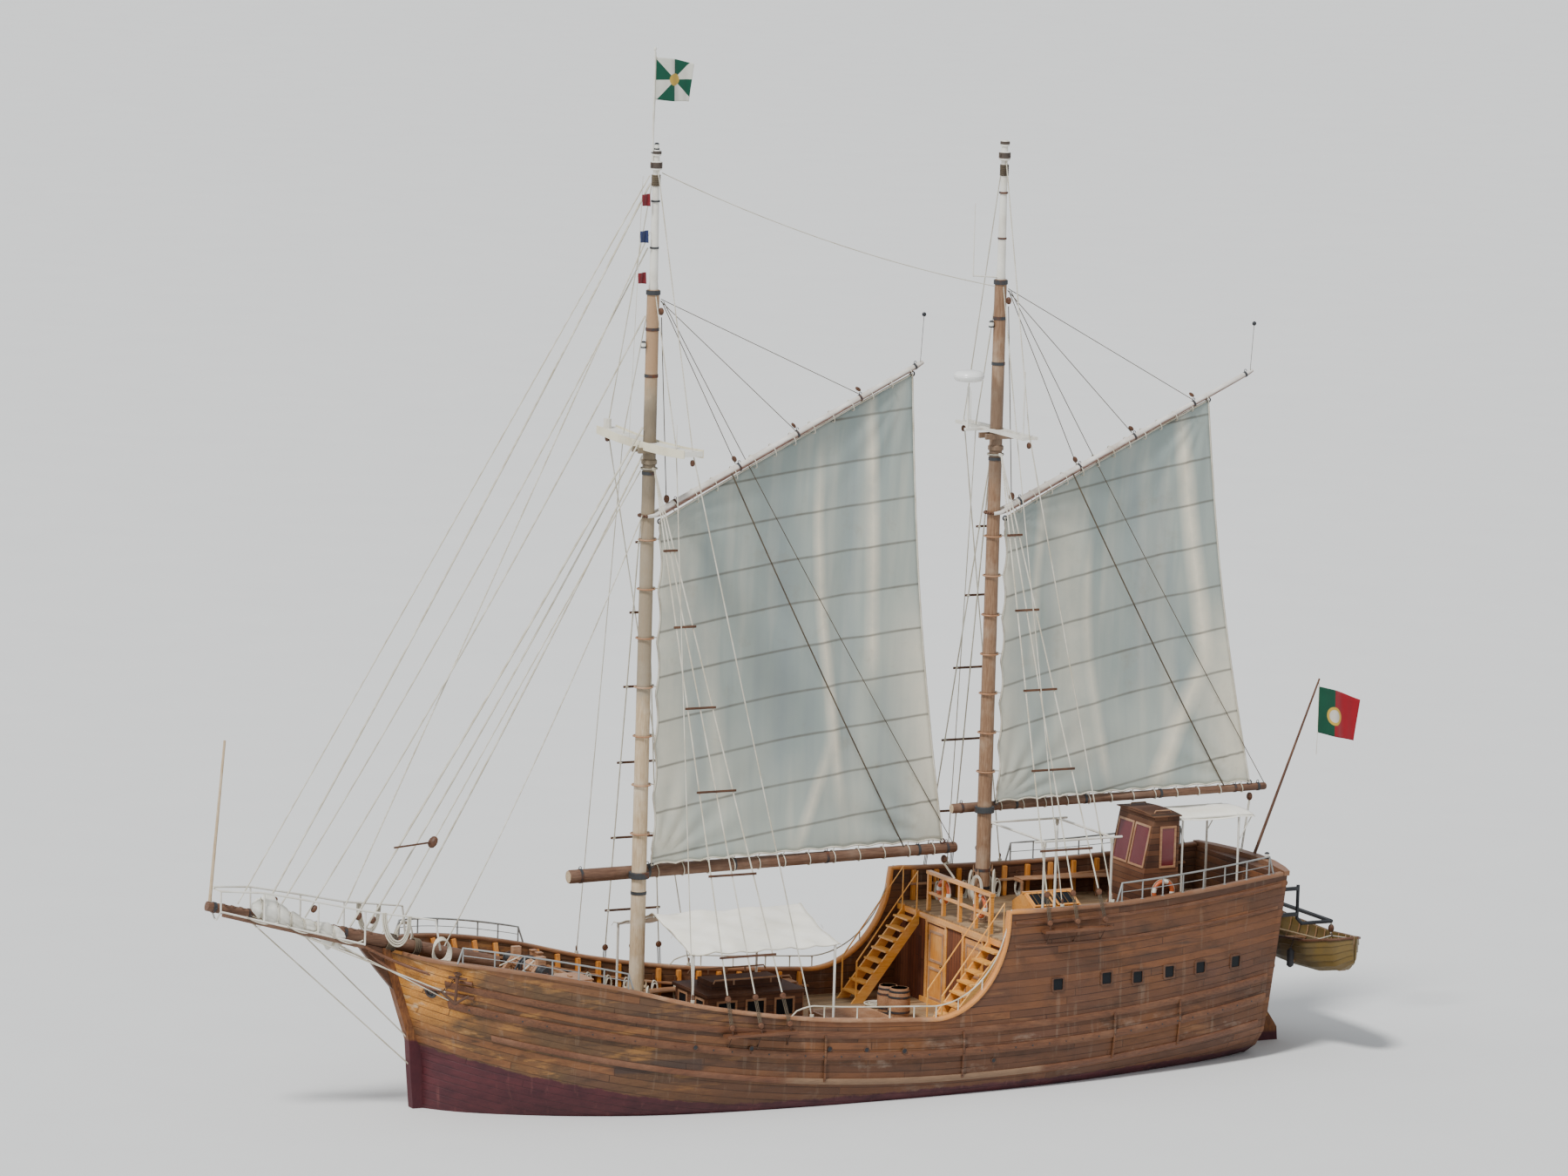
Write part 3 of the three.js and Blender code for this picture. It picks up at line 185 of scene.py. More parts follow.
def bowsprit_z(x):
    return BOWSPRIT_FOOT_Z + BOWSPRIT_RISE * (x - BOWSPRIT_FOOT_X)


def spread(low, high, count):
    return [low + (high - low) * i / (count - 1) for i in range(count)]


def around(count):
    """Angles of evenly spaced points on a circle."""
    return [2 * math.pi * i / count for i in range(count)]


# Materials
def srgb(red, green, blue):
    def linear(value):
        value /= 255
        return value / 12.92 if value <= 0.04045 else ((value + 0.055) / 1.055) ** 2.4
    return linear(red), linear(green), linear(blue), 1.0


# Sockets of the Mix node where it mixes colours
MIX_SHARE, MIX_A, MIX_B, MIX_RESULT = 0, 6, 7, 2


class Paint:
    """A material under construction. Its methods add nodes and return their output sockets."""

    def __init__(self, name, metallic=0.0, specular=0.5, transmission=0.0, sheen=0.0, coat=0.0):
        self.material = bpy.data.materials.new(name)
        self.material.use_nodes = True
        self.tree = self.material.node_tree
        self.tree.nodes.clear()
        output = self.node("ShaderNodeOutputMaterial")
        self.shader = self.node("ShaderNodeBsdfPrincipled")
        self.shader.inputs["Metallic"].default_value = metallic
        self.shader.inputs["Specular IOR Level"].default_value = specular
        self.shader.inputs["Transmission Weight"].default_value = transmission
        self.shader.inputs["IOR"].default_value = 1.45
        self.shader.inputs["Sheen Weight"].default_value = sheen
        self.shader.inputs["Coat Weight"].default_value = coat
        self.tree.links.new(self.shader.outputs[0], output.inputs["Surface"])
        self.at = self.node("ShaderNodeTexCoord").outputs["Object"]
        split = self.node("ShaderNodeSeparateXYZ")
        self.put(split.inputs[0], self.at)
        self.x, self.y, self.z = split.outputs

    def node(self, kind, **settings):
        made = self.tree.nodes.new(kind)
        for key, value in settings.items():
            setattr(made, key, value)
        return made

    def put(self, socket, value):
        if isinstance(value, bpy.types.NodeSocket):
            self.tree.links.new(value, socket)
        else:
            socket.default_value = value

    def times(self, a, b):
        return self.math("MULTIPLY", a, b)

    def plus(self, a, b):
        return self.math("ADD", a, b)

    def minus(self, a, b):
        return self.math("SUBTRACT", a, b)

    def math(self, operation, a, b=0.0, c=0.0):
        made = self.node("ShaderNodeMath", operation=operation)
        for socket, value in zip(made.inputs, (a, b, c)):
            self.put(socket, value)
        return made.outputs[0]

    def vector(self, x, y, z):
        made = self.node("ShaderNodeCombineXYZ")
        for socket, value in zip(made.inputs, (x, y, z)):
            self.put(socket, value)
        return made.outputs[0]

    def stretch(self, sx, sy, sz, at=None):
        made = self.node("ShaderNodeVectorMath", operation="MULTIPLY")
        self.put(made.inputs[0], at or self.at)
        made.inputs[1].default_value = (sx, sy, sz)
        return made.outputs[0]

    def noise(self, scale, detail=3.0, rough=0.55, at=None):
        made = self.node("ShaderNodeTexNoise")
        self.put(made.inputs["Vector"], at or self.at)
        self.put(made.inputs["Scale"], scale)
        self.put(made.inputs["Detail"], detail)
        self.put(made.inputs["Roughness"], rough)
        return made.outputs["Fac"]

    def random(self, at):
        made = self.node("ShaderNodeTexWhiteNoise", noise_dimensions="3D")
        self.put(made.inputs["Vector"], at)
        return made.outputs["Value"]

    def band(self, value, low, high, out_low=0.0, out_high=1.0):
        """value from low to high becomes out_low to out_high, held at both ends."""
        made = self.node("ShaderNodeMapRange", clamp=True)
        for socket, number in zip(made.inputs, (value, low, high, out_low, out_high)):
            self.put(socket, number)
        return made.outputs["Result"]

    def mix(self, share, a, b, how="MIX"):
        made = self.node("ShaderNodeMix", data_type="RGBA", blend_type=how, clamp_factor=True)
        self.put(made.inputs[MIX_SHARE], share)
        self.put(made.inputs[MIX_A], a)
        self.put(made.inputs[MIX_B], b)
        return made.outputs[MIX_RESULT]

    def coat(self, color, mask, start, full, share, shade):
        """color with shade laid over it: nothing of it where mask is at start, and share of it at full."""
        return self.mix(self.band(mask, start, full, 0.0, share), color, shade)

    def coats(self, color, rows):
        """Several coats, one over another. Each row holds coat's last five values."""
        for row in rows:
            color = self.coat(color, *row)
        return color

    def away(self, a, b):
        """The distance that two offsets at right angles make."""
        return self.math("SQRT", self.plus(self.times(a, a), self.times(b, b)))

    def tint(self, color, value, low, high):
        """color made darker or lighter, by a grey that runs from low to high with value."""
        return self.mix(1.0, color, self.gray(self.band(value, 0.0, 1.0, low, high)), "MULTIPLY")

    def gray(self, value):
        made = self.node("ShaderNodeCombineColor")
        for socket in made.inputs:
            self.put(socket, value)
        return made.outputs[0]

    def stripes(self, value, width, line):
        """(whole number of the strip, share in the strip, 1 near the line between two strips)."""
        scaled = self.math("DIVIDE", value, width)
        number = self.math("FLOOR", scaled)
        share = self.math("FRACT", scaled)
        off = self.math("ABSOLUTE", self.minus(share, 0.5))
        edge = line / width / 2
        near = self.band(off, 0.5 - 1.6 * edge, 0.5 - 0.4 * edge)
        return number, share, near

    def bump(self, height, strength, distance):
        made = self.node("ShaderNodeBump")
        made.inputs["Strength"].default_value = strength
        made.inputs["Distance"].default_value = distance
        self.put(made.inputs["Height"], height)
        return made.outputs[0]

    def finish(self, color, rough, normal=None, sheen_rough=None):
        self.put(self.shader.inputs["Base Color"], color)
        self.put(self.shader.inputs["Roughness"], rough)
        if normal is not None:
            self.put(self.shader.inputs["Normal"], normal)
        if sheen_rough is not None:
            self.shader.inputs["Sheen Roughness"].default_value = sheen_rough
        return self.material


def rise_node(paint):
    """plank_rise at the shaded point."""
    off = paint.plus(paint.x, -PLANK_LOWEST_X)
    square = paint.times(off, off)
    ahead = paint.math("GREATER_THAN", off, 0.0)
    return paint.times(square, paint.band(ahead, 0, 1, PLANK_CURVE_ABAFT, PLANK_CURVE_AHEAD))


def hull_planks(name):
    paint = Paint(name, specular=0.4)
    # Planks that follow the sheer, each in lengths that end in a butt
    level = paint.minus(paint.z, rise_node(paint))
    number, _, seam = paint.stripes(paint.plus(level, 4.0), 0.165, 0.017)
    shifted = paint.plus(paint.x, paint.times(paint.random(paint.vector(number, 3.0, 1.0)), 6.0))
    length, _, butt = paint.stripes(shifted, 5.2, 0.016)
    side = paint.math("SIGN", paint.y)
    own = paint.random(paint.vector(number, length, side))
    seams = paint.math("MAXIMUM", seam, butt)
    # Grain, streaks that run down, and large patches of wear
    grain = paint.noise(5.0, 5.0, 0.65, paint.stretch(0.7, 6.0, 9.0))
    streak = paint.noise(1.0, 4.0, 0.6, paint.stretch(5.5, 5.5, 0.55))
    patch = paint.noise(0.42, 4.0, 0.6)
    blotch = paint.noise(1.7, 5.0, 0.62, paint.stretch(1.0, 1.0, 1.9))
    worn = paint.noise(1.0, 4.0, 0.62, paint.stretch(0.45, 1.0, 4.2))
    # Warm varnish aft and amidships, dull olive brown at the bow
    bow = paint.band(paint.x, 0.5, 6.5)
    bow = paint.times(bow, paint.band(patch, 0.25, 0.6, 0.55, 1.0))
    base = paint.mix(bow, srgb(104, 68, 46), srgb(99, 75, 51))
    tone = paint.noise(0.55, 3.0, 0.6, paint.stretch(0.8, 1.0, 1.3))
    base = paint.coats(base, [
        (tone, 0.52, 0.7, 0.55, srgb(134, 84, 42)),
        (tone, 0.46, 0.3, 0.5, srgb(96, 66, 56)),
        (own, 0.62, 1.0, 0.6, srgb(138, 87, 52)),
        (own, 0.3, 0.0, 0.65, srgb(76, 50, 37)),
        (worn, 0.54, 0.72, 0.75, srgb(68, 52, 42)),
        (worn, 0.4, 0.26, 0.6, srgb(158, 112, 72)),
        (blotch, 0.52, 0.74, 0.6, srgb(66, 52, 42)),
        (patch, 0.6, 0.8, 0.45, srgb(148, 98, 60)),
        (streak, 0.58, 0.78, 0.45, srgb(150, 130, 110)),
    ])
    # Bow planks worn in long ochre and near black runs
    scar = paint.noise(1.5, 5.0, 0.66, paint.stretch(0.55, 1.0, 3.0))
    base = paint.mix(paint.times(bow, paint.band(scar, 0.55, 0.68, 0.0, 0.85)), base, srgb(172, 122, 66))
    base = paint.mix(paint.times(bow, paint.band(scar, 0.42, 0.3, 0.0, 0.8)), base, srgb(54, 44, 36))
    # Dried spray, low on the topsides
    spray = paint.times(paint.band(paint.noise(0.8, 5.0, 0.7, paint.stretch(1.0, 1.0, 2.4)), 0.56, 0.72),
                        paint.band(paint.z, 1.9, 0.9, 0.0, 0.55))
    base = paint.mix(paint.times(spray, paint.band(paint.x, 3.0, 0.0)), base, srgb(176, 160, 142))
    base = paint.tint(base, grain, 0.7, 1.2)
    # A bright varnished patch at the stem, its edge worn ragged
    edge = paint.plus(paint.x, paint.times(paint.band(blotch, 0.2, 0.8), 1.1))
    lit = paint.times(paint.band(edge, 9.25, 9.85), paint.band(paint.z, 1.7, 2.4))
    lit = paint.times(lit, paint.band(paint.z, 3.45, 3.15))
    glow = paint.mix(paint.band(grain, 0.3, 0.7), srgb(190, 112, 34), srgb(218, 160, 78))
    glow = paint.coats(glow, [
        (scar, 0.56, 0.7, 0.8, srgb(214, 200, 168)),
        (scar, 0.44, 0.32, 0.6, srgb(120, 76, 36)),
    ])
    base = paint.mix(lit, base, glow)
    # Darkened lower planks, and a darker repair under the fore shrouds
    lower_darkening = paint.plus(paint.z, paint.times(patch, 0.5))
    base = paint.coat(base, lower_darkening, 1.25, 0.55, 0.55, srgb(88, 58, 42))
    repair = paint.times(paint.band(paint.x, 4.0, 4.1), paint.band(paint.x, 6.05, 5.95))
    repair = paint.times(repair, paint.band(paint.z, 0.97, 1.02))
    repair = paint.times(repair, paint.band(paint.z, 1.3, 1.24))
    base = paint.mix(paint.times(repair, 0.75), base, srgb(62, 50, 46))
    # Seams are dark where the pitch stands open, and nearly gone where the varnish has filled them
    open_seam = paint.band(paint.noise(0.7, 4.0, 0.6, paint.stretch(0.5, 1.0, 2.0)), 0.4, 0.66, 0.3, 0.85)
    base = paint.mix(paint.times(seams, open_seam), base, srgb(48, 30, 21))
    # Maroon bottom paint, its top edge rising towards the stem
    ahead = paint.math("MAXIMUM", paint.minus(paint.x, 3.4), 0.0)
    line = paint.plus(paint.times(ahead, 0.12), paint.times(paint.times(ahead, ahead), 0.013))
    ragged = paint.times(paint.minus(paint.noise(3.0, 5.0, 0.7), 0.5), 0.22)
    below = paint.minus(paint.plus(line, paint.plus(ragged, 0.2)), paint.z)
    maroon = paint.mix(paint.band(blotch, 0.35, 0.7), srgb(84, 38, 43), srgb(62, 32, 38))
    maroon = paint.coat(maroon, streak, 0.6, 0.8, 0.45, srgb(138, 84, 78))
    maroon = paint.mix(paint.times(seams, 0.35), maroon, srgb(40, 20, 22))
    color = paint.mix(paint.band(below, -0.015, 0.025), base, maroon)
    height = paint.minus(paint.times(grain, 0.25), seams)
    rough = paint.band(blotch, 0.3, 0.7, 0.42, 0.68)
    return paint.finish(color, rough, paint.bump(height, 0.6, 0.012))


GRAIN = {"x": (0.6, 7.0, 7.0), "y": (7.0, 0.6, 7.0), "z": (7.0, 7.0, 0.6)}


def wood(name, dark, mid, light, grain_along="x", rough=(0.4, 0.6), wear=0.35, specular=0.4, coat=0.0,
         zones=(), zones_along="z"):
    """Sawn or turned timber whose grain runs along one axis, bleached in patches.

    Each zone is (low, high, colour, share). Between those places on an axis the wood turns
    towards that colour.
    """
    paint = Paint(name, specular=specular, coat=coat)
    grain = paint.noise(5.0, 6.0, 0.65, paint.stretch(*GRAIN[grain_along]))
    patch = paint.noise(1.3, 4.0, 0.6)
    fine = paint.noise(22.0, 3.0, 0.6, paint.stretch(*GRAIN[grain_along]))
    color = paint.mix(paint.band(grain, 0.32, 0.68), dark, mid)
    color = paint.coat(color, patch, 0.5, 0.75, wear, light)
    ragged = paint.math("MULTIPLY_ADD", patch, 1.2, {"x": paint.x, "z": paint.z}[zones_along])
    for low, high, shade, share in zones:
        inside = paint.times(paint.band(ragged, low + 0.4, low + 0.9),
                             paint.band(ragged, high + 0.9, high + 0.4))
        inside = paint.times(inside, paint.band(grain, 0.25, 0.75, share * 0.6, share))
        color = paint.mix(inside, color, shade)
    color = paint.tint(color, fine, 0.82, 1.16)
    height = paint.plus(grain, paint.times(fine, 0.4))
    return paint.finish(color, paint.band(patch, 0.3, 0.7, *rough), paint.bump(height, 0.35, 0.004))


def planked(name, dark, mid, light, across="y", width=0.14, caulk=srgb(38, 30, 25), along="x"):
    """Boards laid side by side with dark seams, used for decks and panels."""
    paint = Paint(name, specular=0.3)
    axis = {"x": paint.x, "y": paint.y, "z": paint.z}
    number, _, seam = paint.stripes(axis[across], width, 0.012)
    shifted = paint.plus(axis[along], paint.times(paint.random(paint.vector(number, 1.0, 5.0)), 4.0))
    length, _, butt = paint.stripes(shifted, 3.4, 0.012)
    own = paint.random(paint.vector(number, length, 2.0))
    grain = paint.noise(5.0, 5.0, 0.65, paint.stretch(*GRAIN[along]))
    patch = paint.noise(0.9, 4.0, 0.6)
    color = paint.mix(own, dark, mid)
    color = paint.coat(color, patch, 0.45, 0.75, 0.5, light)
    color = paint.tint(color, grain, 0.78, 1.18)
    lines = paint.math("MAXIMUM", seam, paint.times(butt, 0.8))
    color = paint.mix(paint.times(lines, 0.85), color, caulk)
    height = paint.minus(paint.times(grain, 0.3), lines)
    return paint.finish(color, paint.band(patch, 0.3, 0.7, 0.55, 0.8), paint.bump(height, 0.5, 0.006))


def canvas(name, rig):
    """Sailcloth sewn in panels at right angles to the leech, with painted highlights where its folds catch
    the light and painted shade in their hollows.
    """
    paint = Paint(name, specular=0.2, sheen=0.15)
    tack, clew, peak, throat = rig.tack, rig.clew, rig.peak, rig.throat
    leech = (peak - clew).normalized()
    along = paint.plus(paint.times(paint.x, leech.x), paint.times(paint.z, leech.z))
    number, _, seam = paint.stripes(paint.plus(along, 0.37), 0.98, 0.05)
    # Shares of the way from luff to leech and from foot to head
    leech_x = paint.math("MULTIPLY_ADD", paint.z, leech.x / leech.z, clew.x - clew.z * leech.x / leech.z)
    across = paint.math("DIVIDE", paint.minus(tack.x, paint.x), paint.minus(tack.x, leech_x))
    tall = paint.math("MULTIPLY_ADD", across, peak.z - throat.z, throat.z - tack.z)
    up = paint.math("DIVIDE", paint.minus(paint.z, tack.z), tall)
    own = paint.random(paint.vector(number, 4.0, 2.0))
    cloud = paint.noise(0.33, 4.0, 0.6, paint.stretch(1.0, 1.0, 0.55))
    # Long upright streaks of painted highlight and painted shade, where the cloth drapes
    drape_light_and_shade = paint.noise(1.0, 3.0, 0.5, paint.stretch(1.9, 1.0, 0.16))
    stain = paint.noise(1.6, 6.0, 0.68)
    fine = paint.noise(160.0, 2.0, 0.5)
    color = paint.mix(paint.band(cloud, 0.36, 0.62), srgb(150, 160, 154), srgb(172, 177, 166))
    color = paint.coats(color, [
        (up, 0.25, 0.95, 0.5, srgb(132, 149, 148)),
        (drape_light_and_shade, 0.5, 0.72, 0.45, srgb(206, 201, 184)),
        (drape_light_and_shade, 0.46, 0.3, 0.45, srgb(138, 148, 148)),
    ])
    # Each fold paints a highlight along its ridge, or painted shade along its hollow where light is below 0
    for fold in FOLDS[rig.label]:
        wave = paint.math("SINE", paint.math("MULTIPLY_ADD", up, fold.rate, fold.phase))
        middle = paint.math("MULTIPLY_ADD", up, fold.lean, fold.middle)
        line = paint.math("MULTIPLY_ADD", wave, fold.wave, middle)
        off = paint.math("ABSOLUTE", paint.minus(across, line))
        lit = paint.times(paint.band(off, 0.0, fold.width, abs(fold.light), 0.0),
                          paint.times(paint.band(up, fold.low - 0.06, fold.low + 0.06),
                                      paint.band(up, fold.high + 0.08, fold.high - 0.08)))
        lit = paint.times(lit, paint.band(stain, 0.3, 0.6, 0.65, 1.0))
        color = paint.mix(lit, color, srgb(236, 226, 202) if fold.light > 0 else srgb(128, 140, 144))
    color = paint.tint(color, own, 0.95, 1.04)
    color = paint.coat(color, stain, 0.58, 0.8, 0.35, srgb(140, 128, 104))
    color = paint.mix(paint.times(seam, paint.band(stain, 0.2, 0.7, 0.45, 0.8)), color, srgb(98, 94, 84))
    color = paint.tint(color, fine, 0.97, 1.03)
    height = paint.plus(paint.times(seam, 1.0), paint.times(fine, 0.15))
    return paint.finish(color, 0.88, paint.bump(height, 0.4, 0.006), sheen_rough=0.6)


def gaff_paint_and_shade(name, rig):
    """Chalky white on top of the gaff, and painted reddish-brown shade on its underside."""
    paint = Paint(name, specular=0.35)
    throat, peak = rig.throat_end, rig.peak_end
    slope = (peak.z - throat.z) / (peak.x - throat.x)
    level = paint.minus(paint.z, paint.math("MULTIPLY_ADD", paint.x, slope, throat.z - throat.x * slope))
    grain = paint.noise(5.0, 5.0, 0.65, paint.stretch(0.8, 7.0, 5.0))
    patch = paint.noise(1.6, 4.0, 0.6)
    # Painted shade: the reddish brown of the underside stands for the shade below the gaff.
    under = paint.mix(paint.band(grain, 0.35, 0.65), srgb(112, 82, 70), srgb(150, 118, 104))
    upper = paint.mix(paint.band(patch, 0.4, 0.7), srgb(226, 222, 214), srgb(184, 172, 158))
    edge = paint.math("MULTIPLY_ADD", paint.minus(patch, 0.5), 0.08, level)
    color = paint.tint(paint.mix(paint.band(edge, -0.045, 0.005), under, upper), grain, 0.85, 1.12)
    return paint.finish(color, paint.band(patch, 0.3, 0.7, 0.5, 0.7), paint.bump(grain, 0.35, 0.004))


def cloth(name, main, shade, dirt=srgb(176, 166, 144)):
    """Woven cloth with painted shade in its soft folds, and a few stains."""
    paint = Paint(name, specular=0.2, sheen=0.2)
    fold = paint.noise(1.6, 4.0, 0.55)
    fine = paint.noise(240.0, 2.0, 0.5)
    spots = paint.noise(5.0, 5.0, 0.65)
    # Painted shade of soft folds: the cloth runs from main to shade with the fold noise
    color = paint.mix(paint.band(fold, 0.35, 0.7), main, shade)
    color = paint.coat(color, spots, 0.6, 0.85, 0.35, dirt)
    color = paint.tint(color, fine, 0.94, 1.04)
    return paint.finish(color, 0.86, paint.bump(fine, 0.3, 0.002), sheen_rough=0.5)


def rope(name, main, shade):
    """Laid rope: twisted strands at a scale of a few centimetres."""
    paint = Paint(name, specular=0.2, sheen=0.1)
    turn = paint.plus(paint.times(paint.z, 90.0), paint.times(paint.plus(paint.x, paint.y), 130.0))
    strand = paint.math("ABSOLUTE", paint.math("SINE", turn))
    wear = paint.noise(2.0, 4.0, 0.6)
    color = paint.mix(paint.band(wear, 0.35, 0.7), main, shade)
    # Painted shade in the grooves between the strands
    color = paint.tint(color, strand, 0.78, 1.08)
    return paint.finish(color, 0.85, paint.bump(strand, 0.5, 0.003), sheen_rough=0.5)


def coated(name, main, worn, share=0.5, rough=(0.35, 0.55), specular=0.5, metallic=0.0):
    """Paint with chalky patches and small chips."""
    paint = Paint(name, specular=specular, metallic=metallic)
    cloud = paint.noise(1.4, 4.0, 0.6)
    chip = paint.noise(9.0, 6.0, 0.7)
    color = paint.mix(paint.band(cloud, 0.45, 0.75, 0.0, share), main, worn)
    color = paint.coat(color, chip, 0.62, 0.72, share, worn)
    color = paint.tint(color, paint.noise(30.0), 0.94, 1.05)
    return paint.finish(color, paint.band(cloud, 0.3, 0.7, *rough), paint.bump(chip, 0.25, 0.003))


def rusty_steel(name):
    paint = Paint(name, specular=0.5, metallic=0.45)
    rust = paint.noise(3.5, 6.0, 0.7)
    fine = paint.noise(40.0, 3.0, 0.6)
    color = paint.mix(paint.band(rust, 0.5, 0.66), srgb(66, 68, 70), srgb(112, 68, 44))
    color = paint.tint(color, fine, 0.8, 1.15)
    return paint.finish(color, paint.band(rust, 0.4, 0.7, 0.45, 0.8), paint.bump(fine, 0.4, 0.003))


def glass(name, color, rough=0.08, transmission=0.0, specular=0.6):
    paint = Paint(name, specular=specular, transmission=transmission)
    smear = paint.noise(4.0, 4.0, 0.6)
    shade = paint.tint(color, smear, 0.85, 1.1)
    return paint.finish(shade, paint.band(smear, 0.3, 0.8, rough, rough + 0.12))


def bunting(paint, color, away, discs, fold, low, high):
    """The end of a flag's paint. discs: (outer edge, inner edge, colour) rows around its middle."""
    for outer, inner, shade in discs:
        color = paint.mix(paint.band(away, outer, inner), color, shade)
    # Painted light and shade of the cloth's folds
    color = paint.tint(color, fold, low, high)
    fine = paint.noise(200.0, 2.0, 0.5)
    return paint.finish(color, 0.82, paint.bump(fine, 0.3, 0.002), sheen_rough=0.5)


ENSIGN_HOIST, ENSIGN_SEAM_X, ENSIGN_MIDDLE_Z, ENSIGN_DROOP = (-12.68, 0, 8.02), -13.11, 7.42, 0.24
MASTHEAD_FLAG_HOIST, MASTHEAD_FLAG_WIDE, MASTHEAD_FLAG_MIDDLE_Z = (FORE_X + 0.065, 0, 22.42), 0.9, 21.94


def ensign_cloth(name):
    """Green by the hoist and red by the fly, with a plain disc on the line between them."""
    paint = Paint(name, specular=0.2, sheen=0.2)
    drop = paint.times(paint.minus(ENSIGN_HOIST[0], paint.x), ENSIGN_DROOP)
    height = paint.minus(paint.plus(paint.z, drop), ENSIGN_MIDDLE_Z)
    across = paint.minus(paint.x, ENSIGN_SEAM_X)
    away = paint.away(across, height)
    fold = paint.noise(3.0, 3.0, 0.5)
    color = paint.mix(paint.math("GREATER_THAN", across, 0.0), srgb(152, 26, 38), srgb(18, 76, 54))
    discs = [(0.215, 0.2, srgb(206, 170, 66)), (0.15, 0.135, srgb(214, 206, 192))]
    return bunting(paint, color, away, discs, fold, 0.8, 1.1)


def masthead_cloth(name):
    """Green and white in eight rays around a plain disc."""
    paint = Paint(name, specular=0.2, sheen=0.2)
    across = paint.minus(paint.x, MASTHEAD_FLAG_HOIST[0] - MASTHEAD_FLAG_WIDE / 2)
    height = paint.minus(paint.z, MASTHEAD_FLAG_MIDDLE_Z)
    turn = paint.math("DIVIDE", paint.math("ARCTAN2", height, across), math.pi / 4)
    ray = paint.math("GREATER_THAN", paint.math("FRACT", paint.times(paint.plus(turn, 8.0), 0.5)), 0.5)
    away = paint.away(across, height)
    color = paint.mix(ray, srgb(18, 80, 60), srgb(214, 212, 200))
    color = paint.mix(paint.band(away, 0.14, 0.12), color, srgb(190, 158, 70))
    return bunting(paint, color, away, [], paint.noise(3.0), 0.82, 1.08)


def backbone_paint(name):
    """Keel and stem timber: bottom paint to the line on the planking, oiled wood above it."""
    paint = Paint(name, specular=0.35)
    cloud = paint.noise(1.2, 4.0, 0.6)
    grain = paint.noise(5.0, 5.0, 0.65, paint.stretch(4.0, 7.0, 1.2))
    wood_color = paint.mix(paint.band(grain, 0.35, 0.65), srgb(96, 60, 38), srgb(136, 88, 50))
    maroon = paint.mix(paint.band(cloud, 0.35, 0.7), srgb(86, 37, 42), srgb(66, 31, 38))
    top = paint.band(paint.x, 3.4, 9.6, 0.2, 1.5)
    color = paint.mix(paint.band(paint.minus(top, paint.z), -0.03, 0.03), wood_color, maroon)
    color = paint.tint(color, grain, 0.85, 1.12)
    return paint.finish(color, paint.band(cloud, 0.3, 0.7, 0.5, 0.75), paint.bump(grain, 0.4, 0.006))


PLANKS = hull_planks("hull_planks")
STEM_PAINT = backbone_paint("stem_and_keel")
ORANGE = wood("orange_varnish", srgb(206, 130, 52), srgb(234, 166, 78), srgb(242, 206, 148), "x",
              rough=(0.25, 0.45), wear=0.3, specular=0.5, coat=0.3)
ORANGE_UP = wood("orange_varnish_upright", srgb(198, 118, 44), srgb(228, 154, 68), srgb(238, 198, 136), "z",
                 rough=(0.25, 0.45), wear=0.3, specular=0.5, coat=0.3)
RAIL_WOOD = wood("rail_wood", srgb(144, 100, 70), srgb(176, 134, 100), srgb(204, 178, 150), "x",
                 rough=(0.35, 0.55), wear=0.6)
CAP_WOOD = wood("cap_rail_wood", srgb(140, 94, 64), srgb(168, 124, 90), srgb(198, 170, 140),
                "x", rough=(0.35, 0.55), wear=0.55, zones_along="x",
                zones=((-16.0, -4.6, srgb(104, 70, 50), 0.75), (-3.9, -1.4, srgb(230, 150, 66), 0.85),
                       (5.4, 14.0, srgb(100, 66, 46), 0.7)))
LOW_WALE_WOOD = wood("low_wale_wood", srgb(92, 60, 44), srgb(122, 80, 56), srgb(150, 112, 86), "x", wear=0.4,
                     zones=((-4.2, 2.0, srgb(160, 138, 110), 0.5),), zones_along="x")
WALE_WOOD = wood("wale_wood", srgb(86, 56, 40), srgb(120, 78, 52), srgb(150, 112, 84), "x", wear=0.4)
DARK = wood("dark_wood", srgb(64, 42, 30), srgb(104, 68, 46), srgb(132, 100, 78), "x")
DARK_UP = wood("dark_wood_upright", srgb(64, 42, 30), srgb(104, 68, 46), srgb(132, 100, 78), "z")
BOOM_WOOD = wood("boom_wood", srgb(84, 58, 44), srgb(122, 90, 70), srgb(156, 132, 112),
                 "x", rough=(0.5, 0.75))
PALE = wood("pale_spar", srgb(164, 138, 104), srgb(200, 176, 140), srgb(222, 208, 184),
            "x", rough=(0.5, 0.7), wear=0.5)
FORE_MAST_WOOD = wood("fore_mast_wood", srgb(172, 146, 112), srgb(206, 184, 152), srgb(222, 210, 190), "z",
                      rough=(0.45, 0.65), wear=0.55,
                      zones=((8.6, 15.3, srgb(124, 114, 98), 0.8), (12.7, 14.9, srgb(92, 82, 68), 0.6),
                             (15.3, 18.0, srgb(158, 118, 84), 0.85)))
MAIN_MAST_WOOD = wood("main_mast_wood", srgb(116, 84, 60), srgb(154, 122, 94), srgb(196, 178, 154), "z",
                      rough=(0.4, 0.6), wear=0.45, zones=((13.0, 15.2, srgb(98, 86, 74), 0.6),))
HEAD_IRON = coated("masthead_iron", srgb(74, 66, 60), srgb(112, 92, 76), 0.6, (0.5, 0.75), 0.3)
SPREADER_PAINT = coated("spreader_paint", srgb(232, 224, 196), srgb(182, 166, 132), 0.5)
DECK = planked("deck_planks", srgb(126, 98, 68), srgb(166, 134, 98), srgb(188, 166, 134))
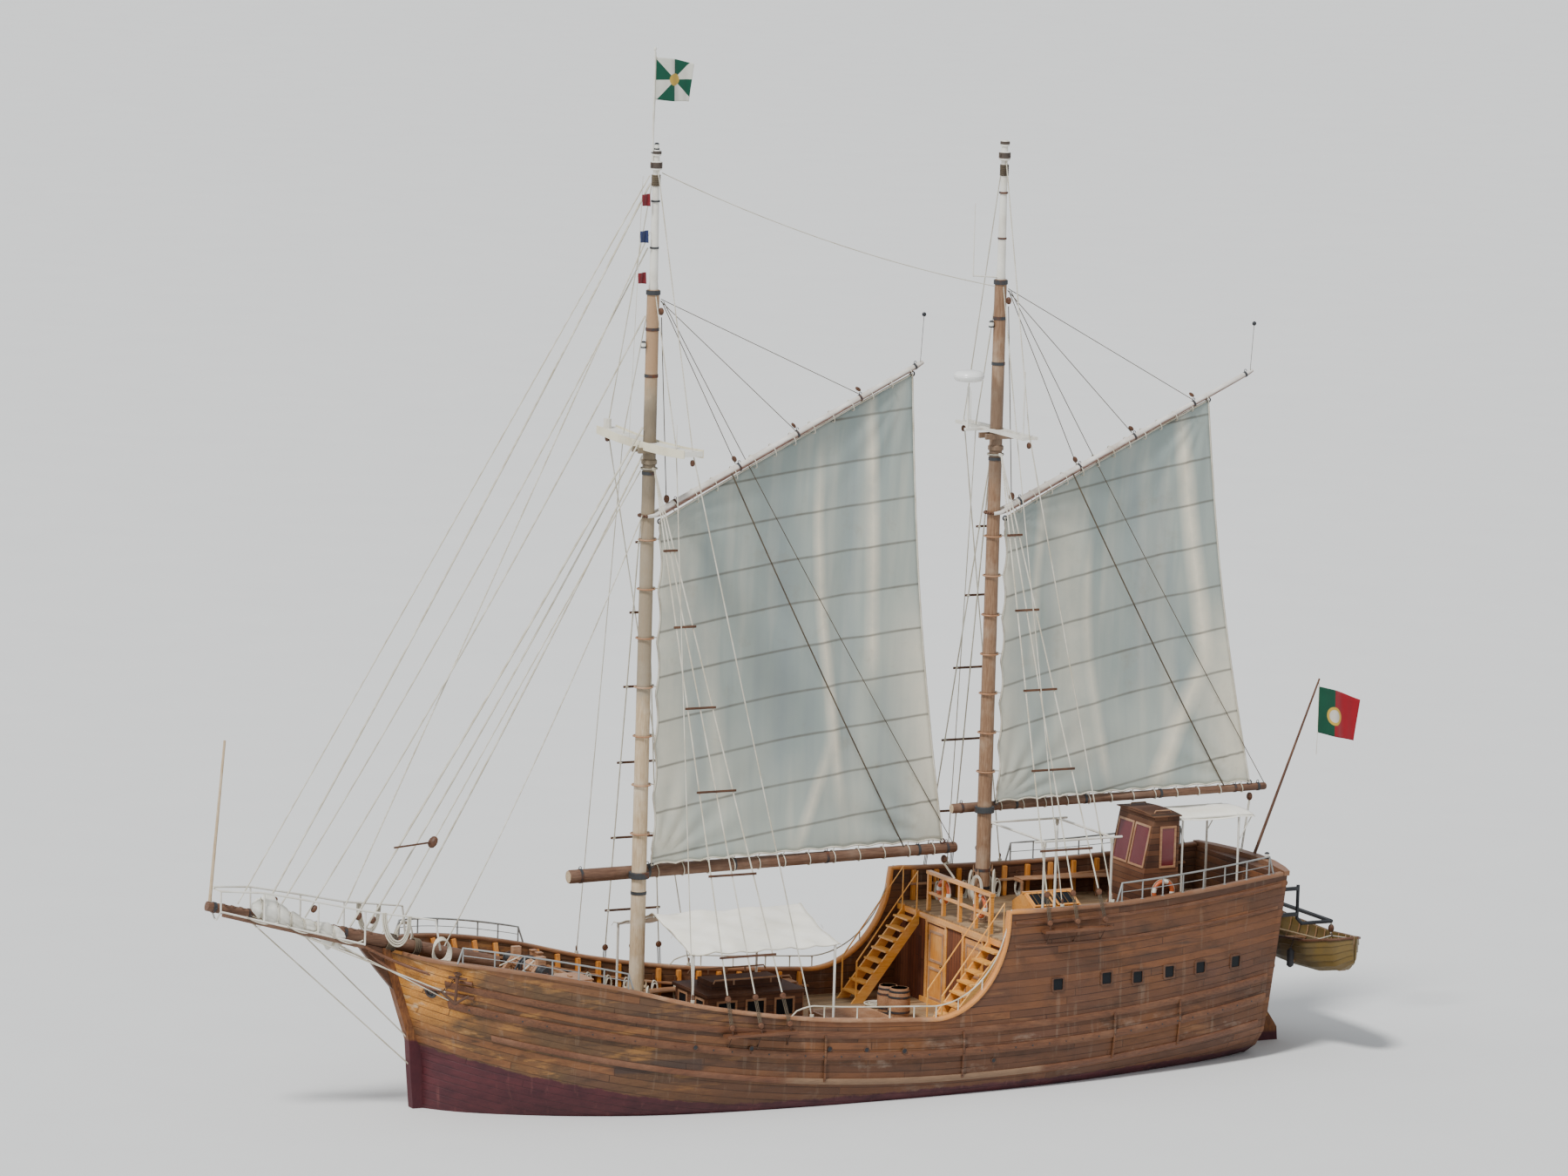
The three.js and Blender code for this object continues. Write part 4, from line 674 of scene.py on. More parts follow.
# Boards of the cabin front: their varnish is darkened to a painted shade, as under the quarterdeck's
# overhang
PANEL_IN_PAINTED_SHADE = planked("bulkhead_boards_in_painted_shade", srgb(88, 48, 34), srgb(122, 68, 42), srgb(150, 98, 66), "y", 0.12,
                srgb(44, 27, 20), along="z")
STAIR_WOOD = wood("stair_wood", srgb(224, 150, 66), srgb(244, 184, 92), srgb(250, 218, 160), "x",
                  rough=(0.3, 0.5), wear=0.35, specular=0.45, coat=0.2)
HOUSE = planked("house_boards", srgb(70, 44, 32), srgb(112, 72, 48), srgb(140, 104, 78), "z", 0.13)
WHITE = coated("white_paint", srgb(230, 227, 216), srgb(180, 166, 142), 0.5)
GRAY = coated("galvanised", srgb(150, 152, 150), srgb(120, 108, 92), 0.5, (0.4, 0.6), 0.5, 0.3)
DOME = coated("dome_plastic", srgb(236, 236, 232), srgb(216, 212, 200), 0.2, (0.2, 0.3))
YELLOW = coated("yellow_paint", srgb(108, 88, 48), srgb(76, 70, 58), 0.9, (0.4, 0.6))
BUOY_ORANGE = coated("buoy_orange", srgb(196, 92, 44), srgb(160, 104, 72), 0.4, (0.3, 0.5))
BLACK = coated("black_paint", srgb(34, 36, 40), srgb(74, 74, 74), 0.4)
RUBBER = coated("fender_rubber", srgb(46, 46, 50), srgb(82, 80, 78), 0.4, (0.6, 0.8))
STEEL = rusty_steel("rusty_steel")
RUST = coated("rusted_iron", srgb(84, 62, 50), srgb(112, 72, 48), 0.7, (0.6, 0.85), 0.3)
BRONZE = coated("bronze", srgb(150, 112, 66), srgb(96, 100, 78), 0.6, (0.3, 0.5), 0.5, 0.85)
ROPE = rope("grey_rope", srgb(222, 217, 202), srgb(186, 176, 152))
DARK_ROPE = rope("tarred_rope", srgb(104, 92, 74), srgb(70, 60, 50))
# Near-black opaque glass for windows and ports; its dark stands for the unlit inside behind the panes:
# painted shade
DARK_GLASS = glass("dark_glass", srgb(20, 24, 28), 0.3, specular=0.2)
RED_PANE = glass("red_pane", srgb(122, 46, 50), 0.12, 0.35)
LAMP_GLASS = glass("lamp_glass", srgb(238, 238, 226), 0.1)
CREAM = cloth("cream_cloth", srgb(254, 250, 238), srgb(243, 237, 219), dirt=srgb(206, 196, 170))
WHITE_SAIL = cloth("white_sailcloth", srgb(232, 230, 220), srgb(198, 194, 180))
RED_CLOTH = cloth("red_cloth", srgb(132, 42, 46), srgb(104, 36, 42), dirt=srgb(96, 44, 44))
BLUE_CLOTH = cloth("blue_cloth", srgb(52, 62, 100), srgb(40, 48, 80), dirt=srgb(62, 62, 84))
ENSIGN = ensign_cloth("ensign_cloth")
MASTHEAD = masthead_cloth("masthead_cloth")


# Shapes
BEVEL_SEGMENTS, BEVEL_FROM_DEGREES = 2, 40


def round_edges(thing, width):
    edge = thing.modifiers.new("edges", "BEVEL")
    edge.width = width
    edge.segments = BEVEL_SEGMENTS
    edge.limit_method = "ANGLE"
    edge.angle_limit = math.radians(BEVEL_FROM_DEGREES)


class Shape:
    """Collects closed or open surfaces. Each is given the material number that `paint` holds."""

    def __init__(self):
        self.points, self.faces, self.paints = [], [], []
        self.paint = 0

    def add(self, points, faces):
        first = len(self.points)
        self.points += [tuple(p) for p in points]
        self.faces += [tuple(first + i for i in face) for face in faces]
        self.paints += [self.paint] * len(faces)

    def box(self, low, high):
        """A box between two opposite corners."""
        low, high = Vector(low), Vector(high)
        corners = [Vector((x, y, z)) for x in (low.x, high.x) for y in (low.y, high.y)
                   for z in (low.z, high.z)]
        self.add(corners, [(0, 1, 3, 2), (4, 6, 7, 5), (0, 4, 5, 1), (2, 3, 7, 6),
                           (0, 2, 6, 4), (1, 5, 7, 3)])

    def beam(self, start, end, width, depth, up=(0, 0, 1)):
        """A squared timber between two points."""
        start, end = Vector(start), Vector(end)
        along = (end - start).normalized()
        across = along.cross(Vector(up)).normalized() * width / 2
        over = across.normalized().cross(along) * depth / 2
        ring = [across + over, over - across, -across - over, across - over]
        self.loft([[start + r for r in ring], [end + r for r in ring]])

    def loft(self, rings, capped=True, looped=False):
        """Skins a row of rings with the same number of points. looped joins the last ring to the first."""
        size = len(rings[0])
        points = [p for ring in rings for p in ring]
        faces = []
        for s in range(len(rings) if looped else len(rings) - 1):
            near, far = s * size, (s + 1) % len(rings) * size
            for k in range(size):
                faces.append((near + k, near + (k + 1) % size, far + (k + 1) % size, far + k))
        if capped and not looped:
            faces.append(tuple(reversed(range(size))))
            faces.append(tuple((len(rings) - 1) * size + k for k in range(size)))
        self.add(points, faces)

    def tube(self, points, radius, sides=8, closed=False):
        """A round bar through the points. radius is one number, or one for each point."""
        points = [Vector(p) for p in points]
        radii = radius if hasattr(radius, "__len__") else [radius] * len(points)
        count = len(points)
        across = None
        rings = []
        for i, (p, r) in enumerate(zip(points, radii)):
            ahead = points[(i + 1) % count if closed else min(i + 1, count - 1)]
            behind = points[(i - 1) % count if closed else max(i - 1, 0)]
            along = (ahead - behind).normalized()
            if across is None:
                guide = UP if abs(along.z) < 0.9 else AHEAD
                across = guide.cross(along).normalized()
            else:
                across = (across - along * across.dot(along)).normalized()
            over = along.cross(across)
            rings.append([p + (across * math.cos(a) + over * math.sin(a)) * r
                          for a in around(sides)])
        self.loft(rings, looped=closed)

    def ring(self, middle, radius, thick, axis=(0, 0, 1), steps=24, sides=8):
        """A torus."""
        turn = Vector(axis).to_track_quat("Z", "Y")
        self.tube([Vector(middle) + turn @ Vector((radius * math.cos(a), radius * math.sin(a), 0))
                   for a in around(steps)], thick, sides, closed=True)

    def band(self, middle, along, half, chamfer, radius, proud, sides=24):
        """A metal band around a round bar, along the bar's direction."""
        middle, along = Vector(middle), Vector(along)
        self.tube([middle + along * h for h in (-half, chamfer - half, half - chamfer, half)],
                  [radius, radius + proud, radius + proud, radius], sides)

    def turned(self, start, end, profile, sides=20):
        """A turned piece between two points. profile: (share of the way, radius) rows."""
        start, end = Vector(start), Vector(end)
        self.tube([start.lerp(end, t) for t, _ in profile], [r for _, r in profile], sides)

    def oval(self, middle, across, up, steps, thick, sides):
        """A closed loop of rope whose half axes are across and up."""
        self.tube([middle + across * math.cos(a) + up * math.sin(a) for a in around(steps)], thick, sides,
                  closed=True)

    def ball(self, middle, radius, steps=8, sides=12):
        middle = Vector(middle)
        angles = [math.pi * (i + 0.5) / steps - math.pi / 2 for i in range(steps)]
        self.tube([middle + UP * (radius * math.sin(a)) for a in angles],
                  [radius * math.cos(a) for a in angles], sides)

    def sheet(self, rows):
        """An open grid of points."""
        wide = len(rows[0])
        self.add([p for row in rows for p in row],
                 [(r * wide + k, r * wide + k + 1, (r + 1) * wide + k + 1, (r + 1) * wide + k)
                  for r in range(len(rows) - 1) for k in range(wide - 1)])

    def make(self, name, materials, body="ship", smooth=40.0, bevel=0.0, thick=0.0, replaces=(), slot=None):
        mesh = bpy.data.meshes.new(name)
        mesh.from_pydata(self.points, [], self.faces)
        for material in materials:
            mesh.materials.append(material)
        mesh.polygons.foreach_set("material_index", self.paints)
        mesh.polygons.foreach_set("use_smooth", [True] * len(mesh.polygons))
        mesh.update()
        mesh.set_sharp_from_angle(angle=math.radians(smooth))
        made = bpy.data.objects.new(name, mesh)
        bpy.context.scene.collection.objects.link(made)
        if thick:
            skin = made.modifiers.new("thickness", "SOLIDIFY")
            skin.thickness = thick
            skin.offset = 0.0
        if bevel:
            round_edges(made, bevel)
        if body:
            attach(made, body)
        if replaces:
            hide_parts(*replaces)
        return made


def touch(node, start, direction):
    """The point of a CAD node that a ray meets first."""
    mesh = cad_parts[node].data
    tree = BVHTree.FromPolygons([v.co.copy() for v in mesh.vertices],
                                [tuple(p.vertices) for p in mesh.polygons])
    hit = tree.ray_cast(Vector(start), Vector(direction).normalized())[0]
    return hit if hit is not None else Vector(start)


def bend(points, share):
    """A point on the smooth curve that four points guide."""
    a, b, c, d = (Vector(p) for p in points)
    t, u = share, 1 - share
    return a * u ** 3 + b * 3 * u * u * t + c * 3 * u * t * t + d * t ** 3


def sagging(start, end, sag, steps=12):
    """Points of a line that hangs between two ends."""
    start, end = Vector(start), Vector(end)
    return [start.lerp(end, t) - UP * (sag * 4 * t * (1 - t)) for t in spread(0, 1, steps)]


# Hull below the waist deck, with the waist deck on it
HULL_LEVELS = [0, 0.03, 0.07, 0.12, 0.2, 0.28, 0.38, 0.48, 0.6, 0.7, 0.8, 0.9, 1.0]


def hull_line(x, side):
    keel = column(STATIONS, "keel", x)
    line = []
    for level in HULL_LEVELS:
        z = keel + level * (WAIST_Z - keel)
        line.append(Vector((station_x(x, z), side * half_at(x, z), z)))
    return line


def make_hull():
    xs = spread(TRANSOM_X, 7.5, 56) + spread(7.7, BOW_X, 16)
    hull = Shape()
    rows = [hull_line(x, -1) + list(reversed(hull_line(x, 1))) for x in xs]
    hull.loft(rows)
    deck = Shape()
    height = WAIST_Z + 0.004
    edge = [x for x in xs if TRANSOM_X < x < 9.0]
    deck.sheet([[Vector((x, share * (half_at(x, WAIST_Z) - 0.02), height))
                 for share in (-1, -0.5, 0, 0.5, 1)]
                for x in edge])
    hull.make("hull_planking", [PLANKS], smooth=55, replaces=["hull"], slot="varnished_planks")
    deck.make("waist_deck_planks", [DECK], slot="deck_wood")


def sweep_xs(count):
    """Stations along the castle's curved front, closer where it stands steep."""
    return [SWEEP_FOOT_X + (CASTLE_FRONT_X - SWEEP_FOOT_X) * math.sin(a)
            for a in spread(0, math.pi / 2 - 0.001, count)]


def castle_xs():
    return spread(TRANSOM_X, -3.6, 26) + list(reversed(sweep_xs(22)))


def bulwark_xs():
    return spread(SWEEP_FOOT_X + 0.05, 7.4, 32) + spread(7.6, BOW_X, 18)


def make_topsides():
    for label, side in SIDES.items():
        shell = Shape()
        rings = []
        for x in castle_xs() + bulwark_xs():
            low, top = WAIST_Z, rail_z(x)
            heights = spread(low, top, 7)
            rings.append([outside(x, z, side) for z in heights]
                         + [outside(x, z, side, SIDE_THICK) for z in reversed(heights)])
        shell.loft(rings)
        shell.make(f"topsides_{label}", [PLANKS], smooth=50,
                   replaces=[f"castle_side_{label}", f"bulwark_{label}"], slot="varnished_planks")


# Cap rail: a rounded board on the shell's top edge, turned with it
RAIL_THICK, RAIL_OVER_OUT, RAIL_OVER_IN = 0.075, 0.035, 0.03


def make_cap_rails():
    for label, side in SIDES.items():
        xs = castle_xs() + [x for x in bulwark_xs() if x < 9.3]
        edge = [Vector((x, rail_z(x))) for x in xs]
        rail = Shape()
        rings = []
        for i, at in enumerate(edge):
            ahead = (edge[min(i + 1, len(edge) - 1)] - at).normalized()
            behind = (at - edge[max(i - 1, 0)]).normalized()
            along = (ahead + behind).normalized()
            up = Vector((-along.y, along.x))
            ring = []
            for height, inward in (
                    (0.0, -RAIL_OVER_OUT + 0.008), (0.02, -RAIL_OVER_OUT), (0.055, -RAIL_OVER_OUT),
                    (RAIL_THICK, -RAIL_OVER_OUT + 0.02), (RAIL_THICK, SIDE_THICK + RAIL_OVER_IN - 0.02),
                    (0.055, SIDE_THICK + RAIL_OVER_IN), (0.02, SIDE_THICK + RAIL_OVER_IN),
                    (0.0, SIDE_THICK + RAIL_OVER_IN - 0.008)):
                p = outside(at.x, at.y, side, inward)
                ring.append(Vector((p.x + up.x * height, p.y, p.z + up.y * height)))
            rings.append(ring)
        rail.loft(rings)
        rail.make(f"cap_rail_board_{label}", [CAP_WOOD], smooth=50, replaces=[f"cap_rail_{label}"],
                  slot="orange_varnish")


# Wales: thick strakes proud of the planking. level: height above the waterline at their lowest place.
Wale = namedtuple("Wale", "name start end level width proud")
RAIL_STRAKE = Wale("rail_strake", -10.4, 8.9, 1.44, 0.15, 0.035)
MAIN_WALE = Wale("main_wale", -10.42, 8.9, 0.98, 0.17, 0.05)
LOWER_WALE = Wale("lower_wale", -10.3, 8.3, 0.42, 0.13, 0.035)
WALES = [RAIL_STRAKE, MAIN_WALE, LOWER_WALE]
# Mouldings under the castle's rail: drop below the rail, width, proud
CASTLE_MOULDINGS = [(0.2, 0.07, 0.03), (0.72, 0.06, 0.022)]
BATTEN_XS = (-7.9, -6.1, -2.2, 1.2)


def strake(shape, path, side, width, proud):
    """A rounded strip laid along (x, z) points of the hull's side."""
    rings = []
    for x, z in path:
        normal = outward(x, z, side)
        ring = []
        for up, out in ((-0.5, -0.02), (-0.5, 0.7), (-0.38, 1.0), (0.38, 1.0), (0.5, 0.7), (0.5, -0.02)):
            base = outside(x, z + up * width, side)
            ring.append(base + normal * (proud * out if out > 0 else -0.01))
        rings.append(ring)
    shape.loft(rings)


def make_wales():
    for label, side in SIDES.items():
        for wale in WALES:
            strip = Shape()
            path = [(x, plank_rise(x) + wale.level) for x in spread(wale.start, wale.end, 64)]
            strake(strip, path, side, wale.width, wale.proud)
            strip.make(f"{wale.name}_{label}", [LOW_WALE_WOOD if wale is LOWER_WALE else WALE_WOOD],
                       smooth=40, slot="varnished_planks")
        moulding = Shape()
        for drop, width, proud in CASTLE_MOULDINGS:
            path = [(x, castle_rail_z(x) - drop) for x in spread(MAIN_WALE.start, CASTLE_FRONT_X - 0.1, 40)]
            strake(moulding, path, side, width, proud)
        moulding.make(f"castle_moulding_{label}", [WALE_WOOD], smooth=40, slot="varnished_planks")
        # Chafing battens that stand upright between the wales, each bent at its middle
        battens = Shape()
        for x in BATTEN_XS:
            low, top = plank_rise(x) + LOWER_WALE.level, plank_rise(x) + RAIL_STRAKE.level
            bent = (low + top) / 2 + 0.05
            for z0, z1 in ((low, bent), (bent, top)):
                start, end = (outside(x, z, side) + outward(x, z, side) * MAIN_WALE.proud for z in (z0, z1))
                battens.beam(start, end, 0.045, 0.04, up=outward(x, z0, side))
        battens.make(f"chafing_battens_{label}", [PLANKS], bevel=0.008, slot="varnished_planks")


# Portholes of the castle, measured from the photograph on the port side: x and z of each middle
PORTHOLES = [(-4.6, 2.28), (-5.88, 2.31), (-6.72, 2.26), (-7.59, 2.3), (-8.46, 2.31), (-9.44, 2.34)]
PORT_HALF, PORT_FRAME = 0.125, 0.04


def rounded_square(half, corner, steps=4):
    """Outline around the origin, as (across, up) pairs."""
    outline = []
    for start, (sx, sy) in zip((0, 90, 180, 270), ((1, 1), (-1, 1), (-1, -1), (1, -1))):
        for a in spread(start, start + 90, steps):
            outline.append((sx * (half - corner) + corner * math.cos(math.radians(a)),
                            sy * (half - corner) + corner * math.sin(math.radians(a))))
    return outline


def make_portholes():
    for label, side in SIDES.items():
        frames, panes = Shape(), Shape()
        for x, z in PORTHOLES:
            middle, out = outside(x, z, side), outward(x, z, side)
            along = UP.cross(out).normalized()
            up = out.cross(along)

            def lay(outline, depth):
                return [middle + along * u + up * v + out * depth for u, v in outline]

            outer, inner = rounded_square(PORT_HALF + PORT_FRAME, 0.05), rounded_square(PORT_HALF, 0.03)
            frames.loft([lay(outer, -0.01), lay(outer, 0.022), lay(inner, 0.03), lay(inner, 0.006)],
                        capped=False)
            panes.loft([lay(inner, 0.002), lay(inner, 0.008)])
        frames.make(f"porthole_frames_{label}", [DARK], smooth=30, slot="dark_wood")
        panes.make(f"porthole_panes_{label}", [DARK_GLASS], smooth=30)


# Scuppers along the side, hawse pipes at the bow, and fastenings
SCUPPERS = [(4.26, 1.53), (2.96, 1.43), (1.08, 1.28), (0.18, 1.2), (-0.72, 1.12), (-2.99, 0.73)]
SCUPPER_RADIUS = 0.048
HAWSE_STATION, HAWSE_Z = 9.1, 2.72


def proud_at(x, z, reach):
    """How far the wales stand out where something of this reach sits on the side."""
    level = z - plank_rise(x)
    near = [wale.proud for wale in WALES if abs(level - wale.level) < wale.width / 2 + reach]
    return max(near, default=0.0)


def make_side_fittings():
    for label, side in SIDES.items():
        scuppers = Shape()
        for x, z in SCUPPERS:
            out = outward(x, z, side)
            middle = outside(x, z, side) + out * proud_at(x, z, SCUPPER_RADIUS)
            scuppers.paint = 0
            scuppers.tube([middle - out * 0.02, middle + out * 0.008], SCUPPER_RADIUS, 16)
            scuppers.paint = 1
            scuppers.ring(middle + out * 0.008, SCUPPER_RADIUS + 0.008, 0.011, out, 20, 6)
        scuppers.make(f"scuppers_{label}", [BLACK, RUST], smooth=40, slot="steel")
        hawse = Shape()
        middle, out = outside(HAWSE_STATION, HAWSE_Z, side), outward(HAWSE_STATION, HAWSE_Z, side)
        hawse.ring(middle + out * 0.015, 0.12, 0.032, out)
        hawse.paint = 1
        hawse.tube([middle, middle + out * 0.012], 0.1, 16)
        hawse.make(f"hawse_pipe_{label}", [STEEL, BLACK], slot="steel")
        # Bolt heads along the main wale
        bolts = Shape()
        for x in spread(-10.0, 8.6, 44):
            z = plank_rise(x) + MAIN_WALE.level
            out = outward(x, z, side)
            middle = outside(x, z, side) + out * MAIN_WALE.proud
            bolts.turned(middle - out * 0.004, middle + out * 0.014,
                         [(0, 0.02), (0.7, 0.018), (1, 0.008)], 8)
        bolts.make(f"wale_bolts_{label}", [STEEL], slot="steel")


# Knees at the stem head, where the bowsprit leaves the hull, and the gammoning round the spar.
# Head rails: height where each starts, and how much earlier it ends. Gammoning: middle and turns.
KNEE_TIP_X = 11.15
HEAD_RAILS = [(2.98, 0.0), (2.66, 0.28)]
GAMMONING = [(10.15, 6), (9.55, 4)]


def make_stem_head():
    # Knee below the bowsprit, and a curved rail on each side from the ship's shoulder to its tip
    knee = Shape()
    under = bowsprit_z(KNEE_TIP_X) - 0.15
    outline = [(stem_x(2.35) + 0.02, 2.35), (stem_x(2.7) + 0.2, 2.66), (10.45, 3.08),
               (10.85, under - 0.16), (KNEE_TIP_X + 0.05, under - 0.05), (KNEE_TIP_X, under + 0.02),
               (10.6, bowsprit_z(10.6) - 0.13), (stem_x(3.3) + 0.02, bowsprit_z(10.1) - 0.14)]
    knee.loft([[Vector((x, y, z)) for x, z in outline] for y in (-0.08, 0.08)])
    knee.paint = 1
    for side in (1, -1):
        for z, drop in HEAD_RAILS:
            path = [outside(8.5, z, side) + outward(8.5, z, side) * 0.02,
                    Vector((9.55, side * 1.2, z + 0.1)),
                    Vector((10.1, side * 0.42, z + 0.2)),
                    Vector((KNEE_TIP_X - 0.2 - drop, side * 0.1, under - 0.02 - drop * 0.75))]
            shares = spread(0, 1, 18)
            knee.tube([bend(path, t) for t in shares], [0.05 - 0.02 * t for t in shares], 8)
    knee.make("stem_knees", [DARK, WALE_WOOD], smooth=40, bevel=0.015, slot="dark_wood")
    brace = Shape()
    for x, turns in GAMMONING:
        for k in range(turns):
            at = x + 0.036 * (k - turns / 2)
            brace.ring((at, 0, bowsprit_z(at)), 0.18, 0.018, (1, 0, BOWSPRIT_RISE), 20, 6)
    brace.make("gammoning", [DARK_ROPE], slot="rope")


# Timber heads and pin rails inside the bulwarks, and belaying pins with coils of rope
TimberHeads = namedtuple("TimberHeads", "start end count")
TIMBER_HEADS = [TimberHeads(-1.2, 8.3, 20), TimberHeads(-10.0, -3.9, 12)]
PIN_RAILS = [(-1.4, 4.9), (5.3, 8.2), (-10.2, -3.8)]
PIN_RAIL_DROP = 0.34
PIN_XS = (4.1, 3.6, 3.15, 2.45, 1.9, -4.45, -5.1, -5.9, -6.4)


def flat_board(x, z, side, inward, wide, thick):
    """The section of a board that lies along the hull's inside, inward of the planking's outside."""
    near, far = outside(x, z, side, inward), outside(x, z, side, inward + wide)
    return [near, far, far + UP * thick, near + UP * thick]


def deck_beside(x):
    """The deck's height beside the bulwark."""
    if x < CASTLE_FRONT_X:
        return QUARTERDECK_Z
    return forecastle_z(x) if x > FORECASTLE_X else WAIST_Z


def make_frames_inside():
    for label, side in SIDES.items():
        ribs = Shape()
        for row in TIMBER_HEADS:
            for x in spread(row.start, row.end, row.count):
                foot = outside(x, deck_beside(x), side, SIDE_THICK + 0.05)
                head = outside(x, rail_z(x) - 0.01, side, SIDE_THICK + 0.04)
                ribs.beam(foot, head, 0.1, 0.1, up=PORT)
        ribs.make(f"timber_heads_{label}", [ORANGE_UP], bevel=0.01, slot="orange_varnish")
        shelf = Shape()
        for start, end in PIN_RAILS:
            shelf.loft([flat_board(x, rail_z(x) - PIN_RAIL_DROP, side, SIDE_THICK + 0.002, 0.128, 0.045)
                        for x in spread(start, end, 18)])
        shelf.make(f"pin_rails_{label}", [RAIL_WOOD], smooth=35, bevel=0.006, slot="orange_varnish")


def make_pins():
    for label, side in SIDES.items():
        pins, coils = Shape(), Shape()
        for x in PIN_XS:
            at = outside(x, rail_z(x) - PIN_RAIL_DROP, side, SIDE_THICK + 0.085)
            pins.turned(at - UP * 0.16, at + UP * 0.2,
                        [(0, 0.012), (0.45, 0.014), (0.5, 0.026), (0.75, 0.018),
                         (1, 0.03), (1.0, 0.005)], 10)
            for k in range(5):
                radius, drop = 0.11 + 0.012 * (k % 3), 0.1 + 0.02 * k
                middle = at - Vector((0, side * (0.04 + 0.012 * k), drop))
                turn = []
                for a in around(18):
                    across, twist, tall = 0.6 * math.cos(a), math.sin(3 * a), 1.5 * math.sin(a)
                    turn.append(middle + Vector((radius * across, 0.01 * twist, radius * tall)))
                coils.tube(turn, 0.011, 5, closed=True)
        pins.make(f"belaying_pins_{label}", [DARK_UP], slot="dark_wood")
        coils.make(f"rope_coils_{label}", [ROPE], slot="rope")


make_hull()
make_topsides()
make_cap_rails()
make_wales()
make_portholes()
make_side_fittings()
make_stem_head()
make_frames_inside()
make_pins()


# Masts: turned spars with iron bands, wedges at the deck, and cleats with coils of halyard
MAST_IRON = [1.9, 2.35, 4.35, 13.5, 15.6, 16.6]
TRUCK_IRON_DROP = 0.33
Cleat = namedtuple("Cleat", "angle height coil_height coil_long")
CLEATS = [Cleat(0.6, 1.05, 1.0, 0.26), Cleat(2.5, 1.15, 1.1, 0.3), Cleat(3.8, 1.0, 0.95, 0.22),
          Cleat(5.4, 1.1, 1.05, 0.28)]


def mast_radius_at(z):
    return MAST_RADIUS + (MAST_HEAD_RADIUS - MAST_RADIUS) * (z - WAIST_Z) / (LOWER_HEAD_Z - WAIST_Z)


def make_lower_mast(name, x, deck_z, material):
    mast = Shape()
    steps = spread(0, 1, 24)
    mast.turned((x, 0, WAIST_Z), (x, 0, LOWER_HEAD_Z),
                [(t, mast_radius_at(WAIST_Z + t * (LOWER_HEAD_Z - WAIST_Z))) for t in steps], 28)
    # Wedges around the foot
    for k in range(12):
        a = 2 * math.pi * (k + 0.5) / 12
        reach = Vector((math.cos(a), math.sin(a), 0))
        foot = Vector((x, 0, deck_z)) + reach * 0.215
        mast.beam(foot, foot - reach * 0.03 + UP * 0.16, 0.1, 0.05, up=reach)
    mast.ring((x, 0, deck_z + 0.02), 0.24, 0.03, steps=28)
    mast.paint = 1
    for z in [deck_z + 0.75 if z < 3 else z for z in MAST_IRON]:
        mast.band((x, 0, z), UP, 0.035, 0.002, mast_radius_at(z), 0.012, 28)
    # Hounds: the shoulders that carry the spreader, and the cap that holds the topmast
    mast.paint = 0
    z = HOUNDS_Z - 0.42
    r = mast_radius_at(z)
    mast.tube([(x, 0, z), (x, 0, z + 0.02), (x, 0, z + 0.1), (x, 0, z + 0.13)],
              [r, r + 0.03, r + 0.03, r], 28)
    for side in (1, -1):
        mast.beam((x - 0.34, side * 0.15, HOUNDS_Z - 0.09), (x + 0.34, side * 0.15, HOUNDS_Z - 0.09),
                  0.07, 0.12)
    mast.paint = 1
    mast.band((x, 0, LOWER_HEAD_Z - 0.06), UP, 0.05, 0.005, MAST_HEAD_RADIUS, 0.022, 28)
    # Cleats, and coils of halyard that hang on them
    mast.paint = 0
    for cleat in CLEATS:
        out = Vector((math.cos(cleat.angle), math.sin(cleat.angle), 0))
        at = Vector((x, 0, deck_z + cleat.height)) + out * (MAST_RADIUS + 0.045)
        mast.turned(at - UP * 0.13, at + UP * 0.13, [(0, 0.006), (0.3, 0.018), (0.7, 0.018), (1, 0.006)], 8)
        mast.beam(at - out * 0.06, at, 0.05, 0.05)
    mast.paint = 2
    for cleat in CLEATS:
        out = Vector((math.cos(cleat.angle), math.sin(cleat.angle), 0))
        beside = Vector((-out.y, out.x, 0))
        bottom = Vector((x, 0, deck_z + cleat.coil_height - cleat.coil_long))
        for k in range(6):
            middle = bottom + out * (MAST_RADIUS + 0.075 + 0.01 * (k % 3))
            mast.oval(middle, beside * (0.09 + 0.012 * k), UP * (cleat.coil_long * (1 + 0.04 * k)),
                      20, 0.011, 5)
    return mast.make(name, [material, STEEL, ROPE], smooth=35)


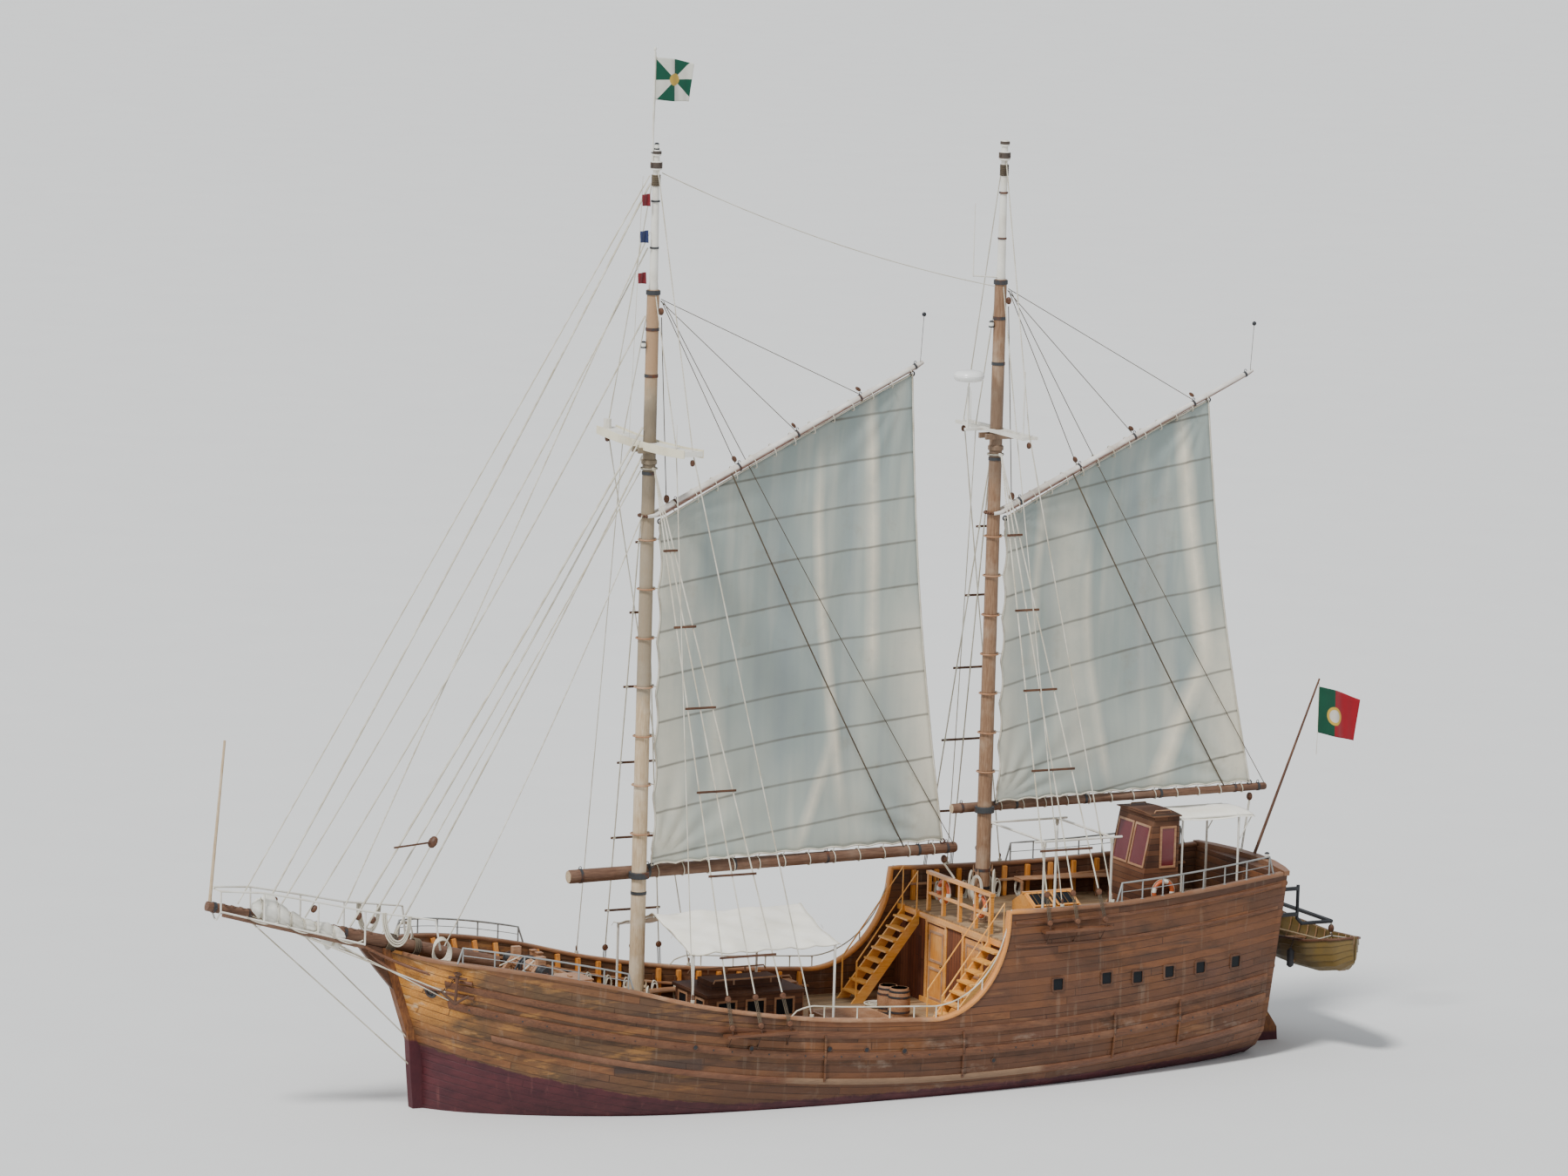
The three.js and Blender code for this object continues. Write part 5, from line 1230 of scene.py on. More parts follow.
def make_topmast(name, x, top_z, replaces):
    mast = Shape()
    profile = [(0, 0.1), (0.02, 0.105), (0.05, TOPMAST_RADIUS), (0.85, 0.07), (0.86, 0.125), (0.915, 0.125),
               (0.92, 0.07), (0.955, 0.068), (0.96, 0.1), (0.985, 0.1), (1.0, 0.06)]
    mast.turned((x, 0, LOWER_HEAD_Z), (x, 0, top_z), profile, 24)
    mast.paint = 1
    for z in (LOWER_HEAD_Z + 0.9, LOWER_HEAD_Z + 1.9):
        mast.band((x, 0, z), UP, 0.02, 0.001, 0.07, 0.03)
    mast.paint = 2
    for drop, radius, half in ((TRUCK_IRON_DROP, 0.115, 0.07), (0.06, 0.091, 0.035)):
        mast.band((x, 0, top_z - drop), UP, half, 0.01, radius, 0.016)
    for a in (0.4, 1.9, 3.4, 5.0):
        out = Vector((math.cos(a), math.sin(a), 0))
        at = Vector((x, 0, top_z - TRUCK_IRON_DROP)) + out * 0.13
        mast.ring(at, 0.035, 0.01, (-out.y, out.x, 0), 12, 5)
    # Turns of rope under the head, where the stays are made fast
    mast.paint = 3
    for k in range(7):
        mast.ring((x, 0, top_z - 0.76 + 0.035 * k), 0.085, 0.018, steps=20, sides=6)
    mast.make(name, [WHITE, STEEL, HEAD_IRON, DARK_ROPE], smooth=35, replaces=replaces, slot="white_paint")


def make_masts():
    for name, x, deck_z, material, slot in (
            ("foremast_spar", FORE_X, WAIST_Z, FORE_MAST_WOOD, "pale_wood"),
            ("mainmast_spar", MAIN_X, QUARTERDECK_Z, MAIN_MAST_WOOD, "orange_varnish")):
        made = make_lower_mast(name, x, deck_z, material)
        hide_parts("foremast" if x > 0 else "mainmast")
    make_topmast("fore_topmast_spar", FORE_X, FORE_TRUCK_Z, ["fore_topmast"])
    make_topmast("main_topmast_spar", MAIN_X, MAIN_TRUCK_Z, ["main_topmast"])
    # Boards along both faces of the fore spreader, which sags a little at the mast
    boards = Shape()
    for x in (FORE_X - 0.243, FORE_X + 0.213):
        rings = []
        for y, up in ((-2.13, 0.02), (-1.2, -0.03), (0, -0.05), (1.2, -0.03), (2.13, 0.02)):
            low, high = HOUNDS_Z + up - 0.035, HOUNDS_Z + up + 0.145
            rings.append([(x, y, low), (x + 0.03, y, low), (x + 0.03, y, high), (x, y, high)])
        boards.loft(rings)
    boards.make("fore_spreader_boards", [SPREADER_PAINT], bevel=0.005, slot="white_paint")
    pole = Shape()
    foot = (FORE_X + 0.095, 0, FORE_TRUCK_Z - 0.38)
    pole.turned(foot, (FORE_X + 0.095, 0, FLAGSTAFF_Z),
                [(0, 0.024), (0.97, 0.018), (0.975, 0.032), (0.99, 0.032), (1, 0.01)], 12)
    pole.paint = 1
    for z in (FORE_TRUCK_Z - 0.3, FORE_TRUCK_Z - 0.06):
        pole.ring((FORE_X + 0.095, 0, z), 0.03, 0.012, steps=14, sides=6)
    pole.make("flagpole", [WHITE, STEEL], slot="white_paint")


# Rigs: a boom, a gaff and a sail each, which swing about their mast
Rig = namedtuple("Rig", "label body mast boom_fore boom_aft boom_radii throat_end peak_end gaff_radii "
                        "tack clew peak throat belly")
RIGS = [
    Rig("fore", "fore_rig", FORE_X, Vector((5.77, -0.36, 4.72)), Vector((-3.7, -0.36, 4.82)), (0.15, 0.12),
        Vector((4.11, 0, 12.6)), Vector((-2.33, 0, 15.69)), (0.095, 0.06),
        Vector((3.96, 0, 4.93)), Vector((-3.33, -0.3, 4.99)), Vector((-2.08, 0, 15.44)),
        Vector((3.96, 0, 12.44)), -0.33),
    Rig("main", "main_rig", MAIN_X, Vector((-3.55, -0.33, 5.69)), Vector((-11.56, -0.33, 5.76)),
        (0.11, 0.085), Vector((-4.34, 0, 12.33)), Vector((-10.65, 0, 15.25)), (0.09, 0.055),
        Vector((-4.49, 0, 5.83)), Vector((-11.12, -0.29, 5.87)), Vector((-9.54, 0, 14.62)),
        Vector((-4.49, 0, 12.17)), -0.3),
]
SAIL_HOLLOW, SAIL_EDGE_BELLY = 0.17, 0.35
HOOP_COUNT = 7
# Small puckers that fan out from the sail's corners: corner, number of waves and their height
Fan = namedtuple("Fan", "across up waves size")
FANS = [Fan(0, 1, 22, 0.05), Fan(0, 0, 18, 0.045), Fan(1, 0, 16, 0.05), Fan(1, 1, 16, 0.035)]
# Folds of each sail. middle, wave, lean, width: shares of the way across. low, high: where it starts
# and ends, as shares of the way up. rise: metres out of the cloth. light: strength of the painted
# highlight along the fold, or of painted shade where it is below 0.
Fold = namedtuple("Fold", "middle wave rate phase lean width rise light low high")
FOLDS = {
    "fore": [
        Fold(0.81, 0.02, 4.0, 4.0, 0.0, 0.034, 0.075, 0.9, 0.4, 0.97),
        Fold(0.64, 0.02, 5.0, 1.0, 0.0, 0.028, 0.06, 0.85, 0.14, 0.9),
        Fold(0.5, 0.0, 0.0, 0.0, 0.55, 0.03, 0.045, 0.7, 0.03, 0.24),
        Fold(0.73, 0.03, 4.0, 4.0, 0.0, 0.045, -0.06, -0.35, 0.2, 0.95),
        Fold(0.44, 0.05, 3.0, 0.0, 0.0, 0.09, -0.045, -0.4, 0.2, 0.95),
        Fold(0.22, 0.05, 3.0, 2.0, 0.0, 0.05, 0.04, 0.35, 0.1, 0.7),
        Fold(0.02, 0.01, 9.0, 0.0, 0.0, 0.16, 0.0, 0.55, 0.0, 0.98),
        Fold(1.0, 0.0, 0.0, 0.0, -0.1, 0.14, 0.0, 0.6, 0.0, 0.5),
    ],
    "main": [
        Fold(0.87, 0.01, 4.0, 1.0, 0.0, 0.05, 0.075, 1.0, 0.34, 0.97),
        Fold(0.62, 0.0, 0.0, 0.0, 0.72, 0.055, 0.06, 1.0, 0.03, 0.34),
        Fold(0.93, 0.0, 0.0, 0.0, 0.0, 0.13, 0.0, 0.5, 0.0, 0.32),
        Fold(0.76, 0.02, 4.0, 1.0, 0.0, 0.05, -0.06, -0.35, 0.25, 0.95),
        Fold(0.6, 0.04, 3.0, 0.0, 0.0, 0.1, -0.045, -0.4, 0.3, 0.97),
        Fold(0.42, 0.03, 5.0, 2.0, 0.0, 0.03, 0.04, 0.55, 0.05, 0.75),
        Fold(0.3, 0.03, 3.0, 1.0, 0.0, 0.13, 0.03, 0.5, 0.1, 0.95),
        Fold(0.17, 0.02, 5.0, 2.0, 0.0, 0.03, 0.04, 0.45, 0.45, 0.98),
        Fold(0.02, 0.01, 9.0, 0.0, 0.0, 0.12, 0.0, 0.45, 0.0, 0.98),
        Fold(1.0, 0.0, 0.0, 0.0, -0.1, 0.13, 0.0, 0.6, 0.0, 0.45),
    ],
}


def sail_point(rig, across, up):
    """The sail's middle surface: across from luff to leech, up from foot to head, both 0 to 1."""
    foot = rig.tack.lerp(rig.clew, across)
    head = rig.throat.lerp(rig.peak, across)
    p = foot.lerp(head, up)
    here = SAIL_EDGE_BELLY + (1 - SAIL_EDGE_BELLY) * 4 * up * (1 - up)
    p.y += rig.belly * 4 * across * (1 - across) * here
    p.x += SAIL_HOLLOW * across ** 3 * math.sin(math.pi * up)
    return p


def ridge(value, middle, width):
    return math.exp(-((value - middle) / width) ** 2)


def dressed_sail_point(rig, across, up):
    """sail_point with folds: upright ones by the leech, fans at the corners, and scallops at the hoops."""
    p = sail_point(rig, across, up)
    inner = math.sin(math.pi * across) ** 0.5 if 0 < across < 1 else 0
    tall = math.sin(math.pi * up) ** 0.5 if 0 < up < 1 else 0
    upright = 0.0
    for fold in FOLDS[rig.label]:
        middle = fold.middle + fold.lean * up + fold.wave * math.sin(fold.rate * up + fold.phase)
        height = ridge(up, (fold.low + fold.high) / 2, fold.high - fold.low)
        upright += fold.rise * ridge(across, middle, fold.width) * height
    p.y += upright * tall * inner
    for fan in FANS:
        da, du = abs(across - fan.across) * 7.0, abs(up - fan.up) * 9.0
        away = math.hypot(da, du)
        angle = math.atan2(du, da + 1e-6)
        p.y += fan.size * math.exp(-away / 1.8) * min(away, 1) * math.sin(fan.waves * angle)
    p.y += 0.045 * tall * inner * noise.noise(Vector((across * 5, up * 6, rig.mast)))
    scallop = abs(math.sin(math.pi * (HOOP_COUNT - 1) * (up - 0.05) / 0.9)) if 0.03 < up < 0.97 else 0
    p.x -= 0.07 * scallop * max(1 - across * 9, 0) ** 2
    p.z += 0.05 * abs(math.sin(math.pi * 12 * across)) * max(1 - up * 14, 0) ** 2
    return p


def on_spar(start, end, radii, x):
    """The point on a spar's axis at x, and the spar's radius there."""
    share = (x - start.x) / (end.x - start.x)
    return start.lerp(end, share), radii[0] + (radii[1] - radii[0]) * share


def make_bolt_rope(rig, points):
    """Rope around the sail's edge, with iron thimbles at the corners."""
    edge = Shape()
    outline = ([row[0] for row in points] + points[-1][1:] + [row[-1] for row in reversed(points[:-1])]
               + list(reversed(points[0][1:-1])))
    edge.tube(outline, 0.02, 6, closed=True)
    edge.paint = 1
    for corner in (points[0][0], points[0][-1], points[-1][0], points[-1][-1]):
        edge.ring(corner, 0.05, 0.016, PORT, 16, 6)
    return edge.make(f"{rig.label}_sail_bolt_rope", [ROPE, STEEL], rig.body, smooth=60, slot="rope")


def make_hoops(rig):
    """Hoops on the mast, each seized to the luff, and loops around the gaff and the boom."""
    hoops = Shape()
    for z in spread(rig.tack.z + 0.7, rig.throat.z - 0.4, HOOP_COUNT):
        hoops.paint = 0
        r = mast_radius_at(z) + 0.041
        hoops.tube([(rig.mast + r * math.cos(a), r * math.sin(a), z + 0.017) for a in around(28)], 0.018, 8,
                   closed=True)
        hoops.paint = 1
        up = (z + 0.017 - rig.tack.z) / (rig.throat.z - rig.tack.z)
        luff = dressed_sail_point(rig, 0, min(max(up, 0), 1))
        back = Vector((rig.mast - r, 0, z))
        hoops.tube([back + UP * 0.03, luff.lerp(back, 0.4), luff], 0.014, 6)
        hoops.ring(back + UP * 0.017, 0.035, 0.01, (0, 1, 0.3), 12, 5)
    for a in spread(0.06, 0.99, 13):
        head = dressed_sail_point(rig, a, 1)
        on_gaff, gaff_r = on_spar(rig.throat_end, rig.peak_end, rig.gaff_radii, head.x)
        reach = (on_gaff - head).length / 2 + gaff_r * 0.55
        hoops.ring((on_gaff + head) / 2, reach, 0.011, (1, 0, -0.45), 16, 5)
    for a in spread(0.04, 0.97, 12):
        foot = dressed_sail_point(rig, a, 0)
        on_boom, boom_r = on_spar(rig.boom_fore, rig.boom_aft, rig.boom_radii, foot.x)
        reach = boom_r + 0.014
        loop = [on_boom + Vector((0.02 * math.sin(b), reach * math.cos(b), reach * math.sin(b)))
                for b in spread(math.radians(70), math.radians(430), 15)]
        hoops.tube([foot] + loop + [foot], 0.011, 5)
    return hoops.make(f"{rig.label}_sail_hoops", [RAIL_WOOD, ROPE], rig.body, smooth=60, slot="rope")


def make_sail(rig, material):
    points = [[dressed_sail_point(rig, across, up) for across in spread(0, 1, 72)]
              for up in spread(0, 1, 84)]
    sheet = Shape()
    sheet.sheet(points)
    made = sheet.make(f"{rig.label}_sail_cloth", [material], rig.body, smooth=180, thick=0.006,
                      replaces=[f"{rig.label}_sail"], slot="canvas")
    pieces = [make_bolt_rope(rig, points), make_hoops(rig)]


def collar(shape, rig, z, tall):
    """A band around the mast with room to turn."""
    inner, outer = mast_radius_at(z) + 0.008, mast_radius_at(z) + 0.062
    section = ((inner, 0), (outer - 0.01, 0), (outer, 0.01), (outer, tall - 0.01), (outer - 0.01, tall),
               (inner, tall))
    rings = []
    for a in around(32):
        out = Vector((math.cos(a), math.sin(a), 0))
        rings.append([Vector((rig.mast, 0, z)) + out * r + UP * h for r, h in section])
    shape.loft(rings, looped=True)


def make_boom(rig):
    fore, aft = rig.boom_fore, rig.boom_aft
    along = (aft - fore).normalized()
    r0, r1 = rig.boom_radii
    boom = Shape()
    taper = [(t, r0 + (r1 - r0) * t) for t in spread(0.05, 0.95, 12)]
    boom.turned(fore, aft, [(0, r0 * 0.9), (0.004, r0)] + taper + [(0.996, r1), (1, r1 * 0.85)], 24)
    boom_z = on_spar(fore, aft, rig.boom_radii, rig.mast)[0].z
    boom.box((rig.mast - 0.07, fore.y, boom_z - 0.05),
             (rig.mast + 0.07, -mast_radius_at(boom_z) - 0.02, boom_z + 0.05))
    boom.paint = 1
    collar(boom, rig, boom_z - 0.07, 0.14)
    for t in (0.03, 0.2, 0.42, 0.66, 0.9, 0.975):
        at, r = fore.lerp(aft, t), r0 + (r1 - r0) * t
        boom.band(at, along, 0.03, 0.001, r, 0.01)
        boom.ring(at + UP * (r + 0.03), 0.03, 0.009, PORT, 12, 5)
    boom.paint = 2
    boom.turned(fore - along * 0.004, fore, [(0, r0 * 0.86), (1, r0 * 0.89)], 24)
    boom.make(f"{rig.label}_boom_spar", [BOOM_WOOD, STEEL, PALE], rig.body, smooth=35,
              replaces=[f"{rig.label}_boom"], slot="dark_wood")


def make_gaff(rig):
    throat, peak = rig.throat_end, rig.peak_end
    along = (peak - throat).normalized()
    r0, r1 = rig.gaff_radii
    gaff = Shape()
    start = throat + Vector((-0.13, 0, 0.03))
    taper = [(t, r0 + (r1 - r0) * t) for t in spread(0.1, 0.9, 9)]
    gaff.turned(start, peak, [(0, r0 * 0.9), (0.01, r0)] + taper + [(0.98, r1), (1, r1 * 0.7)], 20)
    # Jaws on both sides of the mast
    mast_r = mast_radius_at(throat.z)
    for side in (1, -1):
        arm = [start + along * 0.35 + PORT * (side * 0.06), start + Vector((0.05, side * 0.1, -0.01)),
               Vector((rig.mast - mast_r * 0.55, side * (mast_r + 0.05), throat.z)),
               Vector((rig.mast + mast_r * 0.6, side * (mast_r + 0.045), throat.z - 0.02))]
        gaff.tube(arm, [0.05, 0.055, 0.045, 0.035], 10)
    gaff.paint = 1
    for t in (0.06, 0.3, 0.52, 0.76, 0.97):
        at, r = start.lerp(peak, t), r0 + (r1 - r0) * t
        gaff.band(at, along, 0.025, 0.001, r, 0.009, 20)
        gaff.ring(at + UP * (r + 0.028), 0.028, 0.008, PORT, 12, 5)
    # Parrel beads around the mast's fore side
    gaff.paint = 2
    for a in spread(math.radians(-75), math.radians(75), 9):
        gaff.ball((rig.mast + (mast_r + 0.05) * math.cos(a), (mast_r + 0.05) * math.sin(a), throat.z - 0.02),
                  0.034, 6, 10)
    gaff.make(f"{rig.label}_gaff_spar", [gaff_paint_and_shade(f"{rig.label}_gaff_paint", rig), STEEL, DARK], rig.body,
              smooth=35, replaces=[f"{rig.label}_gaff"], slot="pale_wood")


def block(shape, at, size=0.09, along=(0, 0, 1)):
    """A wooden pulley block."""
    at, along = Vector(at), Vector(along).normalized()
    across = along.orthogonal().normalized()
    over = along.cross(across)
    rings = []
    for t, wide in ((-1, 0.3), (-0.8, 0.65), (-0.3, 0.9), (0.3, 0.9), (0.8, 0.65), (1, 0.3)):
        ring = [across * math.cos(a) * 0.5 + over * math.sin(a) * 0.85 for a in around(10)]
        rings.append([at + along * t * size + out * wide * size for out in ring])
    shape.loft(rings)


# Shrouds: a channel on the ship's side, deadeyes with lanyards, the legs, and battens to climb by
Gang = namedtuple("Gang", "label mast feet channel_z battens")
GANGS = [
    Gang("fore", FORE_X, (3.5, 2.8, 2.1), 1.78, (3.4, 5.1, 6.85, 8.6, 10.3, 11.9)),
    Gang("main", MAIN_X, (-4.3, -5.0, -5.7), 3.52, (5.2, 6.9, 8.6, 10.3, 11.9)),
]


def shroud_leg(rig, foot_x, channel_z, foot, top, side):
    """One leg: rope, lanyards between two deadeyes, and the chain plate below them."""
    along = (top - foot).normalized()
    low, high = foot + along * 0.16, foot + along * 0.78
    rig.paint = 1
    rig.tube([high + along * 0.08, top], 0.016, 8)
    rig.paint = 4
    for turn in (-1, 0, 1):
        shift = AHEAD * (0.032 * turn)
        rig.tube([low + shift, high + shift], 0.009, 6)
    rig.paint = 2
    half = PORT * (side * 0.036)
    for at in (low, high):
        rig.turned(at - half, at + half, [(0, 0.05), (0.15, 0.063), (0.85, 0.063), (1, 0.05)], 14)
    rig.paint = 3
    for at in (low, high):
        rig.ring(at, 0.065, 0.009, PORT, 16, 5)
    plate_low = outside(foot_x, channel_z - 0.32, side) + outward(foot_x, channel_z, side) * 0.012
    rig.tube([low, foot, plate_low], 0.011, 6)
    rig.ball(plate_low, 0.024, 6, 8)


def make_shroud_battens(gang, label, side, legs):
    steps = Shape()
    for z in gang.battens:
        ends = [foot + (top - foot) * ((z - foot.z) / (top.z - foot.z)) for foot, top in (legs[0], legs[-1])]
        reach = (ends[0] - ends[1]).normalized() * 0.07
        out = PORT * (side * 0.025)
        steps.paint = 0
        steps.beam(ends[0] + reach + out, ends[1] - reach + out, 0.035, 0.05)
        steps.paint = 1
        for end in ends:
            steps.ring(end, 0.03, 0.009, (0.2, 0, 1), 12, 5)
    steps.make(f"{gang.label}_shroud_battens_{label}", [DARK, ROPE], bevel=0.006, slot="dark_wood")


def make_shrouds():
    for gang in GANGS:
        ahead, abaft = gang.feet[0] + 0.15, gang.feet[-1] - 0.15
        low_z = gang.channel_z - 0.06
        inner = max(half_at(x, z) for x in (ahead, abaft) for z in (low_z, gang.channel_z)) + 0.006
        for label, side in SIDES.items():
            rig = Shape()
            y0, y1 = sorted((side * inner, side * (inner + 0.23)))
            rig.box((abaft, y0, low_z), (ahead, y1, gang.channel_z))
            top = Vector((gang.mast - 0.02, side * (MAST_RADIUS + 0.06), HOUNDS_Z - 0.5))
            legs = [(Vector((x, side * (inner + 0.17), gang.channel_z)), top) for x in gang.feet]
            for foot_x, (foot, top) in zip(gang.feet, legs):
                shroud_leg(rig, foot_x, gang.channel_z, foot, top, side)
            # Seizings that gather the legs under the hounds
            rig.paint = 1
            rig.ring((gang.mast, 0, HOUNDS_Z - 0.5), mast_radius_at(HOUNDS_Z) + 0.03,
                     0.022, steps=24, sides=6)
            rig.tube([(gang.mast - 0.02, side * 0.14, HOUNDS_Z - 0.5), top], 0.04, 8)
            rig.make(f"{gang.label}_shrouds_rope_{label}", [WALE_WOOD, ROPE, WALE_WOOD, RUST, DARK_ROPE],
                     smooth=35, replaces=[f"{gang.label}_shrouds_{label}"], slot="rope")
            make_shroud_battens(gang, label, side, legs)


# Lines of the ship: from, to, radius before it is scaled, and sag at the middle
Line = namedtuple("Line", "start end radius sag")
SHIP_LINE_SCALE = 1.4


def on_bowsprit(x, y=0.0, up=0.0):
    return Vector((x, y, bowsprit_z(x) + up))


def stay_foot(x, up=0.17, y=0.0):
    return on_bowsprit(x, y, up)


# Blocks at the feet of the stays: x, and how far up the stay
STAY_BLOCKS = [(13.05, 0.42), (12.1, 0.4), (11.05, 0.42), (10.7, 0.4)]


SHIP_LINES = [
    Line(stay_foot(13.05), (FORE_X + 0.14, 0.03, 19.75), 0.015, 0.18),
    Line(stay_foot(12.75), (FORE_X + 0.14, -0.03, 18.35), 0.011, 0.35),
    Line(stay_foot(12.1), (FORE_X + 0.2, 0.04, 16.9), 0.012, 0.3),
    Line(stay_foot(11.05), (FORE_X + 0.2, 0.05, 14.5), 0.017, 0.12),
    Line(stay_foot(10.7), (FORE_X + 0.2, -0.06, 14.2), 0.014, 0.2),
    Line(stay_foot(10.05, 0.2, 0.1), (FORE_X + 0.2, 0.08, 13.9), 0.014, 0.15),
    Line((9.0, 0.35, 3.55), (FORE_X + 0.18, 0.1, 12.6), 0.009, 0.3),
    Line((FORE_X - 0.14, 0.0, 19.95), (MAIN_X + 0.14, 0.0, 17.3), 0.008, 0.25),
]


def pair(start, end, radius, sag):
    """The same line on both sides."""
    return [Line((start[0], s * start[1], start[2]), (end[0], s * end[1], end[2]), radius, sag)
            for s in (1, -1)]


# Halyards over each spreader, down to belaying pins in the cap rail
Spreader = namedtuple("Spreader", "mast half rail_x pin_x")
SPREADERS = [Spreader(FORE_X, 2.08, 1.5, 4.3), Spreader(MAIN_X, 1.5, -6.05, -4.75)]
PIN_FEET = []
for spreader in SPREADERS:
    mast, half = spreader.mast, spreader.half
    on_rail = outside(spreader.rail_x, rail_z(spreader.rail_x), 1, 0.06) + UP * 0.1
    on_pin = outside(spreader.pin_x, rail_z(spreader.pin_x), 1, 0.09) + UP * 0.1
    PIN_FEET += [on_rail, on_pin]
    SHIP_LINES += pair((mast, 0.08, 20.05), (mast, half, HOUNDS_Z + 0.12), 0.009, 0.0)
    SHIP_LINES += pair((mast, half, HOUNDS_Z + 0.12), on_rail, 0.01, 0.05)
    SHIP_LINES += pair((mast, 0.1, LOWER_HEAD_Z - 0.05), (mast, half * 0.62, HOUNDS_Z + 0.08), 0.009, 0.0)
    SHIP_LINES += pair((mast, half * 0.62, HOUNDS_Z + 0.08), on_pin, 0.008, 0.06)


def lay_line(shape, line, radius, steps):
    """A line with its sag, or two points where it is taut."""
    points = sagging(line.start, line.end, line.sag, steps) if line.sag else [line.start, line.end]
    shape.tube(points, radius, 6)


def make_ship_lines():
    ropes, blocks = Shape(), Shape()
    for line in SHIP_LINES:
        lay_line(ropes, line, line.radius * SHIP_LINE_SCALE, 14)
    for x, up in STAY_BLOCKS:
        base = on_bowsprit(x)
        toward = (Vector((FORE_X, 0, 17)) - base).normalized()
        block(blocks, base + toward * up, 0.085, toward)
    for spreader in SPREADERS:
        for side in (1, -1):
            block(blocks, (spreader.mast, side * spreader.half, HOUNDS_Z - 0.12), 0.07)
            block(blocks, (spreader.mast - 0.1, side * 0.2, LOWER_HEAD_Z - 0.45), 0.08)
    # Block with its toggle on the lower stay, seen part way up it
    foot, head = stay_foot(10.3), Vector((FORE_X + 0.197, 0, 13.56))
    toggle = foot.lerp(head, 0.195)
    block(blocks, toggle, 0.13, head - foot)
    blocks.beam(toggle, toggle + Vector((0.95, 0.1, -0.05)), 0.035, 0.035)
    # Belaying pins in the cap rail, with turns of the line around them
    for foot in PIN_FEET:
        for side in (1, -1):
            at = Vector((foot.x, side * foot.y, foot.z))
            blocks.turned(at - UP * 0.14, at + UP * 0.16,
                          [(0, 0.014), (0.45, 0.018), (0.5, 0.03), (0.56, 0.018),
                           (0.9, 0.026), (1, 0.012)], 10)
            for k in range(3):
                ropes.ring(at + UP * (0.02 * k - 0.01), 0.034, 0.012, steps=12, sides=5)
    ropes.make("stays_and_halyards", [ROPE], smooth=60, slot="rope")
    blocks.make("rigging_blocks", [DARK], smooth=45, slot="dark_wood")


def make_rig_lines(rig, tackle):
    """Lifts, halyards and vangs that swing with a rig."""
    ropes = Shape()
    fore, aft = rig.boom_fore, rig.boom_aft
    throat, peak = rig.throat_end, rig.peak_end
    masthead = Vector((rig.mast - 0.19, 0, LOWER_HEAD_Z - 0.25))
    aerial_head = peak + Vector((0.03, 0.05, 1.05))

    def on_gaff(share):
        return throat.lerp(peak, share)

    for line in (
            Line(aft.lerp(fore, 0.012) + Vector((0, 0.1, 0.1)), masthead + PORT * 0.12, 0.009, 0.12),
            Line(on_gaff(0.3) + UP * 0.1, masthead + PORT * 0.03, 0.009, 0.0),
            Line(on_gaff(0.52) + UP * 0.1, masthead - PORT * 0.03, 0.009, 0.0),
            Line(on_gaff(0.76) + UP * 0.09, masthead + UP * 0.04, 0.009, 0.0),
            Line(throat + Vector((-0.3, 0, 0.16)), masthead + Vector((-0.02, 0, -0.35)), 0.01, 0.0),
            # A dark rope close to the sail's near face stands for the shadow of a line behind the sail, seen
            # through the cloth: painted shadow
            Line(on_gaff(0.28) + Vector((0, 0.1, -0.04)), fore.lerp(aft, 0.86) + Vector((0, 0.06, 0.1)),
                 0.016, 0.1),
            Line(peak + Vector((0.08, 0.03, 0)), aerial_head, 0.006, 0.0)):
        lay_line(ropes, line, line.radius, 12)
    ropes.make(f"{rig.label}_rig_lines", [DARK_ROPE], rig.body, smooth=60, slot="rope")
    blocks = Shape()
    for share in (0.3, 0.52, 0.76):
        block(blocks, on_gaff(share) + Vector((0.03, 0, 0.2)), 0.07, masthead - on_gaff(share))
    block(blocks, throat + Vector((-0.3, 0, 0.32)), 0.085)
    block(blocks, fore.lerp(aft, tackle.share) - UP * (rig.boom_radii[1] + 0.13), 0.09)
    blocks.paint = 1
    blocks.ball(aerial_head, 0.05, 6, 10)
    blocks.make(f"{rig.label}_rig_blocks", [DARK, BLACK], rig.body, smooth=45, slot="dark_wood")


# Sheets: tackles from the deck up to the boom
Tackle = namedtuple("Tackle", "label body foot share")
TACKLES = [Tackle("fore", "fore_rig", (-3.66, -0.3, 4.13), 0.97),
           Tackle("main", "main_rig", (-10.98, -0.3, 4.3), 0.95)]


def make_tackles():
    for tackle, rig in zip(TACKLES, RIGS):
        on_boom = rig.boom_fore.lerp(rig.boom_aft, tackle.share)
        high = on_boom - UP * (rig.boom_radii[1] + 0.22)
        low = Vector(tackle.foot)
        ropes = Shape()
        for k in range(4):
            off = Vector((0.018 * math.cos(k * 1.6), 0.018 * math.sin(k * 1.6), 0))
            ropes.tube([low.lerp(high, t) + off for t in spread(0, 1, 12)], 0.009, 6)
        made = ropes.make(f"{tackle.label}_sheet_falls", [ROPE], body=None, smooth=60, slot="rope")
        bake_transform(made)


make_masts()
for rig in RIGS:
    make_sail(rig, canvas(f"{rig.label}_canvas", rig))
    make_boom(rig)
    make_gaff(rig)
for rig, tackle in zip(RIGS, TACKLES):
    make_rig_lines(rig, tackle)
make_shrouds()
make_ship_lines()
make_tackles()


# Bowsprit with its irons and treads, stays below it, and the headsail furled beside it
BOWSPRIT_HEEL_X, BOWSPRIT_TIP_X, BOWSPRIT_RADII = 7.6, 14.36, (0.165, 0.105)
BOWSPRIT_IRONS = (11.2, 12.25, 13.4, 14.2)


def bowsprit_radius(x):
    heel, tip = BOWSPRIT_RADII
    return heel + (tip - heel) * (x - BOWSPRIT_HEEL_X) / (BOWSPRIT_TIP_X - BOWSPRIT_HEEL_X)


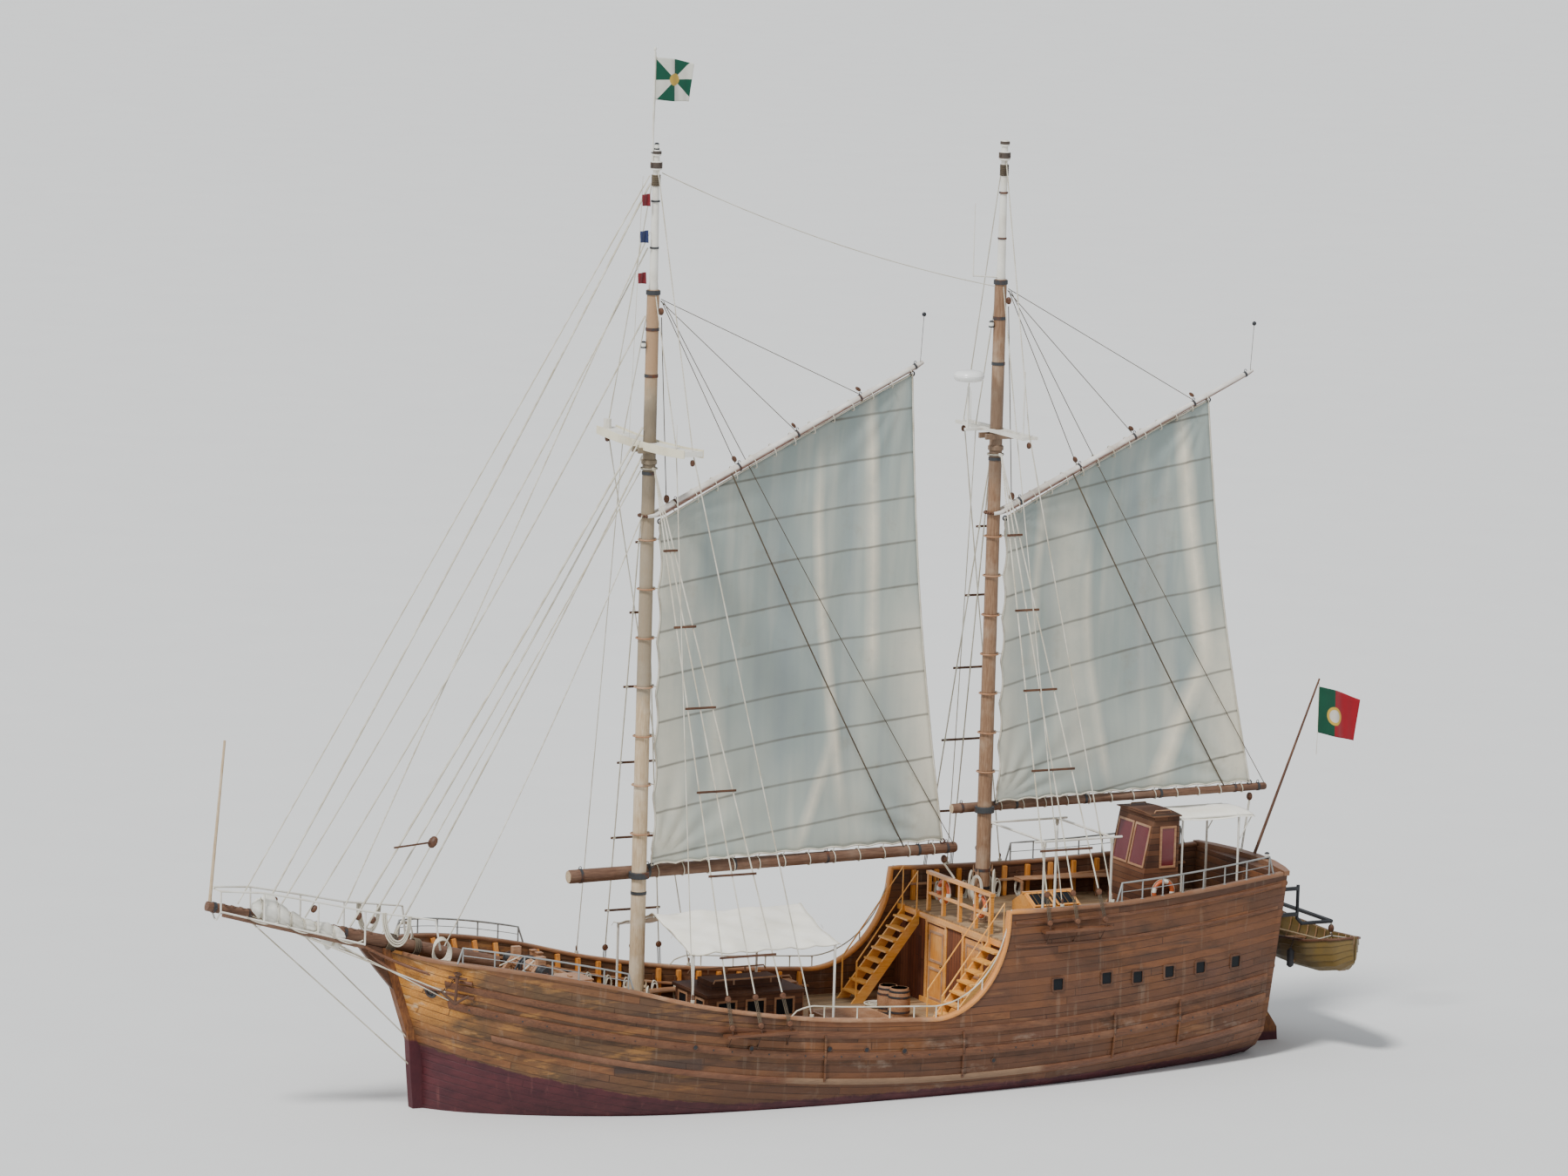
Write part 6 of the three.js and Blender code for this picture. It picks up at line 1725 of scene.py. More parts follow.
PULPIT_SIDE = [(14.15, 0.27), (13.2, 0.38), (12.0, 0.48), (10.95, 0.56)]


def pulpit_half(x):
    rows = sorted(PULPIT_SIDE)
    for (x0, y0), (x1, y1) in zip(rows, rows[1:]):
        if x <= x1:
            return y0 + (y1 - y0) * (x - x0) / (x1 - x0)
    return rows[-1][1]


def pulpit_low(x):
    """The lower bar of the pulpit, above or below the spar's axis."""
    return -0.1 + (x - 10.95) * 0.06 / 3.2


def make_bowsprit():
    spar = Shape()
    xs = spread(BOWSPRIT_HEEL_X, BOWSPRIT_TIP_X, 20)
    spar.tube([on_bowsprit(x) for x in xs], [bowsprit_radius(x) for x in xs], 24)
    spar.paint = 1
    for x in BOWSPRIT_IRONS:
        r = bowsprit_radius(x)
        spar.band(on_bowsprit(x), (1, 0, BOWSPRIT_RISE), 0.035, 0.001, r, 0.012)
        for side in (1, -1):
            spar.ring(on_bowsprit(x, side * (r + 0.03)), 0.03, 0.009, (0, 0.2, 1), 12, 5)
    spar.make("bowsprit_spar", [BOOM_WOOD, STEEL], smooth=35, replaces=["bowsprit"], slot="dark_wood")
    # Treads on top of the spar, and a board under the lower bar of the pulpit on each side
    walk = Shape()
    for x in spread(10.6, 13.95, 18):
        half, up = bowsprit_radius(x) * 0.75, bowsprit_radius(x) * 0.9
        walk.beam(on_bowsprit(x, -half, up), on_bowsprit(x, half, up), 0.06, 0.04, up=(-BOWSPRIT_RISE, 0, 1))
    for side in (1, -1):
        path = [on_bowsprit(x, side * pulpit_half(x), pulpit_low(x) - 0.058)
                for x in spread(10.97, 14.12, 9)]
        for start, end in zip(path, path[1:]):
            walk.beam(start, end, 0.05, 0.075)
    walk.make("bowsprit_walkway", [BOOM_WOOD], bevel=0.006, slot="dark_wood")


def make_bow_ropes():
    ropes = Shape()
    # Bobstays from the stem to the bowsprit, and shrouds out to the ship's shoulders
    far, near = BOWSPRIT_IRONS[2], BOWSPRIT_IRONS[1]
    for x, low in ((far, 0.75), (near, 1.35)):
        ropes.tube([on_bowsprit(x, 0, -bowsprit_radius(x)), (stem_x(low) + 0.03, 0, low)], 0.016, 7)
    for side in (1, -1):
        shoulder = outside(8.9, 2.75, side) + outward(8.9, 2.75, side) * 0.02
        ropes.tube([on_bowsprit(far, side * 0.11), shoulder], 0.014, 7)
        ropes.tube([on_bowsprit(near, side * 0.12), shoulder + Vector((-0.2, 0, -0.25))], 0.012, 7)
        # Loops of mooring line over the side
        for k, x in enumerate((11.35, 12.35, 13.25)):
            half = side * (pulpit_half(x) + 0.02)
            start, end = on_bowsprit(x - 0.36, half, -0.02), on_bowsprit(x + 0.36, half, -0.02)
            ropes.tube(sagging(start, end, 0.12 - 0.02 * k, 14), 0.016, 6)
        # Bights of white line that hang from the handrail
        for k in range(3):
            start = Vector((10.6 - 0.04 * k, side * 0.66, 4.42))
            end = Vector((10.0 + 0.03 * k, side * 0.79, 4.33))
            drop = Vector((0, side * 0.03, -0.9 + 0.07 * k))
            bight = [start, start + drop, end + drop, end]
            ropes.tube([bend(bight, t) for t in spread(0, 1, 20)], 0.02, 6)
        # Rope coil on the bow rail
        for k in range(6):
            middle = Vector((9.35, side * (0.93 + 0.014 * k), 3.62 - 0.02 * k))
            ropes.oval(middle, AHEAD * (0.17 + 0.01 * k), UP * (0.25 + 0.01 * k), 20, 0.017, 6)
    ropes.make("bow_ropes", [ROPE], smooth=60, slot="rope")


# Sections of the furled headsail: place along, beside and above the bowsprit, and half sizes
Bundle = namedtuple("Bundle", "x y up wide tall")
BUNDLES = [
    Bundle(11.33, 0.31, -0.04, 0.09, 0.09), Bundle(11.48, 0.31, -0.08, 0.145, 0.24),
    Bundle(11.75, 0.305, -0.09, 0.145, 0.28), Bundle(11.93, 0.3, 0.03, 0.14, 0.13),
    Bundle(12.08, 0.3, 0.04, 0.135, 0.14), Bundle(12.4, 0.285, 0.02, 0.12, 0.2),
    Bundle(12.7, 0.27, 0.11, 0.11, 0.23), Bundle(12.95, 0.255, 0.215, 0.102, 0.32),
    Bundle(13.13, 0.25, 0.225, 0.096, 0.31), Bundle(13.3, 0.24, 0.2, 0.09, 0.2),
    Bundle(13.42, 0.235, 0.19, 0.06, 0.08),
]
TIE_XS = (11.6, 12.0, 12.27, 12.57, 12.85, 13.22)
TIED_SHARE = 0.76


def bundle_at(x):
    for a, b in zip(BUNDLES, BUNDLES[1:]):
        if x <= b.x:
            t = max((x - a.x) / (b.x - a.x), 0)
            return [p + (q - p) * t for p, q in zip(a, b)]
    return list(BUNDLES[-1])


def make_headsail():
    sail = Shape()
    rings = []
    for x in spread(BUNDLES[0].x, BUNDLES[-1].x, 72):
        _, y, up, wide, tall = bundle_at(x)
        squeeze = 1 - (1 - TIED_SHARE) * max(ridge(x, tie, 0.045) for tie in TIE_XS)
        ring = []
        for a in around(36):
            lump = noise.noise(Vector((x * 4, math.cos(a) * 1.3, math.sin(a) * 1.3)))
            fold = 0.96 + 0.1 * math.sin(5 * a + 4 * x) + 0.07 * math.sin(11 * a - 12 * x) + 0.2 * lump
            reach = squeeze * fold
            ring.append(on_bowsprit(x, y + wide * reach * math.cos(a), up + tall * reach * math.sin(a)))
        rings.append(ring)
    sail.loft(rings)
    made = sail.make("headsail_bundle", [WHITE_SAIL], smooth=70, replaces=["furled_headsail"], slot="canvas")
    gaskets = Shape()
    for tie in TIE_XS:
        _, y, up, wide, tall = bundle_at(tie)
        half_wide, half_tall = wide * TIED_SHARE + 0.01, tall * TIED_SHARE + 0.01
        for x in (tie - 0.014, tie + 0.014):
            gaskets.oval(on_bowsprit(x, y, up), PORT * half_wide, UP * half_tall, 24, 0.011, 6)
        gaskets.tube([on_bowsprit(tie, y, up + tall * TIED_SHARE),
                      on_bowsprit(tie + 0.03, y + 0.05, up + tall * 0.95),
                      on_bowsprit(tie + 0.05, y + 0.09, up + tall * 0.6)], 0.008, 5)
    gaskets.make("headsail_gaskets", [ROPE], slot="rope")


# Cloths: the awnings and the flags
AWNING_AFT_X, AWNING_FORE_X, AWNING_HALF = 0.3, 3.9, 1.9
AWNING_RIDGE_Z, AWNING_KNEE_Y, AWNING_KNEE_Z, AWNING_EDGE_Z = 3.85, 1, 3.56, 3.31
AFT_AWNING_XS, AFT_AWNING_HALF = (-10.7, -8.76), 0.76
AFT_POLE_XS, AFT_POLE_Y = (-8.86, -10.3), 0.7


def make_awning():
    def roof(y):
        """Height of the poles under the cloth: from the ridge to the knee, and on to the edge."""
        y = abs(y)
        if y < AWNING_KNEE_Y:
            return AWNING_RIDGE_Z + (AWNING_KNEE_Z - AWNING_RIDGE_Z) * y / AWNING_KNEE_Y
        past = (y - AWNING_KNEE_Y) / (AWNING_HALF - AWNING_KNEE_Y)
        return AWNING_KNEE_Z + (AWNING_EDGE_Z - AWNING_KNEE_Z) * past

    rows = []
    for x in spread(AWNING_AFT_X, AWNING_FORE_X, 44):
        along = (x - AWNING_AFT_X) / (AWNING_FORE_X - AWNING_AFT_X)
        ends = 0.1 * ridge(along, 0, 0.05) + 0.1 * ridge(along, 1, 0.05)
        gather = abs(math.sin(math.pi * 6 * along))
        row = []
        for y in spread(-AWNING_HALF, AWNING_HALF, 56):
            sag = 0.075 * abs(math.sin(math.pi * 3 * along)) * (1 - abs(y) / 2.4) * (0.4 if y else 0.1)
            pull = 0.05 * ridge(abs(y), AWNING_HALF, 0.25) * gather
            crease = 0.012 * math.sin(9 * y + 5 * x) + 0.022 * noise.noise(Vector((x * 1.6, y * 1.6, 4)))
            scallop = 0.4 * ends * abs(math.sin(1.65 * y))
            inward = 0.06 * math.sin(math.pi * (abs(y) / AWNING_HALF)) * (abs(along - 0.5) * 2) ** 4
            row.append(Vector((x + math.copysign(inward, 0.5 - along), y * (1 - 0.012 * gather),
                               roof(y) + 0.02 - sag + crease - pull - scallop)))
        rows.append(row)
    sheet = Shape()
    sheet.sheet(rows)
    made = sheet.make("awning_cloth", [CREAM], smooth=180, thick=0.004, replaces=["awning"],
                      slot="cream_cloth")
    hem = Shape()
    outline = (rows[0] + [r[-1] for r in rows[1:]] + list(reversed(rows[-1][:-1]))
               + [r[0] for r in reversed(rows[1:-1])])
    hem.tube(outline, 0.012, 6, closed=True)
    for y in (-AWNING_HALF, -1.0, 1.0, AWNING_HALF):
        for x, reach in ((AWNING_AFT_X, -0.048), (AWNING_FORE_X, 0.048)):
            hem.tube([(x, y, roof(y) + 0.02), (x + reach, y * 1.01, roof(y) - 0.06)], 0.006, 5)
    rope_piece = hem.make("awning_hem", [ROPE], smooth=60, slot="rope")


def make_aft_awning():
    rows = []
    for x in spread(*AFT_AWNING_XS, 26):
        row = []
        for y in spread(-AFT_AWNING_HALF, AFT_AWNING_HALF, 24):
            roof = 5.362 + 0.055 * math.cos(math.pi * y / (2 * AFT_AWNING_HALF))
            sag = 0.03 * abs(math.sin(2.18 * (x - AFT_POLE_XS[0])))
            crease = 0.016 * noise.noise(Vector((x * 3, y * 3, 2)))
            row.append(Vector((x, y, roof - sag + crease - 0.05 * ridge(abs(y), AFT_AWNING_HALF, 0.12))))
        rows.append(row)
    sheet = Shape()
    sheet.sheet(rows)
    made = sheet.make("aft_awning_cloth", [CREAM], smooth=180, thick=0.004, replaces=["aft_awning"],
                      slot="cream_cloth")
    poles = Shape()
    for x in AFT_POLE_XS:
        for y in (-AFT_POLE_Y, AFT_POLE_Y):
            poles.turned((x, y, QUARTERDECK_Z), (x, y, 5.35), [(0, 0.05), (0.012, 0.05), (0.014, 0.026),
                         (0.985, 0.026), (0.99, 0.034), (1, 0.03)], 14)
        poles.tube([(x, -0.72, 5.345), (x, 0, 5.4), (x, 0.72, 5.345)], 0.018, 8)
    for y in (-AFT_POLE_Y, AFT_POLE_Y):
        poles.tube([(-8.8, y, 5.335), (-10.67, y, 5.34)], 0.018, 8)
        poles.tube([(AFT_POLE_XS[1], y, 4.75), (-10.64, y, 5.32)], 0.015, 8)
    frame_piece = poles.make("aft_awning_poles", [WHITE], smooth=35, slot="white_paint")


Flag = namedtuple("Flag", "name node hoist fly tall wave material slot")
FLAGS = [
    Flag("ensign_cloth", "ensign", ENSIGN_HOIST, (-1.08, 0, -0.26), 1.05, 0.09, ENSIGN, "red_flag"),
    Flag("masthead_flag_cloth", "masthead_flag", MASTHEAD_FLAG_HOIST, (-MASTHEAD_FLAG_WIDE, 0, -0.06), 0.9,
         0.08, MASTHEAD, "green_flag"),
]


def flag_rows(flag):
    """A flag's cloth: rows from the hoist's top down, each from the hoist out to the fly."""
    hoist, fly = Vector(flag.hoist), Vector(flag.fly)
    rows = []
    for down in spread(0, 1, 30):
        row = []
        for out in spread(0, 1, 44):
            p = hoist + fly * out * (0.97 - 0.05 * down) - UP * (flag.tall * down)
            p.y += flag.wave * out * math.sin(2.1 * math.pi * out - 1.2 * down + 0.4)
            p.y += 0.25 * flag.wave * out * math.sin(6.2 * math.pi * out - 2 * down)
            p.z -= 0.07 * flag.tall * out ** 2 * (1 - 0.6 * down) - 0.02 * math.sin(5 * out + 3 * down) * out
            row.append(p)
        rows.append(row)
    return rows


def make_flags():
    for flag in FLAGS:
        rows = flag_rows(flag)
        sheet = Shape()
        sheet.sheet(rows)
        made = sheet.make(flag.name, [flag.material], smooth=180, thick=0.003,
                          replaces=[flag.node], slot=flag.slot)
        line = Shape()
        top, low = rows[0][0], rows[-1][0]
        line.tube([top + Vector((0.012, 0, 0.12))] + [r[0] + AHEAD * 0.004 for r in rows[::5]]
                  + [low, low + Vector((0.012, 0, -0.5))], 0.007, 6)
        for corner in (top, low):
            line.ball(corner, 0.018, 6, 8)
        line.make(flag.name.replace("cloth", "halyard"), [ROPE], slot="rope")


# Signal flags on a line ahead of the fore topmast: share of the way down the line, and height
SignalFlag = namedtuple("SignalFlag", "share high material")
SIGNAL_FLAGS = [SignalFlag(0.07, 0.24, RED_CLOTH), SignalFlag(0.21, 0.24, BLUE_CLOTH),
                SignalFlag(0.37, 0.22, RED_CLOTH)]


def make_signals():
    line = Shape()
    top, low = Vector((FORE_X + 0.36, 0.1, 19.9)), Vector((FORE_X + 0.55, 0.12, 14.3))
    line.tube([top, low], 0.006, 5)
    line.make("signal_line", [ROPE], slot="rope")
    for number, flag in enumerate(SIGNAL_FLAGS):
        start = top.lerp(low, flag.share)
        rows = [[start + Vector((-0.2 * out, 0.03 * math.sin(6 * out + down),
                                 -flag.high * down + 0.03 * (0.5 - down) * out))
                 for out in spread(0, 1, 14)] for down in spread(0, 1, 10)]
        small = Shape()
        small.sheet(rows)
        made = small.make(f"signal_flag_{number + 1}", [flag.material], smooth=180,
                          thick=0.003, slot="red_flag")


# Tender across the stern: clinker planks, rubbing strake, thwarts, and a small outboard
TENDER_X, TENDER_Y = -12.23, 0.35
TENDER_HALF, TENDER_BEAM = 2.35, 0.72
TENDER_BOTTOM, TENDER_SHEER = 1.8, 2.45
TENDER_STRAKES = 5
THWART_YS, THWART_Z, OAR_XS = (-0.5, 0.9), 2.18, ((0.3, 0.34), (-0.3, -0.34))
FENDER_YS, DAVIT_YS = (-0.9, 1.2), (-1.45, 1.65)
# Stations from the transom, -1, to the stem, 1: share of the beam, rise of the bottom, lift of the rail
TenderRow = namedtuple("TenderRow", "along wide rise lift")
TENDER_ROWS = [TenderRow(-1, 0.62, 0.19, 0.24), TenderRow(-0.55, 0.92, 0.06, 0.09),
               TenderRow(0, 1, 0, 0.04), TenderRow(0.5, 0.88, 0.04, 0.13),
               TenderRow(0.82, 0.5, 0.18, 0.26), TenderRow(1, 0.06, 0.42, 0.36)]
# Outboard's cowling from below: half width, half depth, height
COWLING = [(0.2, 0.26, 0.0), (0.27, 0.36, 0.06), (0.29, 0.4, 0.2), (0.24, 0.36, 0.29), (0.12, 0.2, 0.33)]
COWLING_OUTLINE = ((-0.5, -0.3), (-0.35, -0.5), (0.35, -0.5), (0.5, -0.3),
                   (0.5, 0.4), (0.3, 0.55), (-0.3, 0.55), (-0.5, 0.4))
FIN_OUTLINE = ((-0.01, 0.1), (0.01, 0.1), (0.03, -0.05), (0, -0.16), (-0.03, -0.05))


def tender_row(along):
    for a, b in zip(TENDER_ROWS, TENDER_ROWS[1:]):
        if along <= b.along:
            t = (along - a.along) / (b.along - a.along)
            smooth = t * t * (3 - 2 * t) * 0.35 + t * 0.65
            return [p + (q - p) * smooth for p, q in zip(a[1:], b[1:])]
    return list(TENDER_ROWS[-1][1:])


def tender_wide(y):
    """Half breadth of the tender's rail at y."""
    return tender_row((y - TENDER_Y) / TENDER_HALF)[0] * TENDER_BEAM


def tender_section(along, inset=0.0, lap=0.0):
    """Points across the tender at one station, from rail to rail, as stepped planks where lap is above 0."""
    wide, rise, lift = tender_row(along)
    half = max(TENDER_BEAM * wide - inset, 0.014)
    low, high = TENDER_BOTTOM + rise + inset, TENDER_SHEER + lift
    y = TENDER_Y + along * (TENDER_HALF - inset)
    side = []
    for k in range(TENDER_STRAKES):
        for share, step in ((k / TENDER_STRAKES, lap if k else 0.0), ((k + 0.94) / TENDER_STRAKES, 0.0)):
            reach = half * (0.34 + 0.66 * math.sin(share * math.pi / 2) ** 0.75) + step
            side.append((reach, low + (high - low) * share ** 1.25))
    side.append((half, high))
    left = [Vector((TENDER_X - reach, y, z)) for reach, z in reversed(side)]
    return left + [Vector((TENDER_X + reach, y, z)) for reach, z in side]


def make_tender():
    stations = spread(-1, 1, 34)
    boat = Shape()
    outer = [tender_section(s, lap=0.02) for s in stations]
    inner = [tender_section(s, 0.035) for s in stations]
    boat.loft([o + list(reversed(i)) for o, i in zip(outer, inner)])
    boat.add(outer[0], [tuple(range(len(outer[0])))])
    # Transom board and gunwales
    boat.paint = 1
    aft = tender_section(-1, 0.02)
    boat.loft([[p + PORT * inset for p in aft] for inset in (0.02, 0.07)])
    for index, sign in ((0, -1), (-1, 1)):
        rail = [tender_section(s)[index] + Vector((sign * 0.012, 0, -0.02)) for s in stations]
        boat.tube(rail, 0.032, 8)
    # Ribs, thwarts with their knees, and the bottom board
    boat.paint = 2
    for s in spread(-0.9, 0.9, 13):
        rib = [p + (Vector((TENDER_X, p.y, p.z)) - p) * 0.045 + UP * 0.01 for p in tender_section(s, 0.06)]
        boat.tube(rib, 0.013, 5)
    for y in THWART_YS:
        wide = tender_wide(y) - 0.06
        boat.box((TENDER_X - wide, y - 0.13, THWART_Z), (TENDER_X + wide, y + 0.13, THWART_Z + 0.033))
        for k in (-wide, wide):
            boat.beam((TENDER_X + k * 0.8, y, 1.95), (TENDER_X + k * 0.95, y, THWART_Z), 0.05, 0.04)
    boat.box((TENDER_X - 0.09, -1.7, 1.95), (TENDER_X + 0.09, 2.2, 1.97))
    boat.make("tender_boat", [YELLOW, DARK, RAIL_WOOD], smooth=35, bevel=0.004, replaces=["tender"],
              slot="yellow_paint")


def make_outboard():
    """A small outboard motor tipped up on the tender's transom."""
    motor = Shape()
    aft_y = TENDER_Y - TENDER_HALF
    motor.loft([[Vector((TENDER_X + x * wide, aft_y - 0.12 + y * deep, 2.62 + z))
                 for x, y in COWLING_OUTLINE]
                for wide, deep, z in COWLING])
    motor.tube([(TENDER_X, aft_y - 0.1, 2.63), (TENDER_X, aft_y - 0.13, 2.2),
                (TENDER_X, aft_y - 0.17, 1.86)],
               [0.06, 0.045, 0.055], 12)
    motor.loft([[Vector((TENDER_X + x, aft_y - 0.14 + y, z)) for x, y in FIN_OUTLINE] for z in (1.95, 1.97)])
    motor.paint = 1
    motor.box((TENDER_X - 0.1, aft_y - 0.08, 2.38), (TENDER_X + 0.1, aft_y + 0.08, 2.6))
    motor.tube([(TENDER_X, aft_y, 2.6), (TENDER_X + 0.02, aft_y + 0.35, 2.72),
                (TENDER_X + 0.02, aft_y + 0.55, 2.72)],
               0.018, 8)
    motor.make("tender_outboard", [BLACK, GRAY], smooth=50, bevel=0.006, slot="steel")


def make_tender_gear():
    """Oars, a coil of line and two fenders."""
    gear = Shape()
    for aft_x, fore_x in OAR_XS:
        start, end = Vector((TENDER_X + aft_x, -1.55, 2.25)), Vector((TENDER_X + fore_x, 1.75, 2.42))
        gear.turned(start, end, [(0, 0.02), (0.03, 0.022), (0.7, 0.02), (0.75, 0.03),
                                 (0.95, 0.05), (1, 0.03)], 10)
    gear.paint = 1
    for k in range(5):
        gear.ring((TENDER_X + 0.05, 1.45, 2.06 + 0.02 * k), 0.2 - 0.015 * (k % 2),
                  0.014, (0.1, 0.05 * k, 1), 24, 6)
    gear.paint = 2
    for y in FENDER_YS:
        at = tender_section((y - TENDER_Y) / TENDER_HALF)[-1] + Vector((0.11, 0, -0.42))
        head = at + UP * 0.2
        gear.turned(at - UP * 0.24, head,
                    [(0, 0.03), (0.1, 0.08), (0.85, 0.08), (0.95, 0.035), (1, 0.02)], 14)
        gear.tube([head, at + Vector((-0.08, 0, 0.42))], 0.008, 5)
    gear.make("tender_gear", [PALE, ROPE, RUBBER], smooth=50, slot="pale_wood")


# Steering, screw and lookout gear
WHEEL_MIDDLE, WHEEL_RADIUS, WHEEL_SPOKES = Vector((-8.56, 0, 4.2)), 0.42, 8
SPOKE = [(0, 0.018), (0.12, 0.024), (0.25, 0.014), (0.4, 0.023), (0.55, 0.014), (0.66, 0.022), (0.76, 0.022),
         (0.8, 0.013), (0.88, 0.021), (0.96, 0.02), (1, 0.01)]
SCREW_MIDDLE, SCREW_RADIUS, SCREW_BLADES = Vector((-9.85, 0, -1.18)), 0.47, 3
DOME_FOOT = Vector((MAIN_X + 0.56, -0.29, 15.19))
DOME_PROFILE = [(0, 0.24), (0.06, 0.29), (0.2, 0.325), (0.45, 0.34), (0.5, 0.333),
                (0.52, 0.34), (0.7, 0.325), (0.88, 0.27), (0.97, 0.15), (1, 0.03)]


def make_wheel():
    wheel = Shape()
    wheel.oval(WHEEL_MIDDLE, PORT * WHEEL_RADIUS, UP * WHEEL_RADIUS, 48, 0.03, 10)
    wheel.ring(WHEEL_MIDDLE - AHEAD * 0.026, WHEEL_RADIUS, 0.013, AHEAD, 48, 6)
    for a in around(WHEEL_SPOKES):
        out = Vector((0, math.cos(a), math.sin(a)))
        wheel.turned(WHEEL_MIDDLE + out * 0.07, WHEEL_MIDDLE + out * 0.56, SPOKE, 10)
    wheel.paint = 1
    wheel.turned(WHEEL_MIDDLE - AHEAD * 0.05, WHEEL_MIDDLE + AHEAD * 0.06,
                 [(0, 0.04), (0.1, 0.085), (0.9, 0.085), (1, 0.05)])
    wheel.make("ships_wheel", [RAIL_WOOD, BRONZE], "helm", smooth=40, replaces=["helm_wheel"],
               slot="dark_wood")


def make_propeller():
    screw = Shape()
    screw.turned(SCREW_MIDDLE - AHEAD * 0.15, SCREW_MIDDLE + AHEAD * 0.15,
                 [(0, 0.02), (0.12, 0.06), (0.35, 0.095), (0.8, 0.1), (1, 0.09)], 24)
    for turn in around(SCREW_BLADES):
        a = turn + 0.5
        out, beside = Vector((0, math.cos(a), math.sin(a))), Vector((0, -math.sin(a), math.cos(a)))
        rings = []
        for t in spread(0.12, 1, 9):
            wide, thick = 0.17 * math.sin(math.pi * (0.22 + 0.76 * t)) ** 0.7, 0.016 * (1.1 - t)
            pitch = math.radians(62 - 34 * t)
            chord = AHEAD * math.sin(pitch) + beside * math.cos(pitch)
            face = AHEAD * math.cos(pitch) - beside * math.sin(pitch)
            at = SCREW_MIDDLE + out * SCREW_RADIUS * t
            rings.append([at + face * (thick * over) + chord * (wide * along) for over, along in
                          ((0, 1), (1, 0.3), (1, -0.4), (0, -0.9), (-1, -0.3), (-1, 0.3))])
        screw.loft(rings)
    screw.make("screw", [BRONZE], "propeller", smooth=50, replaces=["propeller"], slot="bronze")


def make_radar():
    dome = Shape()
    dome.turned(DOME_FOOT, DOME_FOOT + UP * 0.25, DOME_PROFILE, 40)
    dome.make("radar_scanner", [DOME], smooth=35, replaces=["radar_dome"], slot="white_plastic")
    aerials = Shape()
    whip = Vector((MAIN_X + 0.72, 0.05, 17.55))
    aerials.tube([(MAIN_X + 0.1, 0, 17.5), whip], 0.018, 8)
    aerials.tube([whip, whip + UP * 0.35, whip + UP * 1.6], [0.02, 0.014, 0.008], 8)
    for x, y, z, tall in ((MAIN_X, -1.2, HOUNDS_Z + 0.05, 0.7), (FORE_X, 1.3, HOUNDS_Z + 0.1, 0.5)):
        aerials.tube([(x, y, z), (x, y, z + 0.1), (x, y, z + tall)], [0.02, 0.014, 0.007], 8)
    aerials.make("aerials", [WHITE], smooth=50, slot="white_paint")


def make_lamps():
    """Lamps on the masts, and one on the taffrail: base, glass and cap."""
    lamps = Shape()
    stern_lamp = touch("taffrail", (-11.15, 0.55, 6.0), (0, 0, -1))
    for foot in ((FORE_X + 0.2, 0, 16.2), (MAIN_X + 0.2, 0, 16.4), (FORE_X, 0, FORE_TRUCK_Z), stern_lamp):
        foot = Vector(foot)
        for paint, low, high, profile in (
                (0, 0.0, 0.03, [(0, 0.06), (1, 0.065)]),
                (1, 0.03, 0.12, [(0, 0.05), (0.5, 0.055), (1, 0.05)]),
                (0, 0.12, 0.15, [(0, 0.062), (1, 0.03)])):
            lamps.paint = paint
            lamps.turned(foot + UP * low, foot + UP * high, profile, 14)
    lamps.make("running_lamps", [BLACK, LAMP_GLASS], smooth=40, slot="steel")


# CAD nodes that stay: (node, material, rounding)
KEPT = [
    ("backbone", STEM_PAINT, 0.01), ("forecastle", DECK, 0.006), ("quarterdeck", DECK, 0.006),
    ("cabin_front", PANEL_IN_PAINTED_SHADE, 0.006), ("cabin_door_port", ORANGE_UP, 0.006),
    ("cabin_door_starboard", ORANGE_UP, 0.006), ("breast_rail", ORANGE, 0.008),
    ("stair_port", STAIR_WOOD, 0.006), ("stair_starboard", STAIR_WOOD, 0.006),
    ("companion_house", HOUSE, 0.01), ("awning_frame", WHITE, 0.0), ("pulpit", WHITE, 0.0),
    ("jackstaff", FORE_MAST_WOOD, 0.0), ("fore_spreader", WHITE, 0.01), ("main_spreader", WHITE, 0.01),
    ("helm_shelter", HOUSE, 0.008), ("helm_pedestal", RAIL_WOOD, 0.012), ("ensign_staff", DARK_UP, 0.0),
    ("tender_davits", BLACK, 0.0),
    ("rudder", STEM_PAINT, 0.012), ("forestay_outer", ROPE, 0.0), ("forestay_inner", ROPE, 0.0),
    ("forestay_lower", ROPE, 0.0), ("anchor_port", RUST, 0.006), ("anchor_starboard", RUST, 0.006),
    ("transom", PLANKS, 0.006), ("taffrail", CAP_WOOD, 0.012),
]


def dress_nodes():
    for name, material, width in KEPT:
        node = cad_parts[name]
        node.data.materials.clear()
        node.data.materials.append(material)
        node.data.polygons.foreach_set("use_smooth", [True] * len(node.data.polygons))
        node.data.set_sharp_from_angle(angle=math.radians(35))
        if width:
            round_edges(node, width)


make_bowsprit()
make_bow_ropes()
make_headsail()
make_awning()
make_aft_awning()
make_flags()
make_signals()
make_tender()
make_outboard()
make_tender_gear()
make_wheel()
make_propeller()
make_radar()
make_lamps()
dress_nodes()


def transom_at(y, z):
    """A point on the transom's outer face."""
    return touch("transom", (-14.0, y, z), AHEAD)


# Forecastle: windlass, hatch, mooring bitts, ladders to the waist
WINDLASS_X, WINDLASS_AXLE_UP = 6.85, 0.46
# Mooring bitts: x, y on each side, height. The spacing is between the two posts of a pair.
BITTS = [(8.35, 1.15, 0.42), (5.6, 2.231, 0.4)]
BITTS_SPACING = 0.3
HATCH_AFT_X, HATCH_FORE_X, HATCH_HALF = 5.5, 6.25, 0.42
LADDER_Y = 1.75
